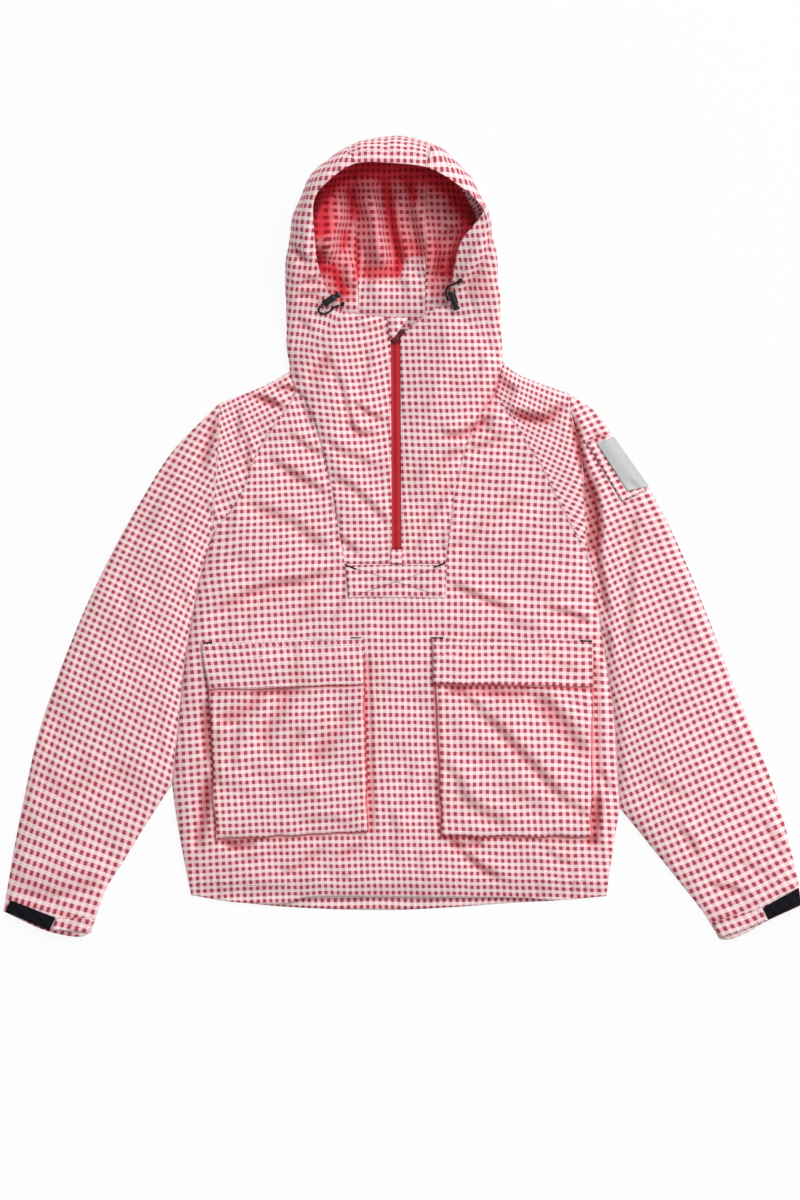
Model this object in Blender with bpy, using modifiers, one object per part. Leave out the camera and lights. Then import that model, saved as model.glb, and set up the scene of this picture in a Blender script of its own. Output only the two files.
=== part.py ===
"""A hooded anorak pullover, zipped up and laid on its back with the hood propped open.

Metres, +Z up. The back rests on z = 0, +Y runs to the hood and +X to the wearer's left sleeve.
The origin is on the underside of the back panel, on the centre line, 45 mm below the zip's base.
"Right" and "left" in names are the wearer's, so the right side is at -X.
"""

import math

import bmesh
import bpy
import numpy as np
from mathutils import Matrix, Vector
from mathutils.bvhtree import BVHTree

OBJECT_NAME = "anorak"

# Cloth and trim walls, and the spaces that keep pieces apart
CLOTH = 0.0012
TRIM = 0.0010
SEAM_GAP = 0.0003
ARMHOLE_GAP = 0.0009  # wider, where the walls of the two pieces lean different ways
SIDE_BY_SIDE_GAP = 0.0010  # between the body's side and the sleeve that lies along it
BACK_INSET = 0.0009  # how far inside the seams the flat back stops
LAID_GAP = 0.0005  # under a piece laid on curved cloth

# How high the laid garment stands
FOLD_EDGE_Z = 0.0030  # outer height where the cloth folds over at a side or a shoulder
UNDER_EDGE_Z = 0.0026  # and of the under sleeve's edges below it
ROLL = 0.018  # the width over which the cloth rolls down to a fold edge
ROLL_SHARE = 0.3  # where across the roll the first row of cells from the edge ends
CROWN = {  # height of the upper layer by place along the body
    "y": (-0.43, -0.37, -0.25, 0.05, 0.20, 0.30),
    "height": (0.0105, 0.0115, 0.0145, 0.0145, 0.0145, 0.0150),
}

# Named corner points of the pattern, as (x, y)
RIGHT_SHOULDER = (-0.133, 0.285)
RIGHT_SHOULDER_TIP = (-0.221, 0.246)
RIGHT_ARMPIT = (-0.230, 0.080)
RIGHT_NECK_JOIN = (-0.125, 0.261)
RIGHT_YOKE_TOP = (-0.115, 0.253)
RIGHT_YOKE_BASE = (-0.064, 0.045)
RIGHT_CHEST_BASE = (-0.2475, 0.020)
RIGHT_SPLIT = (-0.280, -0.231)
RIGHT_HEM = (-0.256, -0.369)
LEFT_SHOULDER = (0.134, 0.297)
LEFT_SHOULDER_TIP = (0.216, 0.258)
LEFT_ARMPIT = (0.240, 0.050)
LEFT_NECK_JOIN = (0.124, 0.259)
LEFT_YOKE_TOP = (0.115, 0.245)
LEFT_YOKE_BASE = (0.062, 0.045)
LEFT_CHEST_BASE = (0.2475, 0.020)
LEFT_SPLIT = (0.280, -0.261)
LEFT_HEM = (0.263, -0.370)

# Each seam or fold edge by the points it passes through, as (x, y)
RIGHT_EDGES = {
    "shoulder": (RIGHT_SHOULDER_TIP, (-0.189, 0.258), (-0.158, 0.271), RIGHT_SHOULDER),
    "armhole": (RIGHT_SHOULDER_TIP, (-0.2215, 0.210), (-0.224, 0.166), (-0.228, 0.120), RIGHT_ARMPIT),
    "raglan": (
        RIGHT_NECK_JOIN, (-0.135, 0.240), (-0.160, 0.206), (-0.178, 0.172), (-0.195, 0.129), RIGHT_ARMPIT,
    ),
    "placket": (RIGHT_YOKE_TOP, (-0.100, 0.216), (-0.081, 0.140), (-0.073, 0.096), RIGHT_YOKE_BASE),
    "side_top": (RIGHT_ARMPIT, (-0.237, 0.058), RIGHT_CHEST_BASE),
    "side_upper": (RIGHT_CHEST_BASE, (-0.264, -0.076), (-0.271, -0.144), RIGHT_SPLIT),
    "side_lower": (RIGHT_SPLIT, (-0.274, -0.275), (-0.265, -0.325), RIGHT_HEM),
    "sleeve_outer": (
        RIGHT_SHOULDER_TIP, (-0.278, 0.188), (-0.315, 0.131), (-0.351, 0.067), (-0.389, -0.011),
        (-0.426, -0.104), (-0.449, -0.174), (-0.465, -0.247), (-0.476, -0.302), (-0.488, -0.372),
        (-0.491, -0.389),
    ),
    "sleeve_lower": (
        RIGHT_SPLIT, (-0.315, -0.285), (-0.343, -0.331), (-0.361, -0.359), (-0.373, -0.391), (-0.381, -0.416),
    ),
    "cuff": ((-0.491, -0.389), (-0.468, -0.400), (-0.435, -0.414), (-0.398, -0.421), (-0.381, -0.416)),
}
LEFT_EDGES = {
    "shoulder": (LEFT_SHOULDER_TIP, (0.199, 0.264), (0.174, 0.273), (0.147, 0.285), LEFT_SHOULDER),
    "armhole": (
        LEFT_SHOULDER_TIP, (0.219, 0.232), (0.228, 0.197), (0.234, 0.156), (0.236, 0.105), LEFT_ARMPIT,
    ),
    "raglan": (LEFT_NECK_JOIN, (0.136, 0.240), (0.150, 0.216), (0.181, 0.168), (0.201, 0.127), LEFT_ARMPIT),
    "placket": (LEFT_YOKE_TOP, (0.094, 0.210), (0.077, 0.151), (0.066, 0.080), LEFT_YOKE_BASE),
    "side_top": (LEFT_ARMPIT, (0.244, 0.035), LEFT_CHEST_BASE),
    "side_upper": (LEFT_CHEST_BASE, (0.264, -0.086), (0.273, -0.150), LEFT_SPLIT),
    "side_lower": (LEFT_SPLIT, (0.275, -0.288), (0.270, -0.320), LEFT_HEM),
    "sleeve_outer": (
        LEFT_SHOULDER_TIP, (0.251, 0.234), (0.274, 0.201), (0.316, 0.141), (0.352, 0.071), (0.390, -0.021),
        (0.427, -0.118), (0.464, -0.211), (0.482, -0.266), (0.496, -0.321), (0.509, -0.381),
    ),
    "sleeve_lower": (
        LEFT_SPLIT, (0.311, -0.299), (0.344, -0.340), (0.375, -0.379), (0.388, -0.397), (0.404, -0.424),
    ),
    "cuff": ((0.509, -0.381), (0.464, -0.401), (0.440, -0.415), (0.417, -0.424), (0.404, -0.424)),
}
FRONT_HEM = (
    RIGHT_HEM, (-0.199, -0.378), (-0.140, -0.379), (-0.104, -0.371), (0.005, -0.371), (0.147, -0.372),
    (0.204, -0.375), LEFT_HEM,
)
BACK_HEM = (
    RIGHT_HEM, (-0.199, -0.379), (-0.140, -0.385), (-0.066, -0.3885), (0.005, -0.389), (0.081, -0.385),
    (0.147, -0.380), (0.204, -0.377), LEFT_HEM,
)
BACK_NECK = (
    (-0.129, 0.289), (-0.108, 0.313), (-0.075, 0.328), (-0.030, 0.335), (0.030, 0.336), (0.075, 0.332),
    (0.109, 0.320), (0.130, 0.301),
)

# The hood by sections round its opening, from the right neck over the brim to the left neck.
# rim is the free edge, side is where the cloth is widest before it turns under.
HOOD_SECTIONS = {
    "rim_x": (-0.064, -0.080, -0.098, -0.107, -0.111, -0.107, -0.085, -0.051, -0.001,
              0.043, 0.080, 0.102, 0.106, 0.094, 0.081, 0.071, 0.064),
    "rim_y": (0.360, 0.372, 0.392, 0.424, 0.463, 0.500, 0.529, 0.545, 0.551,
              0.547, 0.531, 0.504, 0.478, 0.447, 0.413, 0.385, 0.370),
    "rim_z": (0.022, 0.027, 0.036, 0.050, 0.064, 0.076, 0.084, 0.089, 0.091,
              0.089, 0.083, 0.074, 0.065, 0.053, 0.040, 0.030, 0.025),
    "side_x": (-0.133, -0.136, -0.137, -0.1375, -0.135, -0.125, -0.101, -0.061, -0.003,
               0.051, 0.092, 0.113, 0.124, 0.128, 0.1305, 0.131, 0.134),
    "side_y": (0.285, 0.315, 0.355, 0.400, 0.445, 0.491, 0.535, 0.565, 0.579,
               0.565, 0.530, 0.490, 0.447, 0.405, 0.365, 0.330, 0.297),
    "side_z": (FOLD_EDGE_Z, 0.009, 0.017, 0.025, 0.032, 0.038, 0.043, 0.046, 0.048,
               0.046, 0.043, 0.039, 0.034, 0.028, 0.020, 0.010, FOLD_EDGE_Z),
}
HOOD_CENTRE = (0.0, 0.42)
HOOD_LAST = len(HOOD_SECTIONS["rim_x"]) - 1
HOOD_SEAMS = (7.0, 8.85)  # where the centre panel's seams cross the sections, counted from the right neck
NAPE_SHARES = (0.04, 0.345, 0.635, 0.96)  # of the back neck: right end, the two seams and left end
HOOD_UNDER = 0.8  # how far the hood turns under, as a share of its side height
HOOD_FLOOR_FOLDS = {  # ridges of the hood's back, fanning from the nape
    "section": (5.0, 7.4, 9.3, 11.4),
    "width": (0.55, 0.45, 0.5, 0.6),
    "height": (0.006, 0.009, 0.007, 0.006),
}

# The largest folds of the upper layer. height below zero is a trough.
FOLDS = {
    "x0": (0.148, 0.186, 0.216, 0.229, 0.240, -0.088, -0.228, 0.200),
    "y0": (0.224, 0.220, 0.245, 0.200, 0.150, 0.303, -0.006, -0.018),
    "x1": (0.186, 0.216, 0.229, 0.234, 0.256, -0.054, -0.150, 0.254),
    "y1": (0.220, 0.243, 0.200, 0.156, -0.030, 0.216, 0.022, -0.030),
    "half_width": (0.013, 0.013, 0.011, 0.011, 0.013, 0.012, 0.012, 0.012),
    "height": (0.0030, 0.0035, -0.0030, -0.0030, -0.0025, -0.0030, -0.0015, -0.0015),
}

# Zip, straight from the neck to the yoke's base
ZIP_TOP = (-0.0008, 0.338)
ZIP_BASE = (0.0007, 0.064)
ZIP_HALF_SLOT = 0.0060  # half the space between the yokes' edges
ZIP_TAPE_HALF = 0.0125
ZIP_COIL_HALF = 0.0027
ZIP_COIL_RISE = 0.0009
ZIP_COIL_ARCH = ((-1.0, 0.0), (-0.7, 0.8), (0.0, 1.0), (0.7, 0.8), (1.0, 0.0))  # shares across and up
YOKE_ZIP_EDGE = {"y": (0.045, 0.12, 0.22, 0.30, 0.352), "height": (0.0145, 0.0150, 0.0160, 0.0175, 0.0190)}
RIGHT_NECK_EDGE = ((-0.064, 0.360), (-0.046, 0.357), (-0.029, 0.355), (-0.0068, 0.352))
LEFT_NECK_EDGE = ((0.064, 0.370), (0.046, 0.362), (0.026, 0.348), (0.0052, 0.327))
SLIDER = {"width": 0.0082, "length": 0.0100, "height": 0.0042, "y": 0.3275, "bevel": 0.0012}

# Pieces laid on the front, as corners top right, top left, base left, base right of the wearer
PLACKET_PATCH = ((-0.0640, 0.0440), (0.0635, 0.0440), (0.0620, 0.0030), (-0.0595, 0.0030))
ZIP_END_PATCH = ((-0.0070, 0.0630), (0.0080, 0.0630), (0.0080, 0.0475), (-0.0070, 0.0475))
ZIP_GARAGE = ((-0.0100, 0.3540), (0.0110, 0.3545), (0.0090, 0.3320), (-0.0060, 0.3235))
GARAGE_BULGE = {"half_width": 0.008, "height": 0.0035}  # over the slider below it
GARAGE_CELLS = (4, 3)
POCKET_SPREAD = 0.0085  # how far a filled-out pocket stands off the front
POCKET_MOUTH = 0.0070  # and how far at its mouth, under the flap
POCKET_ROLL = 0.010
POCKET_SEAT = 0.0008  # keeps the turned-in edge of a pocket clear of the front
RIGHT_POCKET = ((-0.2360, -0.0720), (-0.0400, -0.0680), (-0.0350, -0.2890), (-0.2250, -0.2990))
LEFT_POCKET = ((0.0480, -0.0680), (0.2460, -0.0700), (0.2440, -0.2960), (0.0570, -0.2960))
RIGHT_FLAP = ((-0.2440, -0.0540), (-0.0405, -0.0480), (-0.0390, -0.1060), (-0.2350, -0.1130))
LEFT_FLAP = ((0.0445, -0.0480), (0.2460, -0.0510), (0.2465, -0.1100), (0.0460, -0.1050))
FLAP_RISE_END = 0.022  # how far below its seam a flap is up on the pocket
FLAP_FALL = 0.012  # how far from a flap's ends it lies fully up on the pocket
FLAP_END_SHARE = 0.6  # how far up its ends are
POCKET_ACROSS = (0, 0.012, 0.042, 0.15, 0.32, 0.5, 0.68, 0.85, 0.958, 0.988, 1)
POCKET_DOWN = (0, 0.15, 0.32, 0.49, 0.66, 0.82, 0.957, 0.988, 1)
FLAP_ACROSS = (0, 0.025, 0.065, 0.25, 0.5, 0.75, 0.935, 0.975, 1)
FLAP_DOWN = (0, 0.12, 0.24, 0.42, 0.7, 1)

# Pieces laid on the sleeves
RIGHT_CUFF_STRIP = ((-0.4835, -0.3775), (-0.4270, -0.4000), (-0.4330, -0.4110), (-0.4855, -0.3900))
RIGHT_CUFF_TAB = ((-0.4260, -0.3985), (-0.3755, -0.3925), (-0.3840, -0.4130), (-0.4310, -0.4125))
LEFT_CUFF_STRIP = ((0.4590, -0.3865), (0.5010, -0.3600), (0.5040, -0.3780), (0.4660, -0.3990))
LEFT_CUFF_TAB = ((0.4000, -0.4060), (0.4580, -0.3895), (0.4640, -0.4005), (0.4080, -0.4205))
SLEEVE_BACKING = ((0.2360, 0.1985), (0.2650, 0.2065), (0.3120, 0.1370), (0.2830, 0.1230))
SLEEVE_PATCH = ((0.2500, 0.1925), (0.2660, 0.1985), (0.3050, 0.1420), (0.2870, 0.1360))

# Cord locks on the hood's edge: barrel, spring button and a short cord with a knot
LOCK = {
    "radius": 0.0048, "length": 0.0170, "rim": 0.0008,
    "bore": 0.0036, "bore_depth": 0.0090, "seat": 0.0004,
    "stem": 0.0033, "stem_length": 0.0120, "head": 0.0042, "head_length": 0.0040, "travel": 0.0030,
}
LOCK_TESTS = 9  # places along a barrel tried for the height of the edge below
LOCK_STEPS = 20  # segments round a barrel or a button
CORD_RADIUS = 0.00125
CORD_POINTS = 14
KNOT_RADIUS = 0.0034
KNOT_SEGMENTS = 14
KNOT_RINGS = 8
RIGHT_LOCK = {"x": -0.0835, "y": 0.3735, "turn": 33.0}
LEFT_LOCK = {"x": 0.0715, "y": 0.3770, "turn": -73.0}
RIGHT_CORD = ((-0.0945, 0.3668, 0.0302), (-0.0965, 0.3605, 0.0292), (-0.0905, 0.3570, 0.0274),
              (-0.0830, 0.3600, 0.0267), (-0.0770, 0.3655, 0.0270), (-0.0705, 0.3680, 0.0270))
LEFT_CORD = ((0.0650, 0.3735, 0.0325), (0.0625, 0.3820, 0.0340), (0.0640, 0.3900, 0.0355),
             (0.0710, 0.3935, 0.0370), (0.0770, 0.3965, 0.0385))

# Colours of the plain solids
COLOURS = {
    "check": ((0.86, 0.62, 0.64), 0.85, 0.0),
    "zip": ((0.60, 0.02, 0.05), 0.60, 0.0),
    "black_plastic": ((0.012, 0.012, 0.013), 0.25, 0.0),
    "black_cord": ((0.015, 0.015, 0.016), 0.80, 0.0),
    "hook_tape": ((0.015, 0.015, 0.018), 0.90, 0.0),
    "grey_patch": ((0.50, 0.51, 0.51), 0.45, 0.0),
}

# How finely the cloth is divided
RAGLAN_CELLS = 10
ARMHOLE_CELLS = 9
SIDE_TOP_CELLS = 2
SIDE_UPPER_CELLS = 6
SIDE_LOWER_CELLS = 3
SLEEVE_LOWER_CELLS = 5
CHEST_CELLS = 8
YOKE_BASE_CELLS = 4
NECK_SEAM_CELLS = 2
HOOD_FACE_CELLS = 5
HOOD_TURN_CELLS = 3
HOOD_FLOOR_CELLS = 4
HOOD_SIDE_CELLS = 10
HOOD_CENTRE_CELLS = 5
NECK_EDGE_CELLS = 4
BACK_HEM_CELLS = 24
ZIP_CELLS = 12
SMOOTH_STEPS = 12  # points of a smooth curve between two given ones
CLEAR_STEPS = 5  # places tried across a cell to keep it clear of what it lies on
SLOPE_STEP = 0.0005  # over which the slope of the upper layer is taken
STEEP_WALL = 1.15  # how much taller a wall stands where it leans


def smooth_curve(points):
    """A dense Catmull-Rom curve through the points."""
    knots = np.array(points, float)
    if len(knots) < 3:
        return knots
    ends = np.vstack([2 * knots[0] - knots[1], knots, 2 * knots[-1] - knots[-2]])
    t = np.linspace(0, 1, SMOOTH_STEPS, endpoint=False)[:, None]
    parts = []
    for a, b, c, d in zip(ends, ends[1:], ends[2:], ends[3:]):
        bend = (2 * a - 5 * b + 4 * c - d) * t**2 + (3 * b - a - 3 * c + d) * t**3
        parts.append(0.5 * (2 * b + (c - a) * t + bend))
    return np.vstack(parts + [knots[-1:]])


def shares_of(curve):
    """Each point's share of the curve's length."""
    steps = np.linalg.norm(np.diff(curve, axis=0), axis=1)
    run = np.concatenate([[0], np.cumsum(steps)])
    return run / run[-1]


def sample(points, shares):
    """Points at the given shares of the length of the smooth curve through points."""
    curve = smooth_curve(points)
    run = shares_of(curve)
    return np.stack([np.interp(shares, run, curve[:, axis]) for axis in range(curve.shape[1])], axis=1)


def even(points, cells):
    return sample(points, np.linspace(0, 1, cells + 1))


def rolled_shares(length, cells, at_start, at_end):
    """Even shares, with two closer ones inside each end that rolls over."""
    near = [ROLL_SHARE * ROLL / length, ROLL / length]
    start = [0] + (near if at_start else [])
    end = ([1 - near[1], 1 - near[0]] if at_end else []) + [1]
    middle = np.linspace(start[-1], end[0], cells - len(start) - len(end) + 3)[1:-1]
    return np.concatenate([start, middle, end])


def fold_edges():
    """Every line where the laid garment folds over, as dense curves."""
    lines = []
    for edges in (RIGHT_EDGES, LEFT_EDGES):
        for name in ("shoulder", "sleeve_outer", "side_top", "side_upper", "side_lower", "sleeve_lower"):
            lines.append(smooth_curve(edges[name]))
    return lines


def distance_to_segments(x, y, starts, ends):
    """Distance in plan from each point to the nearest of the segments."""
    at = np.stack([x, y], axis=-1)[..., None, :]
    run = ends - starts
    share = ((at - starts) * run).sum(-1) / np.maximum((run**2).sum(-1), 1e-12)
    nearest = starts + np.clip(share, 0, 1)[..., None] * run
    return np.linalg.norm(at - nearest, axis=-1), share


EDGE_LINES = fold_edges()
EDGE_STARTS = np.vstack([line[:-1] for line in EDGE_LINES])
EDGE_ENDS = np.vstack([line[1:] for line in EDGE_LINES])


def fold_relief(x, y):
    """Rise and fall of the largest folds, fading to nothing at their ends."""
    total = np.zeros_like(x)
    for x0, y0, x1, y1, half_width, height in zip(*FOLDS.values()):
        away, share = distance_to_segments(x, y, np.array([[x0, y0]]), np.array([[x1, y1]]))
        fade = np.exp(-((away[..., 0] / half_width) ** 2))
        total += height * fade
    return total


def upper_height(x, y):
    """Outer height of the upper layer of body and sleeves."""
    away = distance_to_segments(x, y, EDGE_STARTS, EDGE_ENDS)[0].min(-1)
    rise = np.clip(away / ROLL, 0, 1)
    crown = np.interp(y, CROWN["y"], CROWN["height"]) + fold_relief(x, y) * rise
    return FOLD_EDGE_Z + (crown - FOLD_EDGE_Z) * np.sqrt(1 - (1 - rise) ** 2)


def raised(points, lift=0.0):
    """Plan points set on the upper layer, moved out from it along its normal."""
    step = SLOPE_STEP
    x, y = points[..., 0], points[..., 1]
    z = upper_height(x, y)
    slope_x = (upper_height(x + step, y) - upper_height(x - step, y)) / (2 * step)
    slope_y = (upper_height(x, y + step) - upper_height(x, y - step)) / (2 * step)
    steep = np.sqrt(slope_x**2 + slope_y**2)
    ease = np.where(steep > 1.0, 1.0 / np.maximum(steep, 1.0), 1.0)
    slope_x, slope_y = slope_x * ease, slope_y * ease
    size = np.sqrt(1 + slope_x**2 + slope_y**2)
    return np.stack([x - lift * slope_x / size, y - lift * slope_y / size, z + lift / size], axis=-1)


def coons(top, bottom, left, right):
    """The grid of points that fills four edges. top and bottom run to +X, left and right run down."""
    u = (0.5 * (shares_of(top) + shares_of(bottom)))[None, :, None]
    v = (0.5 * (shares_of(left) + shares_of(right)))[:, None, None]
    ruled = (1 - v) * top[None] + v * bottom[None] + (1 - u) * left[:, None] + u * right[:, None]
    corners = (1 - v) * ((1 - u) * top[0] + u * top[-1]) + v * ((1 - u) * bottom[0] + u * bottom[-1])
    return ruled - corners


def drawn_in(grid, gap, sides="tblr"):
    """The grid with the named edges moved inwards by gap, square to the edge."""
    moved = grid.copy()
    lines = {
        "t": ((0, slice(None)), (1, slice(None))),
        "b": ((-1, slice(None)), (-2, slice(None))),
        "l": ((slice(None), 0), (slice(None), 1)),
        "r": ((slice(None), -1), (slice(None), -2)),
    }
    for side in sides:
        edge, inner = lines[side]
        run = np.gradient(grid[edge], axis=0)
        run /= np.linalg.norm(run, axis=1)[:, None]
        inward = grid[inner] - grid[edge]
        inward -= (inward * run).sum(1)[:, None] * run
        moved[edge] += gap * inward / np.maximum(np.linalg.norm(inward, axis=1)[:, None], 1e-9)
    return moved


def clear_scene():
    for item in list(bpy.data.objects):
        bpy.data.objects.remove(item, do_unlink=True)


def material(slot):
    found = bpy.data.materials.get(slot)
    if found:
        return found
    colour, roughness, metallic = COLOURS[slot]
    made = bpy.data.materials.new(slot)
    made.use_nodes = True
    shader = made.node_tree.nodes["Principled BSDF"]
    shader.inputs["Base Color"].default_value = (*colour, 1.0)
    shader.inputs["Roughness"].default_value = roughness
    shader.inputs["Metallic"].default_value = metallic
    return made


def new_collection(name, hidden=False):
    made = bpy.data.collections.new(name)
    bpy.context.scene.collection.children.link(made)
    made.hide_render = hidden
    return made


def add_object(name, bm, slot, parts):
    """A named object from a bmesh, with its own material."""
    mesh = bpy.data.meshes.new(name)
    bm.to_mesh(mesh)
    bm.free()
    mesh.materials.append(material(slot))
    mesh.shade_smooth()
    made = bpy.data.objects.new(name, mesh)
    parts.objects.link(made)
    return made


def add_grid(bm, grid):
    """A grid primitive whose points take the places of the given ones."""
    rows, columns = grid.shape[:2]
    made = bmesh.ops.create_grid(bm, x_segments=columns - 1, y_segments=rows - 1, size=1.0)
    for vertex in made["verts"]:
        column = round((vertex.co.x + 1) / 2 * (columns - 1))
        row = round((1 - vertex.co.y) / 2 * (rows - 1))
        vertex.co = grid[row, column]


def cloth(name, grids, slot, parts, wall=CLOTH, turned=False):
    """A sheet of cloth: grids joined where they meet, thickened inwards from their outer face."""
    bm = bmesh.new()
    for grid in grids:
        add_grid(bm, grid)
    bmesh.ops.remove_doubles(bm, verts=bm.verts, dist=1e-5)
    if turned:
        bmesh.ops.reverse_faces(bm, faces=bm.faces)
    made = add_object(name, bm, slot, parts)
    shell = made.modifiers.new("wall", "SOLIDIFY")
    shell.thickness = wall
    shell.offset = -1
    shell.use_even_offset = False
    return made


def seam_samples(edges):
    """The shared points of each seam, so that neighbours meet along the same line."""
    armhole_curve = smooth_curve(edges["armhole"])
    armhole_length = np.linalg.norm(np.diff(armhole_curve, axis=0), axis=1).sum()
    side_top = even(edges["side_top"], SIDE_TOP_CELLS)
    side_upper = even(edges["side_upper"], SIDE_UPPER_CELLS)
    side_lower = even(edges["side_lower"], SIDE_LOWER_CELLS)
    sleeve_lower = even(edges["sleeve_lower"], SLEEVE_LOWER_CELLS)
    return {
        "armhole": sample(edges["armhole"], rolled_shares(armhole_length, ARMHOLE_CELLS, True, True)),
        "raglan": even(edges["raglan"], RAGLAN_CELLS),
        "placket": even(edges["placket"], RAGLAN_CELLS + SIDE_TOP_CELLS),
        "side_top": side_top,
        "side": np.vstack([side_upper, side_lower[1:]]),
        "sleeve_inner": np.vstack([side_top, side_upper[1:], sleeve_lower[1:]]),
        "shoulder": even(edges["shoulder"], RAGLAN_CELLS),
    }


def line(start, end, shares):
    start, end = np.array(start, float), np.array(end, float)
    return start + np.asarray(shares)[:, None] * (end - start)


def chest_grid(seams, edges, is_right):
    """One side of the chest, between raglan seam, side and placket seam."""
    outer = np.vstack([seams["raglan"], seams["side_top"][1:]])
    inner = seams["placket"]
    base_length = np.linalg.norm(outer[-1] - inner[-1])
    shares = rolled_shares(base_length, CHEST_CELLS, True, False)
    top = line(outer[0], inner[0], shares)
    base = line(outer[-1], inner[-1], shares)
    if is_right:
        return coons(top, base, outer, inner)
    return coons(top[::-1], base[::-1], inner, outer)


def front_panel(right, left, upper_layer, parts):
    """The front in one piece: both sides of the chest and all below the yoke."""
    right_chest = chest_grid(right, RIGHT_EDGES, True)
    left_chest = chest_grid(left, LEFT_EDGES, False)
    base = line(RIGHT_YOKE_BASE, LEFT_YOKE_BASE, np.linspace(0, 1, YOKE_BASE_CELLS + 1))
    top = np.vstack([right_chest[-1], base[1:-1], left_chest[-1]])
    hem = sample(FRONT_HEM, shares_of(top))
    lower = coons(top, hem, right["side"], left["side"])
    right_chest = drawn_in(right_chest, SEAM_GAP / 2, "tlr")
    left_chest = drawn_in(left_chest, SEAM_GAP / 2, "tlr")
    lower = drawn_in(lower, SIDE_BY_SIDE_GAP / 2, "lr")
    lower[0, : CHEST_CELLS + 1] = right_chest[-1]
    lower[0, -CHEST_CELLS - 1 :] = left_chest[-1]
    lower[0, CHEST_CELLS + 1 : -CHEST_CELLS - 1, 1] -= SEAM_GAP / 2
    grids = [raised(grid) for grid in (right_chest, left_chest, lower)]
    upper_layer.extend(grids)
    return cloth("front_panel", grids, "check", parts)


def shoulder_piece(name, seams, is_right, upper_layer, parts):
    """The raglan piece between armhole, shoulder fold and raglan seam."""
    top = seams["shoulder"]
    armhole = seams["armhole"]
    base = seams["raglan"][::-1]
    neck = line(top[-1], base[-1], shares_of(armhole))
    if is_right:
        grid = coons(top, base, armhole, neck)
    else:
        grid = coons(top[::-1], base[::-1], neck, armhole)
    armhole_side, neck_side = ("l", "r") if is_right else ("r", "l")
    grid = drawn_in(drawn_in(grid, SEAM_GAP, "tb" + neck_side), ARMHOLE_GAP / 2, armhole_side)
    grid = raised(grid)
    upper_layer.append(grid)
    return cloth(name, [grid], "check", parts)


def sleeve_pieces(side, seams, edges, is_right, upper_layer, parts):
    """The top sleeve, which follows the crown, and the under sleeve on the floor, sewn along both folds."""
    inner = seams["sleeve_inner"]
    outer = sample(edges["sleeve_outer"], shares_of(inner))
    cuff = sample(edges["cuff"], shares_of(seams["armhole"]))
    if is_right:
        plan = coons(seams["armhole"], cuff, outer, inner)
    else:
        plan = coons(seams["armhole"][::-1], cuff[::-1], inner, outer)
    plan = drawn_in(drawn_in(plan, ARMHOLE_GAP / 2, "t"), SIDE_BY_SIDE_GAP / 2, "lr")
    upper = raised(plan)
    upper_layer.append(upper)
    under = np.pad(plan[:, ::-1], ((0, 0), (0, 0), (0, 1)))
    under[:, (0, -1), 2] = UNDER_EDGE_Z
    cloth(f"sleeve_top_{side}", [upper], "check", parts)
    cloth(f"sleeve_under_{side}", [under], "check", parts)


def hood_at(position):
    """A value of each hood column at a position among the sections, on a smooth curve."""
    columns = np.array([HOOD_SECTIONS[key] for key in HOOD_SECTIONS]).T
    curve = smooth_curve(columns)
    steps = np.arange(len(curve)) / SMOOTH_STEPS
    return np.array([np.interp(position, steps, curve[:, i]) for i in range(columns.shape[1])])


def hood_floor_relief(position, share):
    """Ridges of the hood's back that rise between the turn and the nape."""
    total = 0.0
    for section, width, height in zip(*HOOD_FLOOR_FOLDS.values()):
        total += height * math.exp(-(((position - section) / width) ** 2))
    return total * math.sin(math.pi * min(share * 1.1, 1.0)) ** 2


def hood_line(position):
    """One line of the hood from its free edge, over the side, under and in to the nape."""
    rim_x, rim_y, rim_z, side_x, side_y, side_z = hood_at(position)
    rim, side = np.array([rim_x, rim_y]), np.array([side_x, side_y])
    nape_share = np.interp(position, (0, *HOOD_SEAMS, HOOD_LAST), NAPE_SHARES)
    nape = sample(BACK_NECK, [nape_share])[0]
    inward = np.array(HOOD_CENTRE) - side
    inward /= np.linalg.norm(inward)
    under = side + inward * side_z * HOOD_UNDER
    points = []
    for turn in np.linspace(0, math.pi / 2, HOOD_FACE_CELLS + 1):
        flat = rim + (side - rim) * math.sin(turn)
        points.append((*flat, side_z + (rim_z - side_z) * math.cos(turn)))
    for turn in np.linspace(0, math.pi / 2, HOOD_TURN_CELLS + 1)[1:]:
        flat = side + (under - side) * (1 - math.cos(turn))
        points.append((*flat, side_z * (1 - math.sin(turn))))
    for share in np.linspace(0, 1, HOOD_FLOOR_CELLS + 1)[1:]:
        flat = under + (nape - under) * share
        points.append((*flat, hood_floor_relief(position, share)))
    return np.array(points)


def hood_grid(first, last, cells):
    return np.stack([hood_line(position) for position in np.linspace(first, last, cells + 1)], axis=1)


def hood_centre(parts):
    grid = drawn_in(hood_grid(*HOOD_SEAMS, HOOD_CENTRE_CELLS), SEAM_GAP / 2, "blr")
    return cloth("hood_centre", [grid], "check", parts, turned=True)


def hood_side(name, seams, is_right, upper_layer, parts):
    """A side of the hood cut in one with its half of the yoke, which meets it at the neck fold."""
    first_seam, second_seam = HOOD_SEAMS
    if is_right:
        grid = drawn_in(hood_grid(0, first_seam, HOOD_SIDE_CELLS), SEAM_GAP / 2, "br")
        fold = grid[: HOOD_FACE_CELLS + 1, 0]
    else:
        grid = drawn_in(hood_grid(second_seam, HOOD_LAST, HOOD_SIDE_CELLS), SEAM_GAP / 2, "bl")
        fold = grid[: HOOD_FACE_CELLS + 1, -1]
    yoke = yoke_grid(seams, fold, is_right)
    upper_layer.extend([grid, yoke])
    return cloth(name, [grid[:, ::-1], yoke], "check", parts)


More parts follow.
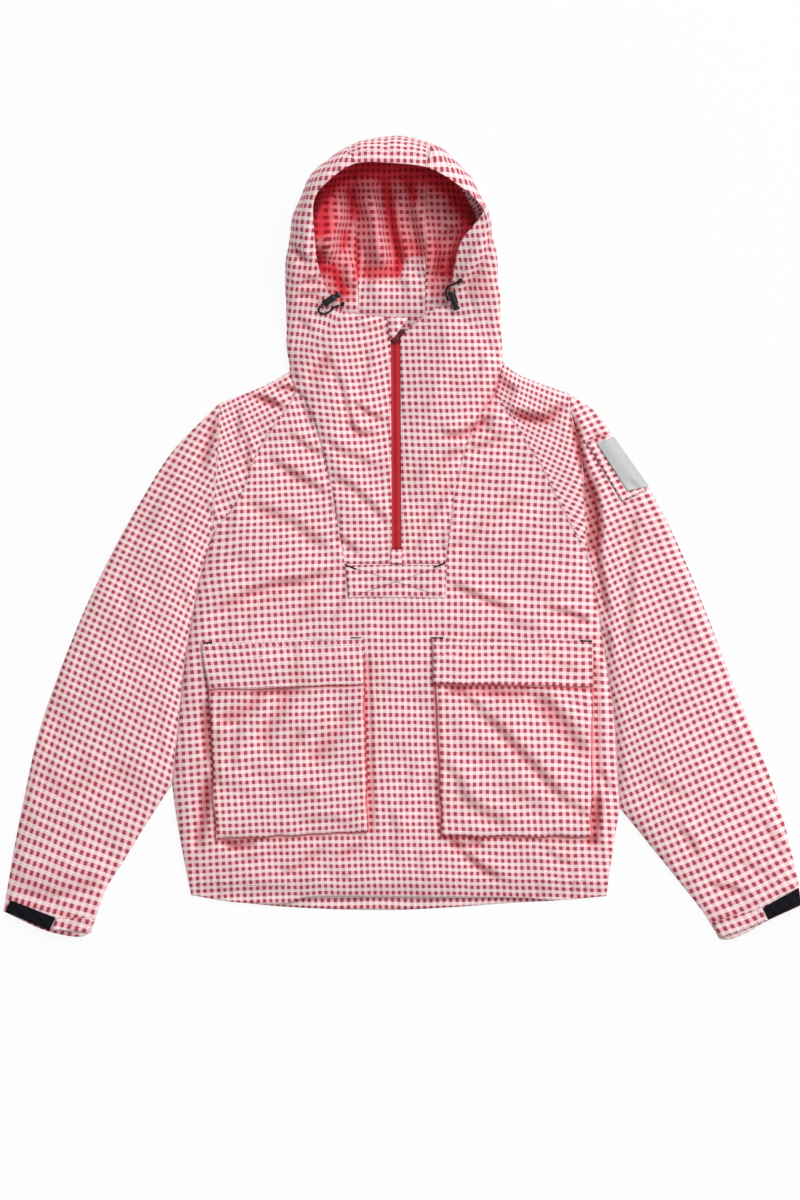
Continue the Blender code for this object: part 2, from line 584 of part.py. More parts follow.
def yoke_grid(seams, fold, is_right):
    """Half of the yoke, from its base up to the neck, between placket seam and zip."""
    side = -1 if is_right else 1
    shoulder = RIGHT_SHOULDER if is_right else LEFT_SHOULDER
    join = RIGHT_NECK_JOIN if is_right else LEFT_NECK_JOIN
    neck_edge = RIGHT_NECK_EDGE if is_right else LEFT_NECK_EDGE
    neck_seam = line(shoulder, join, np.linspace(0, 1, NECK_SEAM_CELLS + 1))
    outer = raised(np.vstack([neck_seam, seams["placket"]]))
    outer[0] = fold[-1]
    edge = even(neck_edge, NECK_EDGE_CELLS)
    edge_z = np.interp(shares_of(edge), (0, 1), (fold[0, 2], zip_height(edge[-1, 1])))
    top = np.vstack([fold[::-1], np.column_stack([edge, edge_z])[1:]])
    inner_y = np.interp(shares_of(outer), (0, 1), (edge[-1, 1], YOKE_ZIP_EDGE["y"][0]))
    inner = np.stack([zip_centre_x(inner_y) + side * ZIP_HALF_SLOT, inner_y, zip_height(inner_y)], axis=1)
    top[-1] = inner[0]
    base = raised(sample([outer[-1, :2], inner[-1, :2]], shares_of(top)))
    base[0], base[-1] = outer[-1], inner[-1]
    if is_right:
        grid = drawn_in(coons(top, base, outer, inner), SEAM_GAP / 2, "bl")
    else:
        grid = drawn_in(coons(top[::-1], base[::-1], inner, outer), SEAM_GAP / 2, "br")
    fold_end = 0 if is_right else -1
    grid[0, fold_end] = fold[-1]
    return grid


def zip_height(y):
    """Outer height of the yokes' edges along the zip."""
    return np.interp(y, YOKE_ZIP_EDGE["y"], YOKE_ZIP_EDGE["height"])


def zip_centre_x(y):
    return np.interp(y, (ZIP_BASE[1], ZIP_TOP[1]), (ZIP_BASE[0], ZIP_TOP[0]))


def back_panel(right, left, parts):
    """The back, flat on the floor, cut to the neck, shoulders, armholes, sides and hem."""
    first_seam, second_seam = HOOD_SEAMS
    right_side = np.linspace(0, first_seam, HOOD_SIDE_CELLS + 1)
    centre = np.linspace(first_seam, second_seam, HOOD_CENTRE_CELLS + 1)
    left_side = np.linspace(second_seam, HOOD_LAST, HOOD_SIDE_CELLS + 1)
    positions = np.unique(np.concatenate([right_side, centre, left_side]))
    nape = np.array([hood_line(position)[-1, :2] for position in positions])
    outline = [even(BACK_HEM, BACK_HEM_CELLS), left["side"][::-1][1:], left["side_top"][::-1][1:]]
    outline += [left["armhole"][::-1][1:], left["shoulder"][1:], nape[::-1]]
    outline += [right["shoulder"][::-1], right["armhole"][1:], right["side_top"][1:], right["side"][1:-1]]
    points = shrunk(np.vstack(outline), BACK_INSET)
    curve = bpy.data.curves.new("back_panel", "CURVE")
    curve.dimensions = "2D"
    curve.fill_mode = "BOTH"
    curve.extrude = CLOTH / 2
    spline = curve.splines.new("POLY")
    spline.points.add(len(points) - 1)
    for point, (x, y) in zip(spline.points, points):
        point.co = (x, y, 0, 1)
    spline.use_cyclic_u = True
    curve.materials.append(material("check"))
    made = bpy.data.objects.new("back_panel", curve)
    made.location.z = CLOTH / 2
    parts.objects.link(made)
    return made


def shrunk(points, gap):
    """A closed outline moved inwards by gap."""
    ahead = np.roll(points, -1, axis=0) - points
    behind = points - np.roll(points, 1, axis=0)
    ahead /= np.linalg.norm(ahead, axis=1)[:, None]
    behind /= np.linalg.norm(behind, axis=1)[:, None]
    run = ahead + behind
    run /= np.maximum(np.linalg.norm(run, axis=1)[:, None], 1e-9)
    spread = np.maximum((run * ahead).sum(1), 0.5)
    return points + gap / spread[:, None] * np.stack([-run[:, 1], run[:, 0]], axis=1)


def shares_grid(corners, across, down):
    """A grid between four straight edges, whose corners run top -X, top +X, base +X, base -X."""
    top_a, top_b, base_b, base_a = corners
    top, base = line(top_a, top_b, across), line(base_a, base_b, across)
    return coons(top, base, line(top_a, base_a, down), line(top_b, base_b, down))


def quad_grid(corners, columns, rows):
    """A grid between four straight edges with even cells."""
    return shares_grid(corners, np.linspace(0, 1, columns + 1), np.linspace(0, 1, rows + 1))


def upper_surface(grids):
    """The upper layer's outer faces as one searchable surface."""
    points, faces = [], []
    for grid in grids:
        rows, columns = grid.shape[:2]
        start = len(points)
        points.extend(Vector(point) for point in grid.reshape(-1, 3))
        for row in range(rows - 1):
            for column in range(columns - 1):
                first = start + row * columns + column
                faces.append((first, first + 1, first + columns + 1, first + columns))
    return BVHTree.FromPolygons(points, faces)


def on_cloth(surface, plan, lift=0.0):
    """Plan points dropped on the upper layer and moved out along its normal."""
    placed = np.empty(plan.shape[:2] + (3,))
    for index in np.ndindex(plan.shape[:2]):
        place, normal, _, _ = surface.ray_cast(Vector((*plan[index], 1.0)), Vector((0, 0, -1)))
        placed[index] = place + normal * math.copysign(lift, normal.z)
    return placed


def kept_clear(surface, placed, clearance):
    """The grid with its cells raised until no point of one is nearer the cloth than clearance."""
    placed = placed.copy()
    steps = np.linspace(0, 1, CLEAR_STEPS)
    for row, column in np.ndindex(placed.shape[0] - 1, placed.shape[1] - 1):
        cell = placed[row : row + 2, column : column + 2]
        short = 0.0
        for v in steps:
            for u in steps:
                first = (1 - u) * cell[0, 0] + u * cell[0, 1]
                second = (1 - u) * cell[1, 0] + u * cell[1, 1]
                at = (1 - v) * first + v * second
                below, _, _, _ = surface.ray_cast(Vector((at[0], at[1], 1.0)), Vector((0, 0, -1)))
                if below is not None:
                    short = max(short, below.z + clearance - at[2])
        cell[..., 2] += short
    return placed


def laid_piece(name, corners, columns, rows, slot, surface, parts, wall=TRIM, lift=0.0):
    """A flat piece that follows the upper layer a small gap above it."""
    placed = on_cloth(surface, quad_grid(corners, columns, rows), LAID_GAP + wall + lift)
    placed = kept_clear(surface, placed, LAID_GAP + wall * STEEP_WALL + lift)
    return cloth(name, [placed], slot, parts, wall=wall)


def pocket_rise(to_edge):
    """How far up its rounded edge a pocket is, as a share of its height."""
    return np.sqrt(1 - (1 - np.clip(to_edge / POCKET_ROLL, 0, 1)) ** 2)


def pocket_piece(name, corners, surface, parts):
    """A pocket that stands off the front, open under its flap."""
    grid = shares_grid(corners, POCKET_ACROSS, POCKET_DOWN)
    width = np.linalg.norm(grid[0, -1] - grid[0, 0])
    depth = np.linalg.norm(grid[-1, 0] - grid[0, 0])
    u, v = np.array(POCKET_ACROSS)[None, :], np.array(POCKET_DOWN)[:, None]
    rise = pocket_rise(np.minimum(np.minimum(u, 1 - u) * width, (1 - v) * depth))
    spread = POCKET_MOUTH + (POCKET_SPREAD - POCKET_MOUTH) * np.clip(v * 4, 0, 1)
    placed = on_cloth(surface, grid)
    placed[..., 2] += SEAM_GAP + POCKET_SEAT + spread * rise
    return cloth(name, [placed], "check", parts)


def flap_piece(name, corners, surface, parts):
    """A flap sewn to the front above its pocket and lying down over it."""
    grid = shares_grid(corners, FLAP_ACROSS, FLAP_DOWN)
    width = np.linalg.norm(grid[0, -1] - grid[0, 0])
    depth = np.linalg.norm(grid[-1, 0] - grid[0, 0])
    u, v = np.array(FLAP_ACROSS)[None, :], np.array(FLAP_DOWN)[:, None]
    sewn = LAID_GAP + CLOTH
    to_end = np.clip(np.minimum(u, 1 - u) * width / FLAP_FALL, 0, 1)
    full = POCKET_SPREAD + SEAM_GAP + POCKET_SEAT
    over = sewn + full * (FLAP_END_SHARE + (1 - FLAP_END_SHARE) * np.sqrt(to_end))
    rise = np.sin(np.clip(v * depth / FLAP_RISE_END, 0, 1) * math.pi / 2)
    placed = on_cloth(surface, grid)
    placed[..., 2] += sewn + (over - sewn) * rise
    return cloth(name, [placed], "check", parts)


def zip_pieces(parts):
    """Tape under the yokes' edges, coil between them and the slider at the top."""
    y = np.linspace(ZIP_TOP[1], ZIP_BASE[1], ZIP_CELLS + 1)
    tape_z = zip_height(y) - CLOTH - SEAM_GAP
    tape = zip_strip(y, tape_z, ((-ZIP_TAPE_HALF, 0.0), (0.0, 0.0), (ZIP_TAPE_HALF, 0.0)))
    cloth("zip_tape", [tape], "zip", parts, wall=TRIM)
    arch = [(across * ZIP_COIL_HALF, rise * ZIP_COIL_RISE) for across, rise in ZIP_COIL_ARCH]
    coil = zip_strip(y[1:], tape_z[1:] + TRIM + SEAM_GAP, arch)
    cloth("zip_coil", [coil], "zip", parts, wall=TRIM)
    slider_piece(parts)


def zip_strip(y, z, profile):
    """A grid along the zip with a profile of (across, rise) over its centre line."""
    columns = [np.stack([zip_centre_x(y) + across, y, z + rise], axis=1) for across, rise in profile]
    return np.stack(columns, axis=1)


def slider_piece(parts):
    """The slider's rounded body, over the tape at the top of the coil."""
    bm = bmesh.new()
    bmesh.ops.create_cube(bm, size=1.0)
    size = Vector((SLIDER["width"], SLIDER["length"], SLIDER["height"]))
    bmesh.ops.scale(bm, vec=size, verts=bm.verts)
    made = add_object("zip_slider", bm, "zip", parts)
    y = SLIDER["y"]
    tape_top = float(zip_height(y)) - CLOTH - SEAM_GAP
    made.location = (float(zip_centre_x(y)), y, tape_top + SEAM_GAP + SLIDER["height"] / 2)
    bevel = made.modifiers.new("rounding", "BEVEL")
    bevel.width = SLIDER["bevel"]
    bevel.segments = 2
    return made


def garage_piece(parts):
    """The neck corner that folds over the zip's top."""
    grid = quad_grid(ZIP_GARAGE, *GARAGE_CELLS)
    z = zip_height(grid[..., 1]) + SEAM_GAP + CLOTH
    off_centre = (grid[..., 0] - zip_centre_x(grid[..., 1])) / GARAGE_BULGE["half_width"]
    bulge = np.exp(-(off_centre**2)) * GARAGE_BULGE["height"]
    placed = np.concatenate([grid, (z + bulge)[..., None]], axis=2)
    return cloth("zip_garage", [placed], "check", parts)


def turned_piece(name, profile, slot, parts):
    """A profile of (radius, height) turned about Z. It runs from the top down its outer side."""
    bm = bmesh.new()
    points = [bm.verts.new((radius, 0, height)) for radius, height in profile]
    for a, b in zip(points, points[1:]):
        bm.edges.new((a, b))
    made = add_object(name, bm, slot, parts)
    screw = made.modifiers.new("turn", "SCREW")
    screw.steps = LOCK_STEPS
    screw.render_steps = LOCK_STEPS
    screw.use_merge_vertices = True
    screw.merge_threshold = 0.00002
    return made


def lock_frame(place, surface):
    """The pose of a lock's barrel: lying level on the hood's edge, turned in plan."""
    angle = math.radians(place["turn"])
    along = np.linspace(-0.5, 0.5, LOCK_TESTS) * LOCK["length"]
    height = 0.0
    for share in along:
        at = Vector((place["x"] + share * math.cos(angle), place["y"] + share * math.sin(angle), 1.0))
        below, _, _, _ = surface.ray_cast(at, Vector((0, 0, -1)))
        height = max(height, below.z)
    height += LOCK["radius"] + LAID_GAP + LOCK["seat"]
    turn = Matrix.Rotation(math.radians(place["turn"]), 4, "Z")
    tip = Matrix.Rotation(math.radians(90), 4, "Y")
    return Matrix.Translation((place["x"], place["y"], height)) @ turn @ tip


def cord_lock(side, place, surface, parts):
    """A barrel with a blind bore and the spring button that slides in it."""
    half = LOCK["length"] / 2
    rim = LOCK["rim"]
    radius, bore, depth = LOCK["radius"], LOCK["bore"], LOCK["bore_depth"]
    barrel = (
        (bore, half - depth), (bore, half), (radius - rim, half), (radius, half - rim),
        (radius, half - 3 * rim), (radius - rim / 2, half - 4 * rim), (radius - rim / 2, -half + 5 * rim),
        (radius, -half + 4 * rim), (radius, -half + 2 * rim), (radius - 1.5 * rim, -half), (0, -half),
    )
    profile = [(0, half - depth)] + list(barrel)
    made = turned_piece(f"cord_lock_{side}", profile, "black_plastic", parts)
    made.matrix_world = lock_frame(place, surface)
    stem, head = LOCK["stem"], LOCK["head"]
    out = half + LOCK["travel"] + SEAM_GAP
    top = out + LOCK["head_length"]
    inner_end = out - LOCK["stem_length"] + LOCK["travel"]
    button = (
        (0, top), (head - rim, top), (head, top - rim), (head, out + rim / 2), (head - rim / 2, out),
        (stem, out), (stem, inner_end), (0, inner_end),
    )
    pressed = turned_piece(f"lock_button_{side}", button, "black_plastic", parts)
    pressed.matrix_world = made.matrix_world


def cord_piece(side, route, parts):
    """The free end of the drawcord with the knot that stops it."""
    points = sample(route, np.linspace(0, 1, CORD_POINTS))
    curve = bpy.data.curves.new(f"cord_{side}", "CURVE")
    curve.dimensions = "3D"
    curve.bevel_depth = CORD_RADIUS
    curve.bevel_resolution = 2
    curve.use_fill_caps = True
    spline = curve.splines.new("POLY")
    spline.points.add(CORD_POINTS - 1)
    for point, place in zip(spline.points, points):
        point.co = (*place, 1)
    curve.materials.append(material("black_cord"))
    made = bpy.data.objects.new(f"cord_{side}", curve)
    parts.objects.link(made)
    end = Vector(points[-1])
    run = (end - Vector(points[-2])).normalized()
    bm = bmesh.new()
    bmesh.ops.create_uvsphere(bm, u_segments=KNOT_SEGMENTS, v_segments=KNOT_RINGS, radius=KNOT_RADIUS)
    knot = add_object(f"cord_knot_{side}", bm, "black_cord", parts)
    knot.location = end + run * (KNOT_RADIUS + SEAM_GAP)


def build():
    clear_scene()
    parts = new_collection(OBJECT_NAME)
    right, left = seam_samples(RIGHT_EDGES), seam_samples(LEFT_EDGES)
    upper_layer = []
    back_panel(right, left, parts)
    front_panel(right, left, upper_layer, parts)
    for side, seams, edges in (("right", right, RIGHT_EDGES), ("left", left, LEFT_EDGES)):
        is_right = side == "right"
        shoulder_piece(f"shoulder_{side}", seams, is_right, upper_layer, parts)
        sleeve_pieces(side, seams, edges, is_right, upper_layer, parts)
        hood_side(f"hood_side_{side}", seams, is_right, upper_layer, parts)
    hood_centre(parts)
    zip_pieces(parts)
    garage_piece(parts)
    surface = upper_surface(upper_layer)
    laid_piece("placket_patch", PLACKET_PATCH, 8, 3, "check", surface, parts)
    laid_piece("zip_end_patch", ZIP_END_PATCH, 1, 1, "check", surface, parts)
    pocket_piece("pocket_right", RIGHT_POCKET, surface, parts)
    pocket_piece("pocket_left", LEFT_POCKET, surface, parts)
    flap_piece("flap_right", RIGHT_FLAP, surface, parts)
    flap_piece("flap_left", LEFT_FLAP, surface, parts)
    laid_piece("cuff_strip_right", RIGHT_CUFF_STRIP, 6, 2, "hook_tape", surface, parts)
    laid_piece("cuff_strip_left", LEFT_CUFF_STRIP, 6, 2, "hook_tape", surface, parts)
    laid_piece("cuff_tab_right", RIGHT_CUFF_TAB, 5, 3, "check", surface, parts)
    laid_piece("cuff_tab_left", LEFT_CUFF_TAB, 5, 3, "check", surface, parts)
    laid_piece("patch_backing", SLEEVE_BACKING, 4, 8, "check", surface, parts)
    laid_piece("patch_face", SLEEVE_PATCH, 3, 6, "grey_patch", surface, parts, lift=2 * LAID_GAP + TRIM)
    for side, place, route in (("right", RIGHT_LOCK, RIGHT_CORD), ("left", LEFT_LOCK, LEFT_CORD)):
        cord_lock(side, place, surface, parts)
        cord_piece(side, route, parts)


build()
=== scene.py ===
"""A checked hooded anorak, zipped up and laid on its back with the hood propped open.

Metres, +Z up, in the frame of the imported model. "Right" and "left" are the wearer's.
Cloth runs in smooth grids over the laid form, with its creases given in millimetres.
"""

from __future__ import annotations

import logging
import math
from dataclasses import dataclass, field
from enum import Enum

import bmesh
import bpy
import numpy as np
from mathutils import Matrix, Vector
from mathutils.bvhtree import BVHTree


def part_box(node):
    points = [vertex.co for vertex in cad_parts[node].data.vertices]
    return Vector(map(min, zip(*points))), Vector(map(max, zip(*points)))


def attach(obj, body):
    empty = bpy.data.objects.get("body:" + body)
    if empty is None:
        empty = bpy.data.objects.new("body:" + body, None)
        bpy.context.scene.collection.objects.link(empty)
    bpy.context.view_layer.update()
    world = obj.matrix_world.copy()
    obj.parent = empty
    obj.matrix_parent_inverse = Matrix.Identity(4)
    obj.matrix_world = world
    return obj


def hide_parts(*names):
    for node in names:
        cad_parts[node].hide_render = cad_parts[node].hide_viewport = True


LOG = logging.getLogger("anorak")

Points = np.ndarray
Route = tuple[tuple[float, ...], ...]
Shape = tuple[Points, list[tuple[int, ...]]]  # points and faces

MM = 0.001
CLOTH_WALL = 0.0006
GARMENT = "garment"
SMOOTH_STEPS = 12
CHECKS_PER_M = (124.8, 110.7)  # columns and rows of the check along a metre of plain cloth
TO_KEY = (0.50, 0.87)  # the way to the key light in plan, for painted shade on slopes turned from it
VALLEY = (0.0006, 0.0085)  # depths between which a crease takes up painted red light
DARK_VALLEY = (0.0042, 0.0105)  # depths between which it also gets painted shade
TINY = 1e-12  # keeps a division from meeting nothing


class Side(Enum):
    """The wearer's side."""

    RIGHT = "right"
    LEFT = "left"

    @property
    def sign(self) -> int:
        """-1 on the right, which lies at -X, and 1 on the left."""
        return -1 if self is Side.RIGHT else 1

    @property
    def outer(self) -> Edge:
        """The edge of a grid that lies away from the zip."""
        return Edge.START if self is Side.RIGHT else Edge.END

    @property
    def inner(self) -> Edge:
        """The edge of a grid that lies towards the zip."""
        return Edge.END if self is Side.RIGHT else Edge.START


class Edge(Enum):
    """An edge of a grid of cloth, whose rows run down and columns to +X."""

    TOP = "top"
    BASE = "base"
    START = "start"  # at -X
    END = "end"  # at +X


class Lay(Enum):
    """Which way the ridges of a woven finish run, by the renderer's words."""

    ACROSS = "Y"
    SLANTED = "DIAGONAL"


# ---------------------------------------------------------------- curves and grids


def smooth_curve(points: Route | Points) -> Points:
    """A dense Catmull-Rom curve through the points.

    Args:
        points: the points it passes through.
    Returns:
        The curve's points, SMOOTH_STEPS to each span.
    """
    knots = np.array(points, float)
    if len(knots) < 3:
        return knots
    ends = np.vstack([2 * knots[0] - knots[1], knots, 2 * knots[-1] - knots[-2]])
    t = np.linspace(0, 1, SMOOTH_STEPS, endpoint=False)[:, None]
    parts = []
    for a, b, c, d in zip(ends, ends[1:], ends[2:], ends[3:]):
        bend = (2 * a - 5 * b + 4 * c - d) * t**2 + (3 * b - a - 3 * c + d) * t**3
        parts.append(0.5 * (2 * b + (c - a) * t + bend))
    return np.vstack(parts + [knots[-1:]])


def lengths_of(curve: Points) -> Points:
    """The length of a curve up to each of its points."""
    return np.concatenate([[0], np.cumsum(np.linalg.norm(np.diff(curve, axis=0), axis=1))])


def shares_of(curve: Points) -> Points:
    """Each point's share of the curve's length."""
    return lengths_of(curve) / lengths_of(curve)[-1]


def unit(vectors: Points) -> Points:
    """Vectors brought to a length of one."""
    return vectors / np.maximum(np.linalg.norm(vectors, axis=-1, keepdims=True), TINY)


def sample(points: Route | Points, shares: Points) -> Points:
    """Points at shares of the length of the smooth curve through points.

    Args:
        points: the route's corners.
        shares: shares of its length, 0 to 1.
    Returns:
        The points, one for each share.
    """
    curve = smooth_curve(points)
    run = shares_of(curve)
    return np.stack([np.interp(shares, run, curve[:, axis]) for axis in range(curve.shape[1])], axis=1)


def even(points: Route | Points, cells: int) -> Points:
    """Evenly spaced points of the smooth curve through points."""
    return sample(points, np.linspace(0, 1, cells + 1))


def bunched(cells: int, start: float = 0.0, end: float = 0.0) -> Points:
    """Shares from 0 to 1 that crowd towards an end where the cloth rolls over.

    Args:
        cells: how many cells.
        start: crowding at 0, from 0 to 1.
        end: crowding at 1, from 0 to 1.
    Returns:
        The shares, cells + 1 of them.
    """
    slower, reach = 0.8, 0.06
    t = np.linspace(0, 1, cells + 1)
    pace = 1 - start * slower * np.exp(-t / reach) - end * slower * np.exp(-(1 - t) / reach)
    run = np.concatenate([[0], np.cumsum(0.5 * (pace[1:] + pace[:-1]))])
    return run / run[-1]


def line(start: Points, end: Points, shares: Points) -> Points:
    """Points of a straight line at the given shares."""
    start, end = np.asarray(start, float), np.asarray(end, float)
    return start + np.asarray(shares)[:, None] * (end - start)


def coons(top: Points, bottom: Points, left: Points, right: Points) -> Points:
    """The grid that fills four edges. top and bottom run to +X, left and right run down.

    Args:
        top: the edge at +Y.
        bottom: the edge at -Y.
        left: the edge at -X.
        right: the edge at +X.
    Returns:
        The grid, rows by columns.
    """
    u = (0.5 * (shares_of(top) + shares_of(bottom)))[None, :, None]
    v = (0.5 * (shares_of(left) + shares_of(right)))[:, None, None]
    ruled = (1 - v) * top[None] + v * bottom[None] + (1 - u) * left[:, None] + u * right[:, None]
    corners = (1 - v) * ((1 - u) * top[0] + u * top[-1]) + v * ((1 - u) * bottom[0] + u * bottom[-1])
    return ruled - corners


def drawn_in(grid: Points, gap: float, *edges: Edge) -> Points:
    """The grid with some of its edges moved inwards.

    Args:
        grid: the points, (rows, columns, 2 or 3).
        gap: how far the edges move.
        edges: which edges.
    Returns:
        The moved grid.
    """
    moved, every = grid.copy(), slice(None)
    lines = {
        Edge.TOP: ((0, every), (1, every)),
        Edge.BASE: ((-1, every), (-2, every)),
        Edge.START: ((every, 0), (every, 1)),
        Edge.END: ((every, -1), (every, -2)),
    }
    for edge in edges:
        outer, inner = lines[edge]
        run = unit(np.gradient(grid[outer], axis=0))
        inward = grid[inner] - grid[outer]
        inward -= (inward * run).sum(1)[:, None] * run
        moved[outer] += gap * unit(inward)
    return moved


def between(side: Side, top: Points, base: Points, outer: Points, inner: Points) -> Points:
    """The grid between four seams on one side of the garment.

    Args:
        side: the wearer's side.
        top: the upper seam, from the outer one to the inner one.
        base: the lower seam, which runs the same way.
        outer: the seam away from the zip, which runs down.
        inner: the seam towards the zip, which runs down.
    Returns:
        The grid, with its columns to +X.
    """
    if side is Side.RIGHT:
        return coons(top, base, outer, inner)
    return coons(top[::-1], base[::-1], inner, outer)


def rise(edge0: float, edge1: float, value: Points) -> Points:
    """A soft step from 0 at edge0 to 1 at edge1."""
    t = np.clip((value - edge0) / (edge1 - edge0), 0, 1)
    return t * t * (3 - 2 * t)


def bell(off: Points, width: float) -> Points:
    """1 where off is 0, fading away on both sides of it."""
    return np.exp(-((off / width) ** 2))


def nearest(plan: Points, curve: Points) -> tuple[Points, Points, Points]:
    """Where points lie beside a curve in plan.

    Args:
        plan: the points, (..., 2).
        curve: the curve's points, (n, 2).
    Returns:
        Distance to the curve, which side of it (1 on the left of its run), and the share of its length.
    """
    starts, run = curve[:-1], np.diff(curve, axis=0)
    at = plan.reshape(-1, 1, 2)
    share = np.clip(((at - starts) * run).sum(-1) / np.maximum((run**2).sum(-1), TINY), 0, 1)
    away = at - (starts + share[..., None] * run)
    distance = np.linalg.norm(away, axis=-1)
    best = distance.argmin(1)
    rows = np.arange(len(best))
    cross = run[best, 0] * away[rows, best, 1] - run[best, 1] * away[rows, best, 0]
    lengths = lengths_of(curve)
    along = (lengths[best] + share[rows, best] * (lengths[best + 1] - lengths[best])) / lengths[-1]
    shape = plan.shape[:-1]
    return distance[rows, best].reshape(shape), np.sign(cross).reshape(shape), along.reshape(shape)


# ---------------------------------------------------------------- the laid form


@dataclass(frozen=True)
class Crease:
    """A soft trough or ridge along a line on the cloth, all in millimetres.

    route is its line. height is below 0 for a trough. bank is the height of the roll of cloth
    that stands beside it on the left of its run, or on the right if bank_side is -1.
    """

    route: Route
    height: float
    width: float
    bank: float = 0.0
    bank_width: float = 8.0
    bank_side: int = 1
    blunt: float = 0.25

    def relief(self, plan: Points) -> Points:
        """The crease's height in metres at each point.

        Args:
            plan: the points, whose first two values are x and y.
        Returns:
            The heights.
        """
        curve = smooth_curve(self.route) * MM
        reach = 3.0 * (self.width + self.bank_width * (self.bank != 0)) * MM
        total = np.zeros(plan.shape[:-1])
        flat = plan[..., :2]
        near = ((flat > curve.min(0) - reach) & (flat < curve.max(0) + reach)).all(-1)
        if not near.any():
            return total
        away, side, share = nearest(flat[near], curve)
        fade = np.minimum(1, np.minimum(share, 1 - share) / self.blunt)
        fade = 0.12 + 0.88 * fade * (2 - fade)
        shape = self.height * bell(away, self.width * MM)
        if self.bank:
            off = away * side * self.bank_side - 0.9 * self.bank_width * MM
            shape = shape + self.bank * bell(off, self.bank_width * MM)
        total[near] = shape * fade * MM
        return total


def creased(lines: tuple[Crease, ...], plan: Points) -> Points:
    """How far creases together lift or lower the cloth at plan points."""
    return sum((crease.relief(plan) for crease in lines), np.zeros(plan.shape[:-1]))


def ripples(plan: Points, wave: float, seed: int) -> Points:
    """Gentle unevenness of about one unit.

    Args:
        plan: the points, whose first two values are x and y.
        wave: about how long its waves are.
        seed: which set of waves.
    Returns:
        The unevenness at each point.
    """
    source = np.random.RandomState(seed)
    x, y = plan[..., 0], plan[..., 1]
    total = np.zeros(x.shape)
    for _ in range(9):
        length = wave * source.uniform(0.6, 1.7)
        turn, phase = source.uniform(0, math.tau, 2)
        bend = source.uniform(-0.35, 0.35)
        along = (x * math.cos(turn) + y * math.sin(turn)) / length
        across = (y * math.cos(turn) - x * math.sin(turn)) / length
        total += np.sin(math.tau * (along + bend * np.sin(across * 2.1)) + phase)
    return total / 3.0


def valley_painted_shading(relief: Points, plan: Points | None = None) -> Points:
    """The share of red light that the cloth throws on itself in valleys and on slopes turned from the lamp, painted
    into its colour, with painted shade in the deepest valleys.

    Args:
        relief: the height of the creases at each point of a grid.
        plan: the points in plan, (rows, columns, 2), where the grid is flat enough for its slopes to count.
    Returns:
        The painted red light share and the painted shade at each point.
    """
    share = 0.55 * rise(*VALLEY, -relief)
    if plan is not None:
        r_row, r_column = np.gradient(relief)
        (x_row, y_row), (x_column, y_column) = (np.moveaxis(np.gradient(plan, axis=axis), -1, 0) for axis in (0, 1))
        area = x_row * y_column - x_column * y_row
        area = np.where(np.abs(area) < 1e-9, 1e-9, area)
        towards_x = (r_row * y_column - r_column * y_row) / area
        towards_y = (x_row * r_column - x_column * r_row) / area
        share = share + 0.50 * np.clip(TO_KEY[0] * towards_x + TO_KEY[1] * towards_y, 0, 1)
    return smoothed(paired(np.clip(share, 0, 0.85), 0.36 * rise(*DARK_VALLEY, -relief)), 2)


def paired(share: Points, shade: Points | float = 0.0) -> Points:
    """The two values of a patch's painted shading at each point: the share of painted red light and the painted
    shade.
    """
    return np.stack([share, shade * np.ones_like(share)], axis=-1)


# ---------------------------------------------------------------- the pattern's corner points and edges

RIGHT_SHOULDER = (-0.133, 0.285)
RIGHT_SHOULDER_TIP = (-0.221, 0.246)
RIGHT_ARMPIT = (-0.230, 0.080)
RIGHT_NECK_JOIN = (-0.125, 0.261)
RIGHT_YOKE_TOP = (-0.115, 0.253)
RIGHT_YOKE_BASE = (-0.064, 0.045)
RIGHT_CHEST_BASE = (-0.2475, 0.020)
RIGHT_SPLIT = (-0.280, -0.231)
RIGHT_HEM = (-0.256, -0.369)
LEFT_SHOULDER = (0.134, 0.297)
LEFT_SHOULDER_TIP = (0.216, 0.258)
LEFT_ARMPIT = (0.240, 0.050)
LEFT_NECK_JOIN = (0.124, 0.259)
LEFT_YOKE_TOP = (0.115, 0.245)
LEFT_YOKE_BASE = (0.062, 0.045)
LEFT_CHEST_BASE = (0.2475, 0.020)
LEFT_SPLIT = (0.280, -0.261)
LEFT_HEM = (0.263, -0.370)
ZIP_TOP = (-0.0008, 0.338)
ZIP_BASE = (0.0007, 0.064)

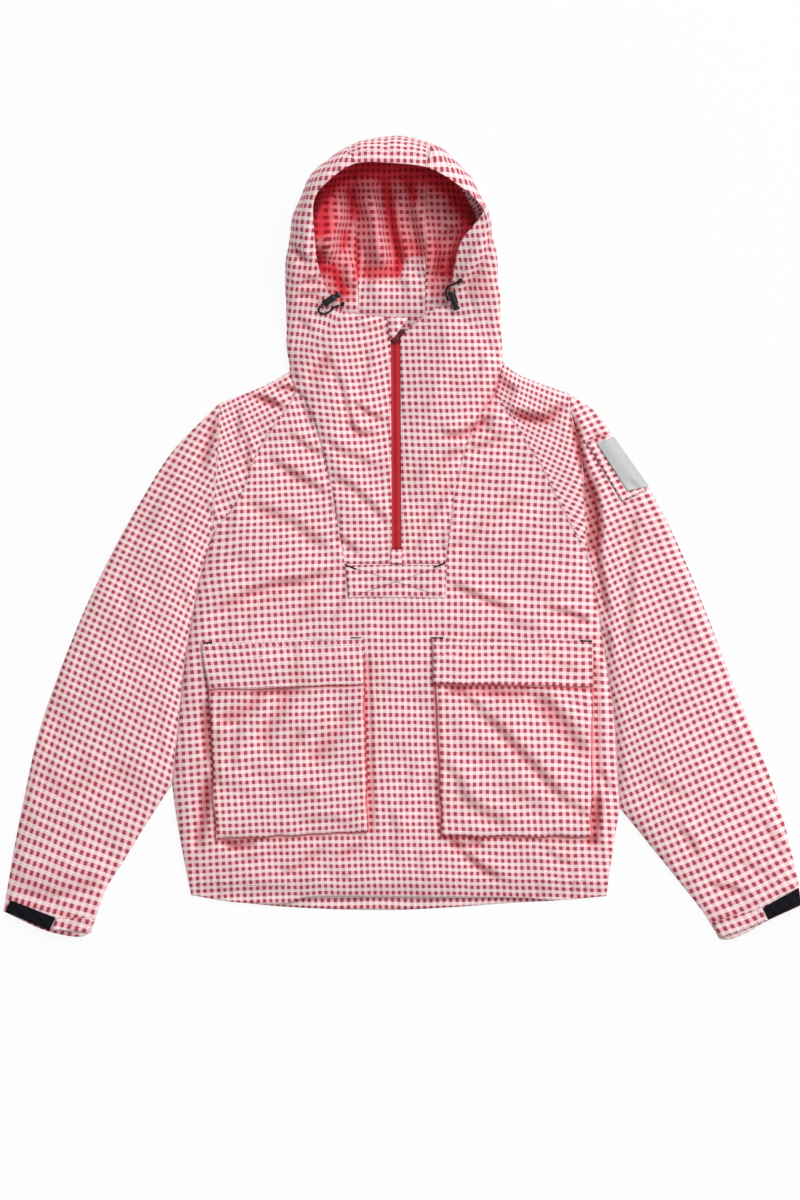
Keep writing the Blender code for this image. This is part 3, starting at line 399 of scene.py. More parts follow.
EDGES: dict[Side, dict[str, Route]] = {
    Side.RIGHT: {
        "shoulder": (RIGHT_SHOULDER_TIP, (-0.189, 0.258), (-0.158, 0.271), RIGHT_SHOULDER),
        "armhole": (RIGHT_SHOULDER_TIP, (-0.2215, 0.210), (-0.224, 0.166), (-0.228, 0.120), RIGHT_ARMPIT),
        "raglan": (
            RIGHT_NECK_JOIN, (-0.135, 0.240), (-0.160, 0.206), (-0.178, 0.172), (-0.195, 0.129), RIGHT_ARMPIT,
        ),
        "placket": (RIGHT_YOKE_TOP, (-0.100, 0.216), (-0.081, 0.140), (-0.073, 0.096), RIGHT_YOKE_BASE),
        "side_top": (RIGHT_ARMPIT, (-0.237, 0.058), RIGHT_CHEST_BASE),
        "side_upper": (RIGHT_CHEST_BASE, (-0.264, -0.076), (-0.271, -0.144), RIGHT_SPLIT),
        "side_lower": (RIGHT_SPLIT, (-0.274, -0.275), (-0.265, -0.325), RIGHT_HEM),
        "sleeve_outer": (
            RIGHT_SHOULDER_TIP, (-0.278, 0.188), (-0.315, 0.131), (-0.351, 0.067), (-0.389, -0.011),
            (-0.426, -0.104), (-0.449, -0.174), (-0.465, -0.247), (-0.476, -0.302), (-0.488, -0.372),
            (-0.491, -0.389),
        ),
        "sleeve_lower": (
            RIGHT_SPLIT, (-0.315, -0.285), (-0.343, -0.331), (-0.361, -0.359), (-0.373, -0.391), (-0.381, -0.416),
        ),
        "cuff": ((-0.491, -0.389), (-0.468, -0.400), (-0.435, -0.414), (-0.398, -0.421), (-0.381, -0.416)),
        "neck": ((-0.064, 0.360), (-0.046, 0.357), (-0.029, 0.355), (-0.0068, 0.352)),
    },
    Side.LEFT: {
        "shoulder": (LEFT_SHOULDER_TIP, (0.199, 0.264), (0.174, 0.273), (0.147, 0.285), LEFT_SHOULDER),
        "armhole": (
            LEFT_SHOULDER_TIP, (0.219, 0.232), (0.228, 0.197), (0.234, 0.156), (0.236, 0.105), LEFT_ARMPIT,
        ),
        "raglan": (LEFT_NECK_JOIN, (0.136, 0.240), (0.150, 0.216), (0.181, 0.168), (0.201, 0.127), LEFT_ARMPIT),
        "placket": (LEFT_YOKE_TOP, (0.094, 0.210), (0.077, 0.151), (0.066, 0.080), LEFT_YOKE_BASE),
        "side_top": (LEFT_ARMPIT, (0.244, 0.035), LEFT_CHEST_BASE),
        "side_upper": (LEFT_CHEST_BASE, (0.264, -0.086), (0.273, -0.150), LEFT_SPLIT),
        "side_lower": (LEFT_SPLIT, (0.275, -0.288), (0.270, -0.320), LEFT_HEM),
        "sleeve_outer": (
            LEFT_SHOULDER_TIP, (0.251, 0.234), (0.274, 0.201), (0.316, 0.141), (0.352, 0.071), (0.390, -0.021),
            (0.427, -0.118), (0.464, -0.211), (0.482, -0.266), (0.496, -0.321), (0.509, -0.381),
        ),
        "sleeve_lower": (
            LEFT_SPLIT, (0.311, -0.299), (0.344, -0.340), (0.375, -0.379), (0.388, -0.397), (0.404, -0.424),
        ),
        "cuff": ((0.509, -0.381), (0.464, -0.401), (0.440, -0.415), (0.417, -0.424), (0.404, -0.424)),
        "neck": ((0.064, 0.370), (0.046, 0.362), (0.026, 0.348), (0.0052, 0.327)),
    },
}
FRONT_HEM: Route = (
    RIGHT_HEM, (-0.199, -0.378), (-0.140, -0.379), (-0.104, -0.371), (0.005, -0.371), (0.147, -0.372),
    (0.204, -0.375), LEFT_HEM,
)
BACK_HEM: Route = (
    RIGHT_HEM, (-0.199, -0.379), (-0.140, -0.385), (-0.066, -0.3885), (0.005, -0.389), (0.081, -0.385),
    (0.147, -0.380), (0.204, -0.377), LEFT_HEM,
)
BACK_NECK: Route = (
    (-0.129, 0.289), (-0.108, 0.313), (-0.075, 0.328), (-0.030, 0.335), (0.030, 0.336), (0.075, 0.332),
    (0.109, 0.320), (0.130, 0.301),
)


@dataclass
class Seams:
    """The shared points of each seam on one side, so that neighbours meet along the same line."""

    side: Side
    raglan_cells: int = 76
    armhole_cells: int = 64
    side_top_cells: int = 12
    side_upper_cells: int = 84
    side_lower_cells: int = 46
    sleeve_lower_cells: int = 60
    lines: dict[str, Points] = field(default_factory=dict)

    def __post_init__(self) -> None:
        """Samples each edge."""
        edges = EDGES[self.side]
        side_top = even(edges["side_top"], self.side_top_cells)
        side_upper = even(edges["side_upper"], self.side_upper_cells)
        side_lower = even(edges["side_lower"], self.side_lower_cells)
        sleeve_lower = even(edges["sleeve_lower"], self.sleeve_lower_cells)
        self.lines = {
            "armhole": sample(edges["armhole"], bunched(self.armhole_cells, 1, 1)),
            "raglan": even(edges["raglan"], self.raglan_cells),
            "shoulder": even(edges["shoulder"], self.raglan_cells),
            "placket": even(edges["placket"], self.raglan_cells + self.side_top_cells),
            "side_top": side_top,
            "side": np.vstack([side_upper, side_lower[1:]]),
            "sleeve_inner": np.vstack([side_top, side_upper[1:], sleeve_lower[1:]]),
        }

    def __getitem__(self, name: str) -> Points:
        """The points of a seam."""
        return self.lines[name]


@dataclass
class LaidForm:
    """The height of the laid garment's upper layer, with its creases."""

    fold_z: float = 0.0030  # outer height where the cloth folds over
    roll: float = 0.018  # the width over which it rolls down there
    sink: tuple[float, float] = (0.0030, 0.085)  # how much lower it lies beside the folds, and how far in
    hem_drop: float = 0.0062  # the front hem lies down on the back
    deepest: float = 0.009  # of its creases
    crown_y: tuple[float, ...] = (-0.43, -0.37, -0.25, 0.05, 0.20, 0.30)
    crown_z: tuple[float, ...] = (0.0105, 0.0115, 0.0145, 0.0145, 0.0145, 0.0150)
    creases: tuple[Crease, ...] = ()
    starts: Points = field(init=False)
    ends: Points = field(init=False)

    def __post_init__(self) -> None:
        """Gathers every line where the garment folds over."""
        folded = ("shoulder", "sleeve_outer", "side_top", "side_upper", "side_lower", "sleeve_lower")
        curves = [smooth_curve(EDGES[side][name]) for side in Side for name in folded]
        curves = [np.vstack([curve[::3], curve[-1:]]) for curve in curves]
        self.starts = np.vstack([curve[:-1] for curve in curves])
        self.ends = np.vstack([curve[1:] for curve in curves])

    def to_fold(self, plan: Points) -> Points:
        """Distance in plan to the nearest fold edge, at each of the plan points.

        Args:
            plan: the points in plan.
        Returns:
            The distances.
        """
        run = self.ends - self.starts
        size = np.maximum((run**2).sum(-1), TINY)
        x, y = plan[..., 0].ravel(), plan[..., 1].ravel()
        best = np.full(x.shape, np.inf)
        for (sx, sy), (rx, ry), length in zip(self.starts, run, size):
            share = np.clip(((x - sx) * rx + (y - sy) * ry) / length, 0, 1)
            best = np.minimum(best, (x - sx - share * rx) ** 2 + (y - sy - share * ry) ** 2)
        return np.sqrt(best).reshape(plan.shape[:-1])

    def plain(self, plan: Points) -> Points:
        """Outer height of the upper layer before it creases, at each of the plan points.

        Args:
            plan: the points in plan.
        Returns:
            The heights.
        """
        x, y = plan[..., 0], plan[..., 1]
        away = self.to_fold(plan)
        share = np.clip(away / self.roll, 0, 1)
        crown = np.interp(y, self.crown_y, self.crown_z)
        crown -= self.sink[0] * (1 - np.clip(away / self.sink[1], 0, 1)) ** 2
        crown -= self.hem_drop * rise(-0.350, -0.372, y) * (np.abs(x) < 0.27)
        return self.fold_z + (crown - self.fold_z) * np.sqrt(1 - (1 - share) ** 2)

    def relief(self, plan: Points) -> Points:
        """How far its creases lift or lower it, at each of the plan points.

        Args:
            plan: the points in plan.
        Returns:
            The heights to add.
        """
        share = np.clip(self.to_fold(plan) / self.roll, 0, 1)
        total = creased(self.creases, plan) + ripples(plan, 0.075, 3) * 0.0007 + ripples(plan, 0.028, 5) * 0.00022
        return np.maximum(total, -self.deepest) * np.sqrt(share) * np.sqrt(1 - (1 - share) ** 2)

    def raised(self, plan: Points) -> Points:
        """Plan points set on the upper layer before it creases."""
        return np.concatenate([plan[..., :2], self.plain(plan)[..., None]], axis=-1)

    def patch(self, plan: Points, counts: Points) -> Patch:
        """Plan points, with their check counts, set on the creased upper layer, with painted red light and painted
        shade in the valleys.

        Args:
            plan: the points in plan.
            counts: the check's counts at them.
        Returns:
            The patch.
        """
        relief = self.relief(plan)
        points = self.raised(plan)
        points[..., 2] += relief
        return Patch(points, counts, valley_painted_shading(relief, plan[..., :2]))


# ---------------------------------------------------------------- how the check runs


@dataclass(frozen=True)
class Grain:
    """How the check's columns and rows run over one piece: counts as polynomials of x and y in metres.

    Terms are x, y, x2, xy, y2, x3, x2y, xy2, y3. Outside reach, (low, high) in x and y, it runs on straight.
    """

    columns: tuple[float, ...]
    rows: tuple[float, ...]
    reach: tuple[float, float, float, float]

    @staticmethod
    def _count(terms: tuple[float, ...], x: Points, y: Points) -> Points:
        """One polynomial."""
        powers = (x, y, x * x, x * y, y * y, x**3, x * x * y, x * y * y, y**3)
        return sum(term * power for term, power in zip(terms, powers))

    def at(self, plan: Points) -> Points:
        """Column and row counts of the check.

        Args:
            plan: the points, whose first two values are x and y.
        Returns:
            The counts, (..., 2).
        """
        x, y = plan[..., 0], plan[..., 1]
        low_x, high_x, low_y, high_y = self.reach
        cx, cy = np.clip(x, low_x, high_x), np.clip(y, low_y, high_y)
        found = []
        step = 1e-4
        for terms in (self.columns, self.rows):
            here = self._count(terms, cx, cy)
            slope_x = (self._count(terms, cx + step, cy) - self._count(terms, cx - step, cy)) / (2 * step)
            slope_y = (self._count(terms, cx, cy + step) - self._count(terms, cx, cy - step)) / (2 * step)
            found.append(here + slope_x * (x - cx) + slope_y * (y - cy))
        counts = np.stack(found, axis=-1)
        return counts + np.stack([ripples(plan, 0.07, 11) * 0.055, ripples(plan, 0.06, 12) * 0.05], axis=-1)


GRAINS: dict[str, Grain] = {
    "front": Grain(
        (130.1, 2.7, -3.9, -19.7, -12.5, -101.1, 6.4, -39.8, -13.4),
        (-0.4, 109.2, 15.5, -3.1, 16.0, -18.1, 8.7, -0.8, 55.6),
        (-0.26, 0.26, -0.38, 0.06),
    ),
    "chest_right": Grain(
        (134.3, -6.5, 20.5, -144.8, 22.9, -154.7, -549.7, 496.3, 290.3),
        (-17.9, 97.9, -117.4, -148.4, 83.0, -315.3, -370.3, 129.8, -248.0),
        (-0.235, -0.08, 0.03, 0.235),
    ),
    "chest_left": Grain(
        (140.0, 0.9, -122.6, -6.2, -46.2, 230.2, -16.5, 143.7, 15.8),
        (17.3, 108.5, -124.8, 15.1, -14.4, 333.1, -98.8, 228.9, -14.2),
        (0.08, 0.235, 0.03, 0.235),
    ),
    "yoke_right": Grain(
        (119.3, -3.6, -28.0, 123.3, 66.3, -518.8, -15.0, -233.2, -54.7),
        (-4.2, 114.0, -113.8, -110.6, 26.0, -569.5, -1028.5, -123.8, -95.3),
        (-0.095, -0.012, 0.06, 0.24),
    ),
    "yoke_left": Grain((132.0, 9.0), (0.5, 116.0), (0.0, 0.12, 0.04, 0.4)),
    "shoulder_right": Grain(
        (-12.7, 82.6, -271.9, 183.8, 15.0), (25.3, 6.2, 50.2, -292.5, 134.3), (-0.225, -0.14, 0.11, 0.27)
    ),
    "shoulder_left": Grain(
        (54.3, -190.4, -43.0, 453.2, 162.8), (239.3, 222.7, -316.6, -280.2, -81.3), (0.14, 0.23, 0.11, 0.27)
    ),
    "sleeve_right": Grain(
        (246.8, -52.7, 365.9, 13.6, -110.5, 328.4, 91.2, -220.5, -14.0),
        (119.0, 92.8, 160.1, -45.3, -75.7, 124.9, -22.9, -274.3, -22.3),
        (-0.48, -0.24, -0.28, 0.2),
    ),
    "sleeve_left": Grain(
        (172.9, 49.4, -44.4, 101.6, 105.5, -127.8, -372.4, -370.5, -30.0),
        (-89.7, 120.4, 55.1, -157.7, -46.7, 33.3, 333.8, 266.5, 46.9),
        (0.24, 0.49, -0.39, 0.2),
    ),
    "pocket_right": Grain(
        (149.2, -18.6, 84.1, 107.2, -123.5, 93.2, 98.7, 214.3, -205.8),
        (-3.2, 148.0, -59.4, 90.8, 175.6, -126.6, 24.7, 160.3, 284.7),
        (-0.22, -0.045, -0.28, -0.1),
    ),
    "pocket_left": Grain(
        (139.9, 44.3, 3.6, 134.6, 246.3, -236.7, -382.2, 56.3, 409.2),
        (5.6, 158.0, -97.0, -71.6, 235.8, 333.7, 187.7, -66.0, 360.6),
        (0.055, 0.235, -0.28, -0.1),
    ),
    "flap_right": Grain(
        (127.6, 4.3, 32.5, -61.9, 2.3), (-1.6, 107.1, 7.6, 15.1, -13.4), (-0.25, -0.03, -0.12, -0.04),
    ),
    "flap_left": Grain((136.3, 2.4, -55.2, 18.7, 34.1), (0.7, 110.7, 6.4, 17.4, 7.7), (0.04, 0.25, -0.12, -0.04)),
}


def grain_over(points: Points, along: Points, fixed: Points | None = None, rounds: int = 500) -> Points:
    """Counts of the check over a curved grid, as near to the cloth's own spacing as the form allows.

    Args:
        points: the grid, (rows, columns, 3).
        along: the direction of the check's columns at each point, (rows, columns, 3).
        fixed: counts to keep, with NaN where they are free, (rows, columns, 2).
        rounds: how many steps the solution may take.
    Returns:
        The counts, (rows, columns, 2).
    """
    normal = normals_of(points)
    up = unit(along - (along * normal).sum(-1, keepdims=True) * normal)
    across = np.cross(up, normal)
    targets = []
    every, first, last = slice(None), slice(None, -1), slice(1, None)
    halves = (((first,), (last,)), ((every, first), (every, last)))
    for axis, (first, second) in enumerate(halves):
        step = np.diff(points, axis=axis) * 0.5
        ways = [(step * (way[first] + way[second])).sum(-1) for way in (across, up)]
        targets.append(np.stack(ways, axis=-1) * CHECKS_PER_M)
    free = np.ones(points.shape[:2] + (1,)) if fixed is None else np.isnan(fixed[..., :1]).astype(float)
    counts = np.zeros(points.shape[:2] + (2,)) if fixed is None else np.nan_to_num(fixed)

    def pull(field_: Points, aims: bool) -> Points:
        """Sum over a point's grid edges of how far each is from its aim.

        Args:
            field_: a value at each point.
            aims: whether the grid's lengths count as aims.
        Returns:
            The sum at each point.
        """
        total = np.zeros_like(field_)
        for axis, (first, second) in enumerate(halves):
            off = np.diff(field_, axis=axis) - (targets[axis] if aims else 0)
            total[first] -= off
            total[second] += off
        return total * free

    left = -pull(counts, True)
    move = left.copy()
    power = (left * left).sum((0, 1))
    for _ in range(rounds):
        spread = pull(move, False)
        pace = power / np.maximum((move * spread).sum((0, 1)), 1e-20)
        counts = counts + pace * move
        left = left - pace * spread
        fresh = (left * left).sum((0, 1))
        if fresh.max() < 1e-9:
            break
        move = left + (fresh / np.maximum(power, 1e-20)) * move
        power = fresh
    return counts


# ---------------------------------------------------------------- finishes

Colour = tuple[float, float, float]
Input = float | tuple[float, ...] | bpy.types.NodeSocket
BLACK: Colour = (0.0, 0.0, 0.0)


class Shader:
    """One node material, built node by node."""

    def __init__(self, name: str, roughness: float, colour: Colour = (0.8, 0.8, 0.8)) -> None:
        """Starts from a Principled shader of one roughness and colour.

        Args:
            name: the material's name.
            roughness: its roughness.
            colour: its plain colour.
        """
        self.material = bpy.data.materials.new(name)
        self.material.use_nodes = True
        self.tree = self.material.node_tree
        self.bsdf = self.tree.nodes["Principled BSDF"]
        self.bsdf.inputs["Roughness"].default_value = roughness
        self.bsdf.inputs["Base Color"].default_value = (*colour, 1)

    def node(self, kind: str, inputs: dict[str | int, Input] | None = None, **settings: object) -> bpy.types.Node:
        """A node with its settings made and its inputs set or linked.

        Args:
            kind: its type, without the ShaderNode in front.
            inputs: values or sockets, by the input's name or place.
            **settings: its other settings.
        Returns:
            The node.
        """
        made = self.tree.nodes.new("ShaderNode" + kind)
        for key, value in settings.items():
            setattr(made, key, value)
        for key, value in (inputs or {}).items():
            self.feed(made.inputs[key], value)
        return made

    def feed(self, socket: bpy.types.NodeSocket, value: Input) -> None:
        """Links a socket or sets its value.

        Args:
            socket: the input.
            value: a socket to link or a value to set.
        """
        if isinstance(value, bpy.types.NodeSocket):
            self.tree.links.new(value, socket)
        elif isinstance(value, tuple) and len(value) == 3 and socket.type == "RGBA":
            socket.default_value = (*value, 1)
        else:
            socket.default_value = value

    def math(self, operation: str, *values: Input) -> bpy.types.NodeSocket:
        """The result of a Math node."""
        return self.node("Math", dict(enumerate(values)), operation=operation).outputs[0]

    def mix(self, share: Input, first: Input, second: Input, blend: str = "MIX") -> bpy.types.NodeSocket:
        """The colour of a Mix node.

        Args:
            share: the share of the second colour.
            first: the first colour.
            second: the second colour.
            blend: how they blend.
        Returns:
            The mixed colour.
        """
        made = self.node("Mix", data_type="RGBA", blend_type=blend)
        for socket, value in ((made.inputs[0], share), (made.inputs[6], first), (made.inputs[7], second)):
            self.feed(socket, value)
        return made.outputs[2]

    def noise(self, scale: float, detail: float = 2.0, vector: Input | None = None) -> bpy.types.NodeSocket:
        """Noise around 0.5 over the object, or over a given vector."""
        where = self.node("TexCoord").outputs["Object"] if vector is None else vector
        return self.node("TexNoise", {"Vector": where, "Scale": scale, "Detail": detail}).outputs["Fac"]

    def ramp(self, value: Input, low: float, high: float, start: float = 0.0,
             end: float = 1.0) -> bpy.types.NodeSocket:
        """A soft step of value from start at low to end at high."""
        inputs = {"Value": value, "From Min": low, "From Max": high, "To Min": start, "To Max": end}
        return self.node("MapRange", inputs, interpolation_type="SMOOTHSTEP").outputs[0]

    def times(self, first: Input, second: Input) -> bpy.types.NodeSocket:
        """One value times another."""
        return self.math("MULTIPLY", first, second)

    def bump(self, height: Input, distance: float, strength: float) -> None:
        """Adds a bump over any that the shader's normal has already.

        Args:
            height: its height.
            distance: how far it stands, in metres.
            strength: its strength.
        """
        made = self.node("Bump", {"Height": height, "Distance": distance, "Strength": strength})
        normal = self.bsdf.inputs["Normal"]
        for below in [link.from_socket for link in normal.links]:
            self.feed(made.inputs["Normal"], below)
        self.feed(normal, made.outputs[0])

    def painted_shading(self) -> list[bpy.types.NodeSocket]:
        """The painted red light share and the painted shade that the mesh carries."""
        held = self.node("Attribute", attribute_name="painted_shading").outputs["Vector"]
        return list(self.node("SeparateXYZ", {0: held}).outputs)[:2]

    def finish(self, **values: Input) -> bpy.types.Material:
        """Links or sets the shader's own sockets, named with _ for a space, and gives the material.

        Args:
            **values: a value or a socket for each.
        Returns:
            The material.
        """
        for name, value in values.items():
            self.feed(self.bsdf.inputs[name.replace("_", " ")], value)
        return self.material


@dataclass(frozen=True)
class CheckedCloth:
    """Plain-woven cotton with dyed stripes both ways, which meet in dark squares."""

    name: str = "checked_cloth"
    ground: Colour = (0.93, 0.765, 0.765)
    column: Colour = (0.89, 0.575, 0.61)
    row: Colour = (0.90, 0.465, 0.52)
    square: Colour = (0.37, 0.056, 0.077)
    glow: Colour = (0.82, 0.055, 0.09)  # the colour of painted red light, as the cloth throws it on itself inside the hood
    column_half: float = 0.25
    row_half: float = 0.262
    soft: float = 0.024
    yarns: float = 13.0  # yarns to a check, each way

    def make(self) -> bpy.types.Material:
        """Builds the material.

        Returns:
            The material.
        """
        shader = Shader(self.name, 0.82)
        counts = shader.node("UVMap", uv_map="grain").outputs["UV"]
        split = shader.node("SeparateXYZ", {0: counts})
        weave = self._weave(shader, split)
        colour = shader.mix(1.0, self._stripes(shader, split), self._tones(shader, counts, weave), "MULTIPLY")
        # Painted red light and painted shade: the mesh's attribute tints the check towards glow and darkens it
        # towards black.
        glow, shade = shader.painted_shading()
        painted_red_lit = shader.mix(1.0, colour, self.glow, "MULTIPLY")
        colour = shader.mix(shade, shader.mix(glow, colour, painted_red_lit), BLACK)
        shader.bump(weave, 0.00010, 0.5)
        crinkle = shader.math("ADD", shader.noise(95.0, 3.0), shader.times(shader.noise(330.0, 2.0), 0.35))
        shader.bump(crinkle, 0.0011, 0.55)
        return shader.finish(
            Base_Color=colour, Roughness=shader.ramp(weave, 0.0, 1.0, 0.88, 0.76),
            Specular_IOR_Level=0.25, Sheen_Weight=0.08, Sheen_Roughness=0.5,
        )

    def _stripes(self, shader: Shader, split: bpy.types.Node) -> bpy.types.NodeSocket:
        """The check's colours, from its column and row counts.

        Args:
            shader: the shader it is built in.
            split: the node that parts the counts.
        Returns:
            The colour.
        """
        ragged = shader.times(shader.math("SUBTRACT", shader.noise(520.0, 1.0), 0.5), 0.10)
        stripes = []
        for axis, half in enumerate((self.column_half, self.row_half)):
            count = shader.math("ADD", split.outputs[axis], ragged)
            away = shader.math("ABSOLUTE", shader.math("SUBTRACT", shader.math("FRACT", count), 0.5))
            stripes.append(shader.ramp(away, half - self.soft, half + self.soft, 1.0, 0.0))
        tone = shader.mix(stripes[0], self.ground, self.column)
        crossed = shader.mix(stripes[0], self.row, self.square)
        return shader.mix(stripes[1], tone, crossed)

    def _tones(self, shader: Shader, counts: Input, weave: Input) -> bpy.types.NodeSocket:
        """Greys for slubs, yarns a little paler or deeper than their neighbours, for the dye and for the weave.

        Args:
            shader: the shader it is built in.
            counts: the counts, as a vector.
            weave: the height of the weave.
        Returns:
            The factor of the colour.
        """
        slubs = []
        for scale in ((2.2, 0.10, 1.0), (0.10, 2.2, 1.0)):
            stretched = shader.node("Mapping", {"Vector": counts, "Scale": scale}).outputs[0]
            slubs.append(shader.noise(3.0, 3.0, stretched))
        slub = shader.ramp(shader.math("ADD", *slubs), 0.75, 1.25, 0.93, 1.05)
        patchy = shader.ramp(shader.noise(14.0, 2.0), 0.3, 0.7, 0.965, 1.03)
        shade = shader.times(shader.times(slub, patchy), shader.ramp(weave, 0.0, 1.0, 0.955, 1.035))
        return shader.node("CombineColor", {0: shade, 1: shade, 2: shade}).outputs[0]

    def _weave(self, shader: Shader, split: bpy.types.Node) -> bpy.types.NodeSocket:
        """Over and under of the yarns, from 0 to 1."""
        waves = [shader.math("SINE", shader.times(split.outputs[axis], self.yarns * math.pi)) for axis in (0, 1)]
        return shader.math("ADD", shader.times(shader.times(*waves), 0.5), 0.5)


@dataclass(frozen=True)
class Ribbed:
    """Woven tape, coil, hook tape or braid: ridges along one axis over a coloured ground."""

    name: str
    colour: Colour
    second: Colour
    roughness: float
    scale: float  # of the ground's mottling
    ridges: float  # to the metre
    lay: Lay = Lay.ACROSS
    depth: float = 0.00015
    sheen: float = 0.1
    gloss: float = 0.5

    def make(self) -> bpy.types.Material:
        """Builds the material.

        Returns:
            The material.
        """
        shader = Shader(self.name, self.roughness, self.colour)
        where = shader.node("TexCoord").outputs["Object"]
        wave = shader.node("TexWave", {"Vector": where, "Scale": self.ridges / 20, "Distortion": 0.6, "Detail": 1.0})
        wave.bands_direction = self.lay.value
        mottled = shader.ramp(shader.noise(self.scale, 3.0), 0.3, 0.7)
        share = shader.times(shader.math("ADD", mottled, wave.outputs["Fac"]), 0.5)
        # Painted shade: the mesh's attribute darkens the colour towards black.
        colour = shader.mix(shader.painted_shading()[1], shader.mix(share, self.second, self.colour), BLACK)
        shader.bump(share, self.depth, 0.8)
        return shader.finish(Base_Color=colour, Sheen_Weight=self.sheen, Specular_IOR_Level=self.gloss)


@dataclass(frozen=True)
class Moulded:
    """Smooth moulded plastic with a faint mottle and fine scuffs."""

    name: str
    colour: Colour
    roughness: float
    mottle: float = 0.15
    scuff: float = 0.00004

    def make(self) -> bpy.types.Material:
        """Builds the material.

        Returns:
            The material.
        """
        shader = Shader(self.name, self.roughness, self.colour)
        low, high = (tuple(value * (1 + turn * self.mottle) for value in self.colour) for turn in (-1, 1))
        spread = shader.ramp(shader.noise(240.0, 3.0), 0.3, 0.7, self.roughness - 0.05, self.roughness + 0.1)
        shader.bump(shader.noise(900.0, 2.0), self.scuff, 0.5)
        return shader.finish(Base_Color=shader.mix(shader.noise(60.0, 3.0), low, high), Roughness=spread)


class Finishes:
    """Every finish of the garment, made once."""

    def __init__(self) -> None:
        """Builds the materials."""
        self.check = CheckedCloth().make()
        self.tape = Ribbed("zip_tape", (0.64, 0.008, 0.026), (0.50, 0.006, 0.018), 0.7, 260.0, 1400.0).make()
        self.coil = Ribbed("zip_coil", (0.66, 0.018, 0.035), (0.48, 0.008, 0.022), 0.55, 300.0, 900.0).make()
        self.cord = Ribbed(
            "braided_cord", (0.008, 0.008, 0.009), (0.003, 0.003, 0.003), 0.6, 500.0, 900.0, Lay.SLANTED,
            sheen=0.0, gloss=0.3,
        ).make()
        self.hooks = Ribbed(
            "hook_tape", (0.011, 0.010, 0.014), (0.004, 0.004, 0.006), 0.9, 900.0, 800.0, Lay.SLANTED,
            0.0003, 0.0, 0.1,
        ).make()
        self.thread = Ribbed(
            "dark_thread", (0.085, 0.030, 0.042), (0.040, 0.014, 0.020), 0.7, 500.0, 1500.0, Lay.SLANTED,
        ).make()
        self.black_thread = Ribbed(
            "black_thread", (0.006, 0.006, 0.008), (0.002, 0.002, 0.003), 0.8, 500.0, 1500.0, Lay.SLANTED,
            0.0001, 0.0, 0.1,
        ).make()
        self.plastic = Moulded("black_plastic", (0.005, 0.005, 0.006), 0.28).make()
        self.patch = Moulded("grey_patch", (0.47, 0.48, 0.485), 0.42, 0.05, 0.00008).make()
        # The slider's red, made dark to stand for the shadow under the neck flap: its own colour with painted shade.
        self.slider = Moulded("slider_red_with_painted_shade", (0.13, 0.003, 0.008), 0.35).make()


# ---------------------------------------------------------------- meshes


@dataclass
class Patch:
    """A grid of cloth: its points, the check's counts at them and their painted red light and shade, (rows, columns,
    2).
    """

    points: Points
    counts: Points
    painted_shading: Points | None = None

    def turned(self) -> Patch:
        """The same patch with its columns in the other order, so that its faces point the other way."""
        painted_shading = None if self.painted_shading is None else self.painted_shading[:, ::-1]
        return Patch(self.points[:, ::-1], self.counts[:, ::-1], painted_shading)


def grid_faces(shape: tuple[int, ...], start: int) -> Points:
    """The four corners of each cell of a grid of (rows, columns) points, numbered from start.

    Args:
        shape: how many rows and columns of points.
        start: the number of the first point.
    Returns:
        The corners, one row for each cell.
    """
    index = start + np.arange(shape[0] * shape[1]).reshape(shape)
    corners = (index[:-1, :-1], index[1:, :-1], index[1:, 1:], index[:-1, 1:])
    return np.stack(corners, axis=-1).reshape(-1, 4)


def mesh_of(name: str, patches: list[Patch]) -> bpy.types.Mesh:
    """One mesh of the patches, joined where their points meet.

    Args:
        name: the mesh's name.
        patches: rows run down and columns to +X on a patch that faces up.
    Returns:
        The mesh, with the UV map "grain" and the attribute of painted red light and painted shade.
    """
    points, counts, painted_shading, faces = [], [], [], []
    start = 0
    for patch in patches:
        faces.append(grid_faces(patch.points.shape[:2], start))
        points.append(patch.points.reshape(-1, 3))
        counts.append(patch.counts.reshape(-1, 2))
        # Painted red light and painted shade of each point, none where the patch has none.
        glow = np.zeros_like(patch.counts) if patch.painted_shading is None else patch.painted_shading
        painted_shading.append(np.pad(glow.reshape(-1, 2), ((0, 0), (0, 1))))
        start += len(points[-1])
    mesh = bpy.data.meshes.new(name)
    mesh.from_pydata(np.vstack(points).tolist(), [], np.vstack(faces).tolist())
    grain = mesh.uv_layers.new(name="grain")
    grain.data.foreach_set("uv", np.vstack(counts)[np.vstack(faces).ravel()].astype(np.float32).ravel())
    layer = mesh.attributes.new("painted_shading", "FLOAT_VECTOR", "POINT")
    layer.data.foreach_set("vector", np.vstack(painted_shading).astype(np.float32).ravel())
    if len(patches) > 1:
        bm = bmesh.new()
        bm.from_mesh(mesh)
        bmesh.ops.remove_doubles(bm, verts=bm.verts, dist=2e-5)
        bm.to_mesh(mesh)
        bm.free()
    mesh.shade_smooth()
    return mesh


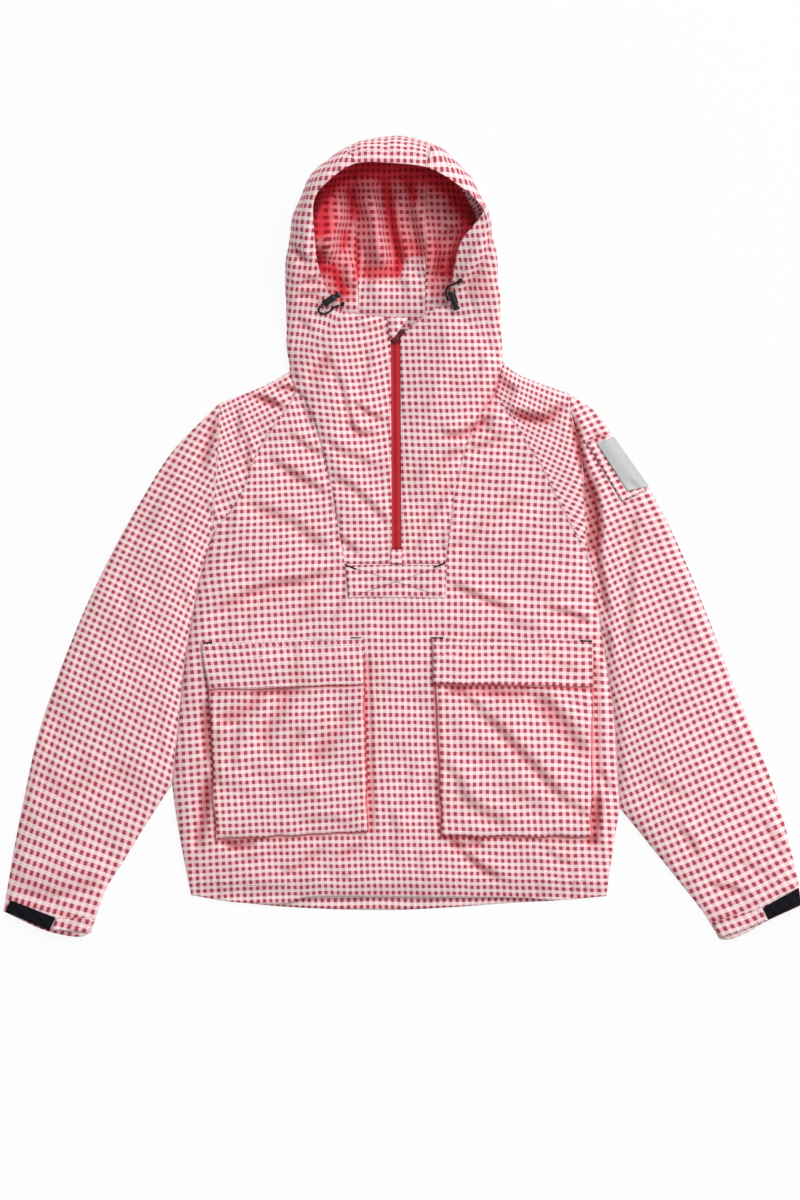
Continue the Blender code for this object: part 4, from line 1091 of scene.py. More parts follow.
class Wardrobe:
    """Makes each piece, puts it on its body and keeps the faces that later pieces lie on."""

    def __init__(self, finishes: Finishes) -> None:
        """Starts with nothing made."""
        self.finishes = finishes
        self.laid: list[Patch] = []

    def add(self, name: str, mesh: bpy.types.Mesh, finish: bpy.types.Material, slot: str,
            nodes: tuple[str, ...] = (), body: str = GARMENT) -> bpy.types.Object:
        """A piece on a body, standing for CAD nodes.

        Args:
            name: the piece's name.
            mesh: its mesh, in the frame's metres.
            finish: its material.
            slot: the record's material slot; not used.
            nodes: the CAD nodes it replaces.
            body: the body it rides on.
        Returns:
            The piece.
        """
        mesh.materials.append(finish)
        made = bpy.data.objects.new(name, mesh)
        bpy.context.scene.collection.objects.link(made)
        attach(made, body)
        if nodes:
            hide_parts(*nodes)
        LOG.info("%s: %d faces", name, len(mesh.polygons))
        return made

    def cloth(self, name: str, node: str, patches: list[Patch],
              wall: float = CLOTH_WALL, flat: tuple[float, float] | None = None, outer: bool = True,
              finish: bpy.types.Material | None = None, slot: str = "check") -> None:
        """A piece of cloth with a wall, which goes inwards from its outer face, whose cut is logged.

        Args:
            name: the piece's name.
            node: the CAD node it replaces.
            patches: its grids.
            wall: how thick it is.
            flat: the sides of its cut, or None for what its check counts give.
            outer: whether later pieces may lie on it.
            slot: the record's material slot.
        """
        made = self.add(name, mesh_of(name, patches), finish or self.finishes.check, slot, (node,))
        shell = made.modifiers.new("wall", "SOLIDIFY")
        shell.thickness, shell.offset = wall, -1
        if outer:
            self.laid.extend(patches)
        declare_sheet(made, patches, flat)

    def surface(self) -> BVHTree:
        """The outer faces made so far, for pieces that lie on them.

        Returns:
            The tree to drop points on.
        """
        points: list[Vector] = []
        faces: list[list[int]] = []
        for patch in self.laid:
            faces.extend(grid_faces(patch.points.shape[:2], len(points)).tolist())
            points.extend(map(Vector, patch.points.reshape(-1, 3)))
        return BVHTree.FromPolygons(points, faces)


def dropped(surface: BVHTree, plan: Points, lift: float = 0.0) -> Points:
    """Plan points, (..., 2), dropped on a surface and lifted straight up.

    Args:
        surface: the faces below.
        plan: the points in plan.
        lift: how far to lift them.
    Returns:
        The points, (..., 3).
    """
    placed = np.zeros(plan.shape[:-1] + (3,))
    placed[..., :2] = plan
    flat, ends = plan.reshape(-1, 2), placed.reshape(-1, 3)
    last = 0.0
    for index, (x, y) in enumerate(flat):
        place, _, _, _ = surface.ray_cast(Vector((x, y, 1.0)), Vector((0, 0, -1)))
        last = place.z if place is not None else last
        ends[index, 2] = last + lift
    return ends.reshape(placed.shape)


def normals_of(points: Points) -> Points:
    """The upward or outward direction at each point of a grid that faces up."""
    d_row, d_column = np.gradient(points, axis=0), np.gradient(points, axis=1)
    return unit(np.cross(d_row, d_column))


def grid_area(points: Points) -> float:
    """The area of a grid in square metres."""
    first, second = points[1:, 1:] - points[:-1, :-1], points[1:, :-1] - points[:-1, 1:]
    return float(0.5 * np.linalg.norm(np.cross(first, second), axis=-1).sum())


def declare_sheet(made: bpy.types.Object, patches: list[Patch],
                  flat: tuple[float, float] | None = None) -> None:
    """Says what a piece was cut to: the smallest oblong its own check counts fill, or a given one.

    Args:
        made: the piece.
        patches: its grids.
        flat: the sides of its cut, where they are given.
    """
    area = sum(grid_area(patch.points) for patch in patches)
    if flat is None:
        cut = np.vstack([patch.counts.reshape(-1, 2) for patch in patches]) / CHECKS_PER_M
        boxes = []
        for turn in np.radians(np.arange(0, 90, 3)):
            spin = np.array([[math.cos(turn), math.sin(turn)], [-math.sin(turn), math.cos(turn)]])
            boxes.append(tuple(np.ptp(cut @ spin, axis=0)))
        flat = min(boxes, key=lambda sides: sides[0] * sides[1])
    width, length = (float(side) for side in flat)
    grow = math.sqrt(max(1.0, area / (width * length)))
    width, length = round(width * grow, 3) + 0.001, round(length * grow, 3) + 0.001
    LOG.info("%s: cut %.0f x %.0f mm, %.4f m2", made.name, width * 1e3, length * 1e3, area)


# ---------------------------------------------------------------- camera, light and floor


@dataclass(frozen=True)
class Studio:
    """A camera straight above, soft light from the upper right and a white floor."""

    height: float = 16.67
    lens: float = 400.0
    centre: tuple[float, float] = (0.005, 0.0)
    key_power: float = 578.0
    key_place: tuple[float, float, float] = (2.9, 5.2, 6.2)
    key_size: float = 4.4
    fill_power: float = 42.0
    fill_place: tuple[float, float, float] = (3.0, -1.2, 2.0)
    fill_size: float = 2.6
    sky: float = 0.375
    sky_colour: Colour = (1.0, 0.995, 0.99)
    floor: Colour = (0.06, 0.06, 0.06)
    floor_glow: float = 0.92
    floor_z: float = -0.0004
    floor_reach: float = 12.0

    def build(self) -> None:
        """Makes the camera, lights, world and floor."""
        scene = bpy.context.scene
        camera = bpy.data.cameras.new("camera")
        camera.lens = self.lens
        camera.sensor_width = 36.0
        holder = bpy.data.objects.new("camera", camera)
        holder.location = (*self.centre, self.height)
        scene.collection.objects.link(holder)
        scene.camera = holder
        self._lamp("key", self.key_power, self.key_place, self.key_size)
        self._lamp("fill", self.fill_power, self.fill_place, self.fill_size)
        world = bpy.data.worlds.new("sky")
        world.use_nodes = True
        sky = world.node_tree.nodes["Background"].inputs
        sky["Color"].default_value, sky["Strength"].default_value = (*self.sky_colour, 1), self.sky
        scene.world = world
        scene.view_settings.view_transform = "Standard"
        self._floor()

    def _lamp(self, name: str, power: float, place: tuple[float, float, float], size: float) -> None:
        """A square soft light aimed at the middle of the garment.

        Args:
            name: its name.
            power: its power in watts.
            place: where it stands.
            size: its side in metres.
        """
        light = bpy.data.lights.new(name, "AREA")
        light.energy = power
        light.size = size
        made = bpy.data.objects.new(name, light)
        made.location = place
        made.rotation_euler = (Vector((0, 0.05, 0)) - Vector(place)).to_track_quat("-Z", "Y").to_euler()
        bpy.context.scene.collection.objects.link(made)

    def _floor(self) -> None:
        """A large white floor just below the garment."""
        shader = Shader("white_floor", 0.9, self.floor)
        mesh = bpy.data.meshes.new("floor")
        corners = ((-1, -1), (1, -1), (1, 1), (-1, 1))
        points = [(x * self.floor_reach, y * self.floor_reach, self.floor_z) for x, y in corners]
        mesh.from_pydata(points, [], [(0, 1, 2, 3)])
        mesh.materials.append(shader.finish(
            Emission_Color=(1.0, 1.0, 1.0), Emission_Strength=self.floor_glow, Specular_IOR_Level=0.1,
        ))
        made = bpy.data.objects.new("floor", mesh)
        bpy.context.scene.collection.objects.link(made)


# ---------------------------------------------------------------- cords


def tube(path: Points, radii: Points, sides: int = 10) -> Shape:
    """A closed tube along a path.

    Args:
        path: its centre line, (n, 3).
        radii: its radius at each point, (n,).
        sides: how many sides it has.
    Returns:
        Its points and faces.
    """
    count = len(path)
    run = unit(np.gradient(path, axis=0))
    first = np.cross(run[0], (0.0, 0.0, 1.0))
    if np.linalg.norm(first) < 1e-3:
        first = np.cross(run[0], (1.0, 0.0, 0.0))
    frames = [unit(first)]
    for index in range(1, count):
        frames.append(unit(frames[-1] - run[index] * (frames[-1] @ run[index])))
    out = np.array(frames)
    other = np.cross(run, out)
    turns = np.linspace(0, math.tau, sides, endpoint=False)
    ring = out[:, None] * np.cos(turns)[None, :, None] + other[:, None] * np.sin(turns)[None, :, None]
    points = (path[:, None] + ring * radii[:, None, None]).reshape(-1, 3)
    faces: list[tuple[int, ...]] = []
    for row in range(count - 1):
        for side in range(sides):
            ahead = (side + 1) % sides
            a, b = row * sides + side, row * sides + ahead
            faces.append((a, b, b + sides, a + sides))
    faces.append(tuple(range(sides - 1, -1, -1)))
    faces.append(tuple(range((count - 1) * sides, count * sides)))
    return points, faces


def joined(shapes: list[Shape], name: str) -> bpy.types.Mesh:
    """One smooth mesh of several shapes.

    Args:
        shapes: their points and faces.
        name: the mesh's name.
    Returns:
        The mesh.
    """
    faces: list[tuple[int, ...]] = []
    start = 0
    for shape_points, shape_faces in shapes:
        faces.extend(tuple(index + start for index in face) for face in shape_faces)
        start += len(shape_points)
    mesh = bpy.data.meshes.new(name)
    mesh.from_pydata(np.vstack([points for points, _ in shapes]).tolist(), [], faces)
    mesh.shade_smooth()
    return mesh


@dataclass
class Drawcord:
    """The hood's drawcord, where its free end leaves a lock, with the knot that stops it."""

    radius: float = 0.00125
    knot_radius: float = 0.0034
    gap: float = 0.0003
    points: int = 40
    braid: tuple[int, int] = (16, 150)  # points round it and along it
    lump: float = 0.09
    routes: dict[Side, Route] = field(default_factory=lambda: {
        Side.RIGHT: (
            (-0.0945, 0.3668, 0.0302), (-0.0965, 0.3605, 0.0292), (-0.0905, 0.3570, 0.0274),
            (-0.0830, 0.3600, 0.0267), (-0.0770, 0.3655, 0.0270), (-0.0705, 0.3680, 0.0270),
        ),
        Side.LEFT: (
            (0.0650, 0.3735, 0.0325), (0.0625, 0.3820, 0.0340), (0.0640, 0.3900, 0.0355),
            (0.0710, 0.3935, 0.0370), (0.0770, 0.3965, 0.0385),
        ),
    })

    def build(self, shop: Wardrobe, side: Side) -> None:
        """Makes the cord and its knot on one side.

        Args:
            shop: makes the pieces.
            side: the wearer's side.
        """
        path = even(self.routes[side], self.points - 1)
        mesh = joined([self._braid(path)], f"drawcord_{side.value}")
        cord = shop.add(f"drawcord_{side.value}", mesh, shop.finishes.cord, "black_cord", (f"cord_{side.value}",))
        knot = self._knot(shop, side, path)

    def _braid(self, path: Points) -> Shape:
        """A round cord with the lumps of its braid.

        Args:
            path: its centre line.
        Returns:
            Its points and faces.
        """
        sides, rows = self.braid
        fine = even(path, rows)
        points, faces = tube(fine, np.full(rows + 1, self.radius), sides)
        centre = np.repeat(fine, sides, axis=0)
        side = np.tile(np.arange(sides), rows + 1)
        row = np.repeat(np.arange(rows + 1), sides)
        round_it, along = side * math.tau * 4 / sides, row * 0.9
        lump = 1 + self.lump * np.cos(round_it + along) * np.cos(round_it - along)
        return centre + (points - centre) * lump[:, None], faces

    def _knot(self, shop: Wardrobe, side: Side, path: Points) -> bpy.types.Object:
        """An overhand knot: a turn of cord round itself, with a stub.

        Args:
            shop: makes the pieces.
            side: the wearer's side.
            path: the cord's centre line.
        Returns:
            The knot.
        """
        run = unit(path[-1] - path[-2])
        across = unit(np.cross(run, (0.0, 0.0, 1.0)))
        up = np.cross(across, run)
        centre = path[-1] + run * (self.knot_radius + self.gap)
        t = np.linspace(0, 1, 90)
        angle = math.tau * (1.55 * t + 0.1)
        wide = (self.knot_radius - self.radius * 0.95) * (0.55 + 0.45 * np.sin(math.pi * t))
        along = (t - 0.5) * 2 * (self.knot_radius - self.radius)
        turned = np.outer(wide * np.cos(angle), across) + np.outer(wide * np.sin(angle), up)
        coil = centre + np.outer(along, run) + turned
        radii = self.radius * (0.98 + 0.05 * np.cos(t * 70))
        core = centre + np.outer(np.linspace(-0.85, 0.85, 12) * self.knot_radius, run)
        shapes = [tube(coil, radii, 10), tube(core, np.full(12, self.radius * 0.95), 10)]
        name = f"drawcord_knot_{side.value}"
        return shop.add(name, joined(shapes, name), shop.finishes.cord, "black_cord", (f"cord_knot_{side.value}",))


# ---------------------------------------------------------------- body, shoulders and sleeves


@dataclass
class Front:
    """The front in one piece: both sides of the chest and all below the yoke."""

    chest_cells: int = 72
    base_cells: int = 48
    seam_gap: float = 0.00006
    blend: tuple[float, float] = (0.0, 0.06)  # where the lower front's check passes into the chest's

    def counts(self, plan: Points) -> Points:
        """The check's counts over the whole front, at each of the plan points.

        Args:
            plan: the points in plan.
        Returns:
            The counts.
        """
        x, y = plan[..., 0], plan[..., 1]
        found = GRAINS["front"].at(plan)
        share = rise(*self.blend, y) * rise(0.045, 0.085, np.abs(x))
        for side in Side:
            grain = GRAINS[f"chest_{side.value}"]
            base = np.stack([side.sign * np.linspace(0.08, 0.235, 9), np.full(9, 0.03)], axis=1)
            shift = (grain.at(base) - GRAINS["front"].at(base)).mean(0)
            here = (share * (x * side.sign > 0))[..., None]
            found = found + here * (grain.at(plan) - shift - found)
        return found

    def build(self, shop: Wardrobe, form: LaidForm, seams: dict[Side, Seams]) -> None:
        """Makes the front panel.

        Args:
            shop: makes the pieces.
            form: the laid form.
            seams: the seams of both sides.
        """
        right, left = (self._chest(seams[side]) for side in Side)
        base = line(RIGHT_YOKE_BASE, LEFT_YOKE_BASE, np.linspace(0, 1, self.base_cells + 1))
        top = np.vstack([right[-1], base[1:-1], left[-1]])
        hem = sample(FRONT_HEM, shares_of(top))
        lower = coons(top, hem, seams[Side.RIGHT]["side"], seams[Side.LEFT]["side"])
        right, left = (drawn_in(grid, self.seam_gap, Edge.TOP, Edge.START, Edge.END) for grid in (right, left))
        lower = drawn_in(lower, self.seam_gap, Edge.START, Edge.END)
        lower[0, : self.chest_cells + 1] = right[-1]
        lower[0, -self.chest_cells - 1 :] = left[-1]
        patches = [form.patch(grid, self.counts(grid)) for grid in (right, left, lower)]
        for patch in patches:
            # Painted red shade on the front beside the pockets' edges.
            patch.painted_shading = np.maximum(patch.painted_shading, beside(patch.points, *POCKETS.values()))
        shop.cloth("front_panel_cloth", "front_panel", patches)

    def _chest(self, seams: Seams) -> Points:
        """One side of the chest, between raglan seam, side and placket seam.

        Args:
            seams: the seams of that side.
        Returns:
            Its grid in plan.
        """
        outer = np.vstack([seams["raglan"], seams["side_top"][1:]])
        inner = seams["placket"]
        shares = bunched(self.chest_cells, 1, 0)
        return between(seams.side, line(outer[0], inner[0], shares), line(outer[-1], inner[-1], shares), outer, inner)


@dataclass
class Back:
    """The back in one piece, flat on the floor, cut to the neck, shoulders, armholes, sides and hem."""

    neck_cells: int = 60
    inset: float = 0.0016
    lift: float = 0.0011
    flat_cells: int = 8  # along its edges, where it lies down on the floor

    def build(self, shop: Wardrobe, seams: dict[Side, Seams]) -> None:
        """Makes the back panel.

        Args:
            shop: makes the pieces.
            seams: the seams of both sides.
        """
        right, left = seams[Side.RIGHT], seams[Side.LEFT]
        nape = even(BACK_NECK, self.neck_cells)
        top = np.vstack([right["shoulder"][:-1], nape, left["shoulder"][::-1][1:]])
        sides = [np.vstack([seam["armhole"], seam["side_top"][1:], seam["side"][1:]]) for seam in (right, left)]
        grid = coons(top, sample(BACK_HEM, shares_of(top)), *sides)
        rows, columns = (np.unique(np.append(np.arange(0, size, 2), size - 1)) for size in grid.shape[:2])
        plan = drawn_in(grid[np.ix_(rows, columns)], self.inset, *Edge)
        swell = np.maximum(0, ripples(plan, 0.16, 21) - 0.25) * self.lift
        swell += np.maximum(0, ripples(plan, 0.05, 22) - 0.4) * self.lift * 0.35
        swell += np.maximum(0, creased(BACK_CREASES, plan))
        down, across = (np.minimum(np.arange(size), np.arange(size)[::-1]) for size in plan.shape[:2])
        edge = np.outer(np.clip(down / self.flat_cells, 0, 1), np.clip(across / self.flat_cells, 0, 1))
        points = np.concatenate([plan, (swell * edge)[..., None]], axis=-1)
        counts = plan * CHECKS_PER_M + 0.06 * np.stack([ripples(plan, 0.08, 23), ripples(plan, 0.07, 24)], axis=-1)
        shop.cloth("back_panel_cloth", "back_panel", [Patch(points, counts).turned()], outer=False)


@dataclass
class Shoulder:
    """The raglan piece between armhole, shoulder fold and raglan seam."""

    seam_gap: float = 0.0003

    def build(self, shop: Wardrobe, form: LaidForm, seams: Seams) -> None:
        """Makes the piece on one side.

        Args:
            shop: makes the pieces.
            form: the laid form.
            seams: the seams of that side.
        """
        side = seams.side.value
        top, armhole, base = seams["shoulder"], seams["armhole"], seams["raglan"][::-1]
        neck = line(top[-1], base[-1], shares_of(armhole))
        plan = drawn_in(between(seams.side, top, base, armhole, neck), self.seam_gap, *Edge)
        patch = form.patch(plan, GRAINS[f"shoulder_{side}"].at(plan))
        shop.cloth(f"shoulder_cloth_{side}", f"shoulder_{side}", [patch])


@dataclass
class Sleeve:
    """A sleeve cut in two, sewn along both its folds, open at armhole and cuff."""

    seam_gap: float = 0.0003
    under_edge_z: float = 0.0024
    under_swell: float = 0.0009

    def build(self, shop: Wardrobe, form: LaidForm, seams: Seams) -> None:
        """Makes the top sleeve and the under sleeve on one side.

        Args:
            shop: makes the pieces.
            form: the laid form.
            seams: the seams of that side.
        """
        edges, side = EDGES[seams.side], seams.side.value
        inner, armhole = seams["sleeve_inner"], seams["armhole"]
        outer = sample(edges["sleeve_outer"], shares_of(inner))
        cuff = sample(edges["cuff"], shares_of(armhole))
        grid = between(seams.side, armhole, cuff, outer, inner)
        plan = drawn_in(grid, self.seam_gap, Edge.TOP, Edge.START, Edge.END)
        top = form.patch(plan, GRAINS[f"sleeve_{side}"].at(plan))
        shop.cloth(f"sleeve_top_cloth_{side}", f"sleeve_top_{side}", [top])
        self._under(shop, plan, seams.side)

    def _under(self, shop: Wardrobe, plan: Points, side: Side) -> None:
        """The under sleeve, on the floor, with its check carried round the outer fold.

        Args:
            shop: makes the pieces.
            plan: the top sleeve's grid in plan.
            side: the wearer's side.
        """
        points = np.pad(plan, ((0, 0), (0, 0), (0, 1)))
        across = np.linspace(0, 1, plan.shape[1])
        edge = np.minimum(across, 1 - across)
        swell = np.maximum(0, ripples(plan, 0.12, 31) - 0.2) * self.under_swell
        swell += np.maximum(0, creased(BACK_CREASES, plan))
        points[..., 2] = self.under_edge_z * (1 - rise(0, 0.06, edge)) + swell * rise(0.03, 0.12, edge)
        outer = plan[:, 0] if side is Side.RIGHT else plan[:, -1]
        run = np.linalg.norm(plan - outer[:, None], axis=-1)
        length = np.repeat(lengths_of(outer)[:, None], plan.shape[1], axis=1)
        patch = Patch(points, np.stack([run, length], axis=-1) * CHECKS_PER_M).turned()
        shop.cloth(f"sleeve_under_cloth_{side.value}", f"sleeve_under_{side.value}", [patch], outer=False)


# ---------------------------------------------------------------- hood and yoke


@dataclass
class HoodForm:
    """The propped hood, by sections round its opening from the right neck over the brim to the left neck."""

    rim_x: tuple[float, ...] = (-0.064, -0.078, -0.091, -0.0985, -0.1022, -0.1018, -0.085, -0.051, -0.001,
                                0.043, 0.080, 0.1015, 0.1075, 0.0805, 0.0730, 0.0675, 0.064)
    rim_y: tuple[float, ...] = (0.360, 0.374, 0.398, 0.426, 0.463, 0.498, 0.5205, 0.5425, 0.5428,
                                0.5363, 0.5145, 0.4965, 0.4815, 0.447, 0.418, 0.390, 0.370)
    rim_z: tuple[float, ...] = (0.022, 0.027, 0.036, 0.050, 0.064, 0.076, 0.084, 0.089, 0.091,
                                0.089, 0.083, 0.074, 0.065, 0.053, 0.040, 0.030, 0.025)
    side_x: tuple[float, ...] = (-0.133, -0.136, -0.137, -0.1375, -0.135, -0.125, -0.101, -0.061, -0.003,
                                 0.051, 0.092, 0.113, 0.124, 0.128, 0.1305, 0.131, 0.134)
    side_y: tuple[float, ...] = (0.285, 0.315, 0.355, 0.400, 0.445, 0.491, 0.535, 0.565, 0.579,
                                 0.565, 0.530, 0.490, 0.447, 0.405, 0.365, 0.330, 0.297)
    side_z: tuple[float, ...] = (0.0031, 0.009, 0.017, 0.025, 0.032, 0.038, 0.043, 0.046, 0.048,
                                 0.046, 0.043, 0.039, 0.034, 0.028, 0.020, 0.010, 0.0031)
    centre: tuple[float, float] = (0.0, 0.42)
    seams: tuple[float, float] = (7.0, 8.85)  # where the centre panel's seams cross the sections
    nape_shares: tuple[float, ...] = (0.04, 0.345, 0.635, 0.96)
    under: float = 0.45
    face_cells: int = 44
    turn_cells: int = 16
    floor_cells: int = 56
    inside: tuple[Crease, ...] = ()
    outside: tuple[Crease, ...] = ()
    floor_z: float = 0.0060

    @property
    def last(self) -> int:
        """The last section's number."""
        return len(self.rim_x) - 1

    def at(self, position: float) -> Points:
        """The six values of a section at a position among them.

        Args:
            position: the position, from 0 at the first section.
        Returns:
            The values.
        """
        columns = np.array([self.rim_x, self.rim_y, self.rim_z, self.side_x, self.side_y, self.side_z]).T
        curve = smooth_curve(columns)
        steps = np.arange(len(curve)) / SMOOTH_STEPS
        return np.array([np.interp(position, steps, curve[:, i]) for i in range(6)])

    def line(self, position: float) -> Points:
        """One line of the hood from its free edge, over the side, under and in to the nape.

        Args:
            position: the position among the sections.
        Returns:
            The line's points.
        """
        rim_x, rim_y, rim_z, side_x, side_y, side_z = self.at(position)
        rim, side = np.array([rim_x, rim_y]), np.array([side_x, side_y])
        share = np.interp(position, (0, *self.seams, self.last), self.nape_shares)
        nape = sample(BACK_NECK, np.array([share]))[0]
        under = side + unit(np.array(self.centre) - side) * side_z * self.under
        points = []
        for turn in np.linspace(0, math.pi / 2, self.face_cells + 1):
            flat = rim + (side - rim) * math.sin(turn)
            points.append((*flat, side_z + (rim_z - side_z) * math.cos(turn)))
        for turn in np.linspace(0, math.pi / 2, self.turn_cells + 1)[1:]:
            flat = side + (under - side) * (1 - math.cos(turn))
            points.append((*flat, side_z * (1 - math.sin(turn))))
        for share in np.linspace(0, 1, self.floor_cells + 1)[1:]:
            points.append((*(under + (nape - under) * share), 0.0))
        return np.array(points)

    def grid(self, first: float, last: float, cells: int) -> tuple[Points, Points]:
        """The hood between two sections, rows from the free edge to the nape, and its painted red light and shade.

        Args:
            first: the position of the first section.
            last: the position of the last.
            cells: how many cells between them.
        Returns:
            The points and their painted red light and shade.
        """
        points = np.stack([self.line(position) for position in np.linspace(first, last, cells + 1)], axis=1)
        turned = self.face_cells + self.turn_cells
        floor, outer = points[turned:], points[: turned + 1]
        share = np.linspace(0, 1, self.floor_cells + 1)[:, None]
        relief = creased(self.inside, floor) + self.floor_z + ripples(floor, 0.035, 41) * 0.0009
        floor[..., 2] += np.maximum(relief, 0.0) * rise(0, 0.12, np.minimum(share, 1 - share))
        relief = creased(self.outside, outer) + ripples(outer, 0.045, 42) * 0.0008
        relief *= rise(0, 0.12, np.linspace(1, 0, turned + 1))[:, None]
        if first == 0:
            relief *= rise(0, 6, np.arange(cells + 1))
        if last == self.last:
            relief *= rise(0, 6, np.arange(cells + 1)[::-1])
        outer -= normals_of(outer) * relief[..., None]
        return points, np.vstack([valley_painted_shading(relief * 1.4)[:-1], hood_glow(floor)])

    def outer_counts(self, points: Points, fixed: Points | None) -> Points:
        """The check over face and turn, whose columns run up the side and on over the brim.

        Args:
            points: the outer rows of the hood's grid.
            fixed: counts to keep where they are given.
        Returns:
            The counts.
        """
        d_row, d_column = unit(np.gradient(points, axis=0)), np.gradient(points, axis=1)
        d_column = unit(d_column - (d_column * d_row).sum(-1, keepdims=True) * d_row)
        plan = points[self.face_cells, :, :2] - points[0, :, :2]
        turn = np.arctan2(plan[:, 1], plan[:, 0])[None, :, None]
        along = np.sin(turn) * d_row - np.cos(turn) * d_column
        held = None if fixed is None else fixed[:, ::-1]
        return grain_over(points[:, ::-1], along[:, ::-1], held)[:, ::-1]


HOOD_PAINTED_RED_FROM = (  # x, and the y from which the inside gets painted red light there
    (-0.052, -0.046, 0.006, 0.010, 0.036, 0.042), (0.372, 0.400, 0.400, 0.426, 0.426, 0.378),
)


def hood_glow(points: Points) -> Points:
    """How much painted red light each point of the hood's inside gets, most in the valleys, with painted shade where
    it is strongest.

    Args:
        points: the inside's points.
    Returns:
        The painted red light and painted shade.
    """
    x, y = points[..., 0], points[..., 1]
    deep = rise(-0.003, 0.003, y - np.interp(x, *HOOD_PAINTED_RED_FROM) + 0.0015 * np.sin(x * 160))
    strength = 0.50 + creased(HOOD_GLOW, points) / MM
    return paired(deep * np.clip(strength, 0.0, 1.0), deep * 0.24 * rise(0.8, 1.4, strength))


@dataclass
class Hood:
    """The hood's three panels, of which each side is cut in one with its half of the yoke."""

    form: HoodForm
    side_cells: int = 112
    centre_cells: int = 36
    neck_seam_cells: int = 8
    neck_edge_cells: int = 34
    casing: float = 0.019
    casing_cells: int = 10
    # Shares of painted red light: on the casing folded inside the free edge, and on the outer face near the rim.
    casing_glow: float = 0.55
    casing_bulge: float = 0.0019  # round the cord
    casing_gap: float = 0.0009
    rim_glow: float = 0.26
    lit: dict[Side, Route] = field(default_factory=lambda: {  # where the rim's painted red light lies: soft steps of x outwards, of y and of -y
        Side.LEFT: ((0.085, 0.10), (0.37, 0.385), (-0.42, -0.40)),
        Side.RIGHT: ((0.082, 0.10), (0.355, 0.375), (-0.45, -0.40)),
    })
    seam_gap: float = 0.00003
    zip_half_slot: float = 0.0060
    centre_cut: tuple[float, float] = (0.085, 0.42)
    side_cut: tuple[float, float] = (0.33, 0.62)

    def build(self, shop: Wardrobe, laid: LaidForm, seams: dict[Side, Seams]) -> None:
        """Makes the centre panel and both sides.

        Args:
            shop: makes the pieces.
            laid: the laid form.
            seams: the seams of both sides.
        """
        self._centre(shop)
        for side in Side:
            self._side(shop, laid, seams[side])

    def _centre(self, shop: Wardrobe) -> None:
        """The panel over the head, from brim to nape.

        Args:
            shop: makes the pieces.
        """
        grid, glow = self.form.grid(*self.form.seams, self.centre_cells)
        grid = drawn_in(grid, self.seam_gap, Edge.BASE, Edge.START, Edge.END)
        patches = self._charts(grid, glow, None)
        shop.cloth("hood_centre_cloth", "hood_centre", patches, flat=self.centre_cut)

    def _charts(self, grid: Points, painted_shading: Points, fixed: Points | None) -> list[Patch]:
        """Outer face and turn, floor, and the casing folded in at the free edge.

        Args:
            grid: the hood's points between two seams.
            painted_shading: their painted red light and shade.
            fixed: counts to keep where they are given.
        Returns:
            The patches.
        """
        turned = self.form.face_cells + self.form.turn_cells
        outer, floor = grid[: turned + 1], grid[turned:]
        outer_counts = self.form.outer_counts(outer, fixed)
        along = np.zeros_like(floor)
        along[..., 1] = 1.0
        down = np.linspace(0, 1, turned + 1)[:, None]
        # Painted red light on the outer face near the rim, fading down the side.
        x, y = outer[..., 0], outer[..., 1]
        fades = {Side.LEFT: bell(down - 0.30, 0.16), Side.RIGHT: (1 - down) ** 2}
        lit = np.zeros(x.shape)
        for side, fade in fades.items():
            out, above, below = self.lit[side]
            lit += rise(*out, side.sign * x) * rise(*above, y) * rise(*below, -y) * fade
        rim_glow = np.maximum(painted_shading[: turned + 1], paired(self.rim_glow * lit))
        patches = [Patch(outer, outer_counts, rim_glow), Patch(floor, grain_over(floor, along), painted_shading[turned:])]
        patches.append(self._casing(outer, outer_counts))
        return [patch.turned() for patch in patches]

    def _casing(self, outer: Points, counts: Points) -> Patch:
        """The hem of the free edge, folded inside round the drawcord.

        Args:
            outer: the outer rows of the grid.
            counts: their counts.
        Returns:
            Its patch.
        """
        down = np.cumsum(np.linalg.norm(np.diff(outer[: self.form.face_cells], axis=0), axis=-1).mean(1))
        depth = int(np.searchsorted(down, self.casing)) + 1
        rows = np.linspace(0, depth, self.casing_cells + 1)
        low = np.floor(rows).astype(int).clip(0, depth - 1)
        part = (rows - low)[:, None, None]
        base, away, grain = (
            values[low] * (1 - part) + values[low + 1] * part for values in (outer, normals_of(outer), counts)
        )
        share = rows[:, None, None] / depth
        bulge = self.casing_bulge * np.sin(math.pi * np.minimum(share * 1.6, 1))
        points = base + away * (bulge + self.casing_gap * rise(0, 0.2, share))
        # Painted red light over the whole casing.
        glow = paired(np.full(points.shape[:2], self.casing_glow))
        return Patch(points[::-1], (2 * counts[:1] - grain)[::-1], glow)

    def _side(self, shop: Wardrobe, laid: LaidForm, seams: Seams) -> None:
        """One side of the hood with its half of the yoke.

        Args:
            shop: makes the pieces.
            laid: the laid form.
            seams: the seams of that side.
        """
        side, form = seams.side, self.form
        reach = (0, form.seams[0]) if side is Side.RIGHT else (form.seams[1], form.last)
        grid, glow = form.grid(*reach, self.side_cells)
        grid = drawn_in(grid, self.seam_gap, Edge.BASE, side.inner)
        column = 0 if side is Side.RIGHT else -1
        fold = grid[: form.face_cells + 1, column]
        yoke, painted_shading = self._yoke(laid, seams, fold)
        grain = GRAINS[f"yoke_{side.value}"]
        fixed = np.full((form.face_cells + form.turn_cells + 1, grid.shape[1], 2), np.nan)
        fixed[: form.face_cells + 1, column] = grain.at(fold)
        patches = [*self._charts(grid, glow, fixed), Patch(yoke, grain.at(yoke), painted_shading)]
        name, node = f"hood_side_cloth_{side.value}", f"hood_side_{side.value}"
        shop.cloth(name, node, patches, flat=self.side_cut)

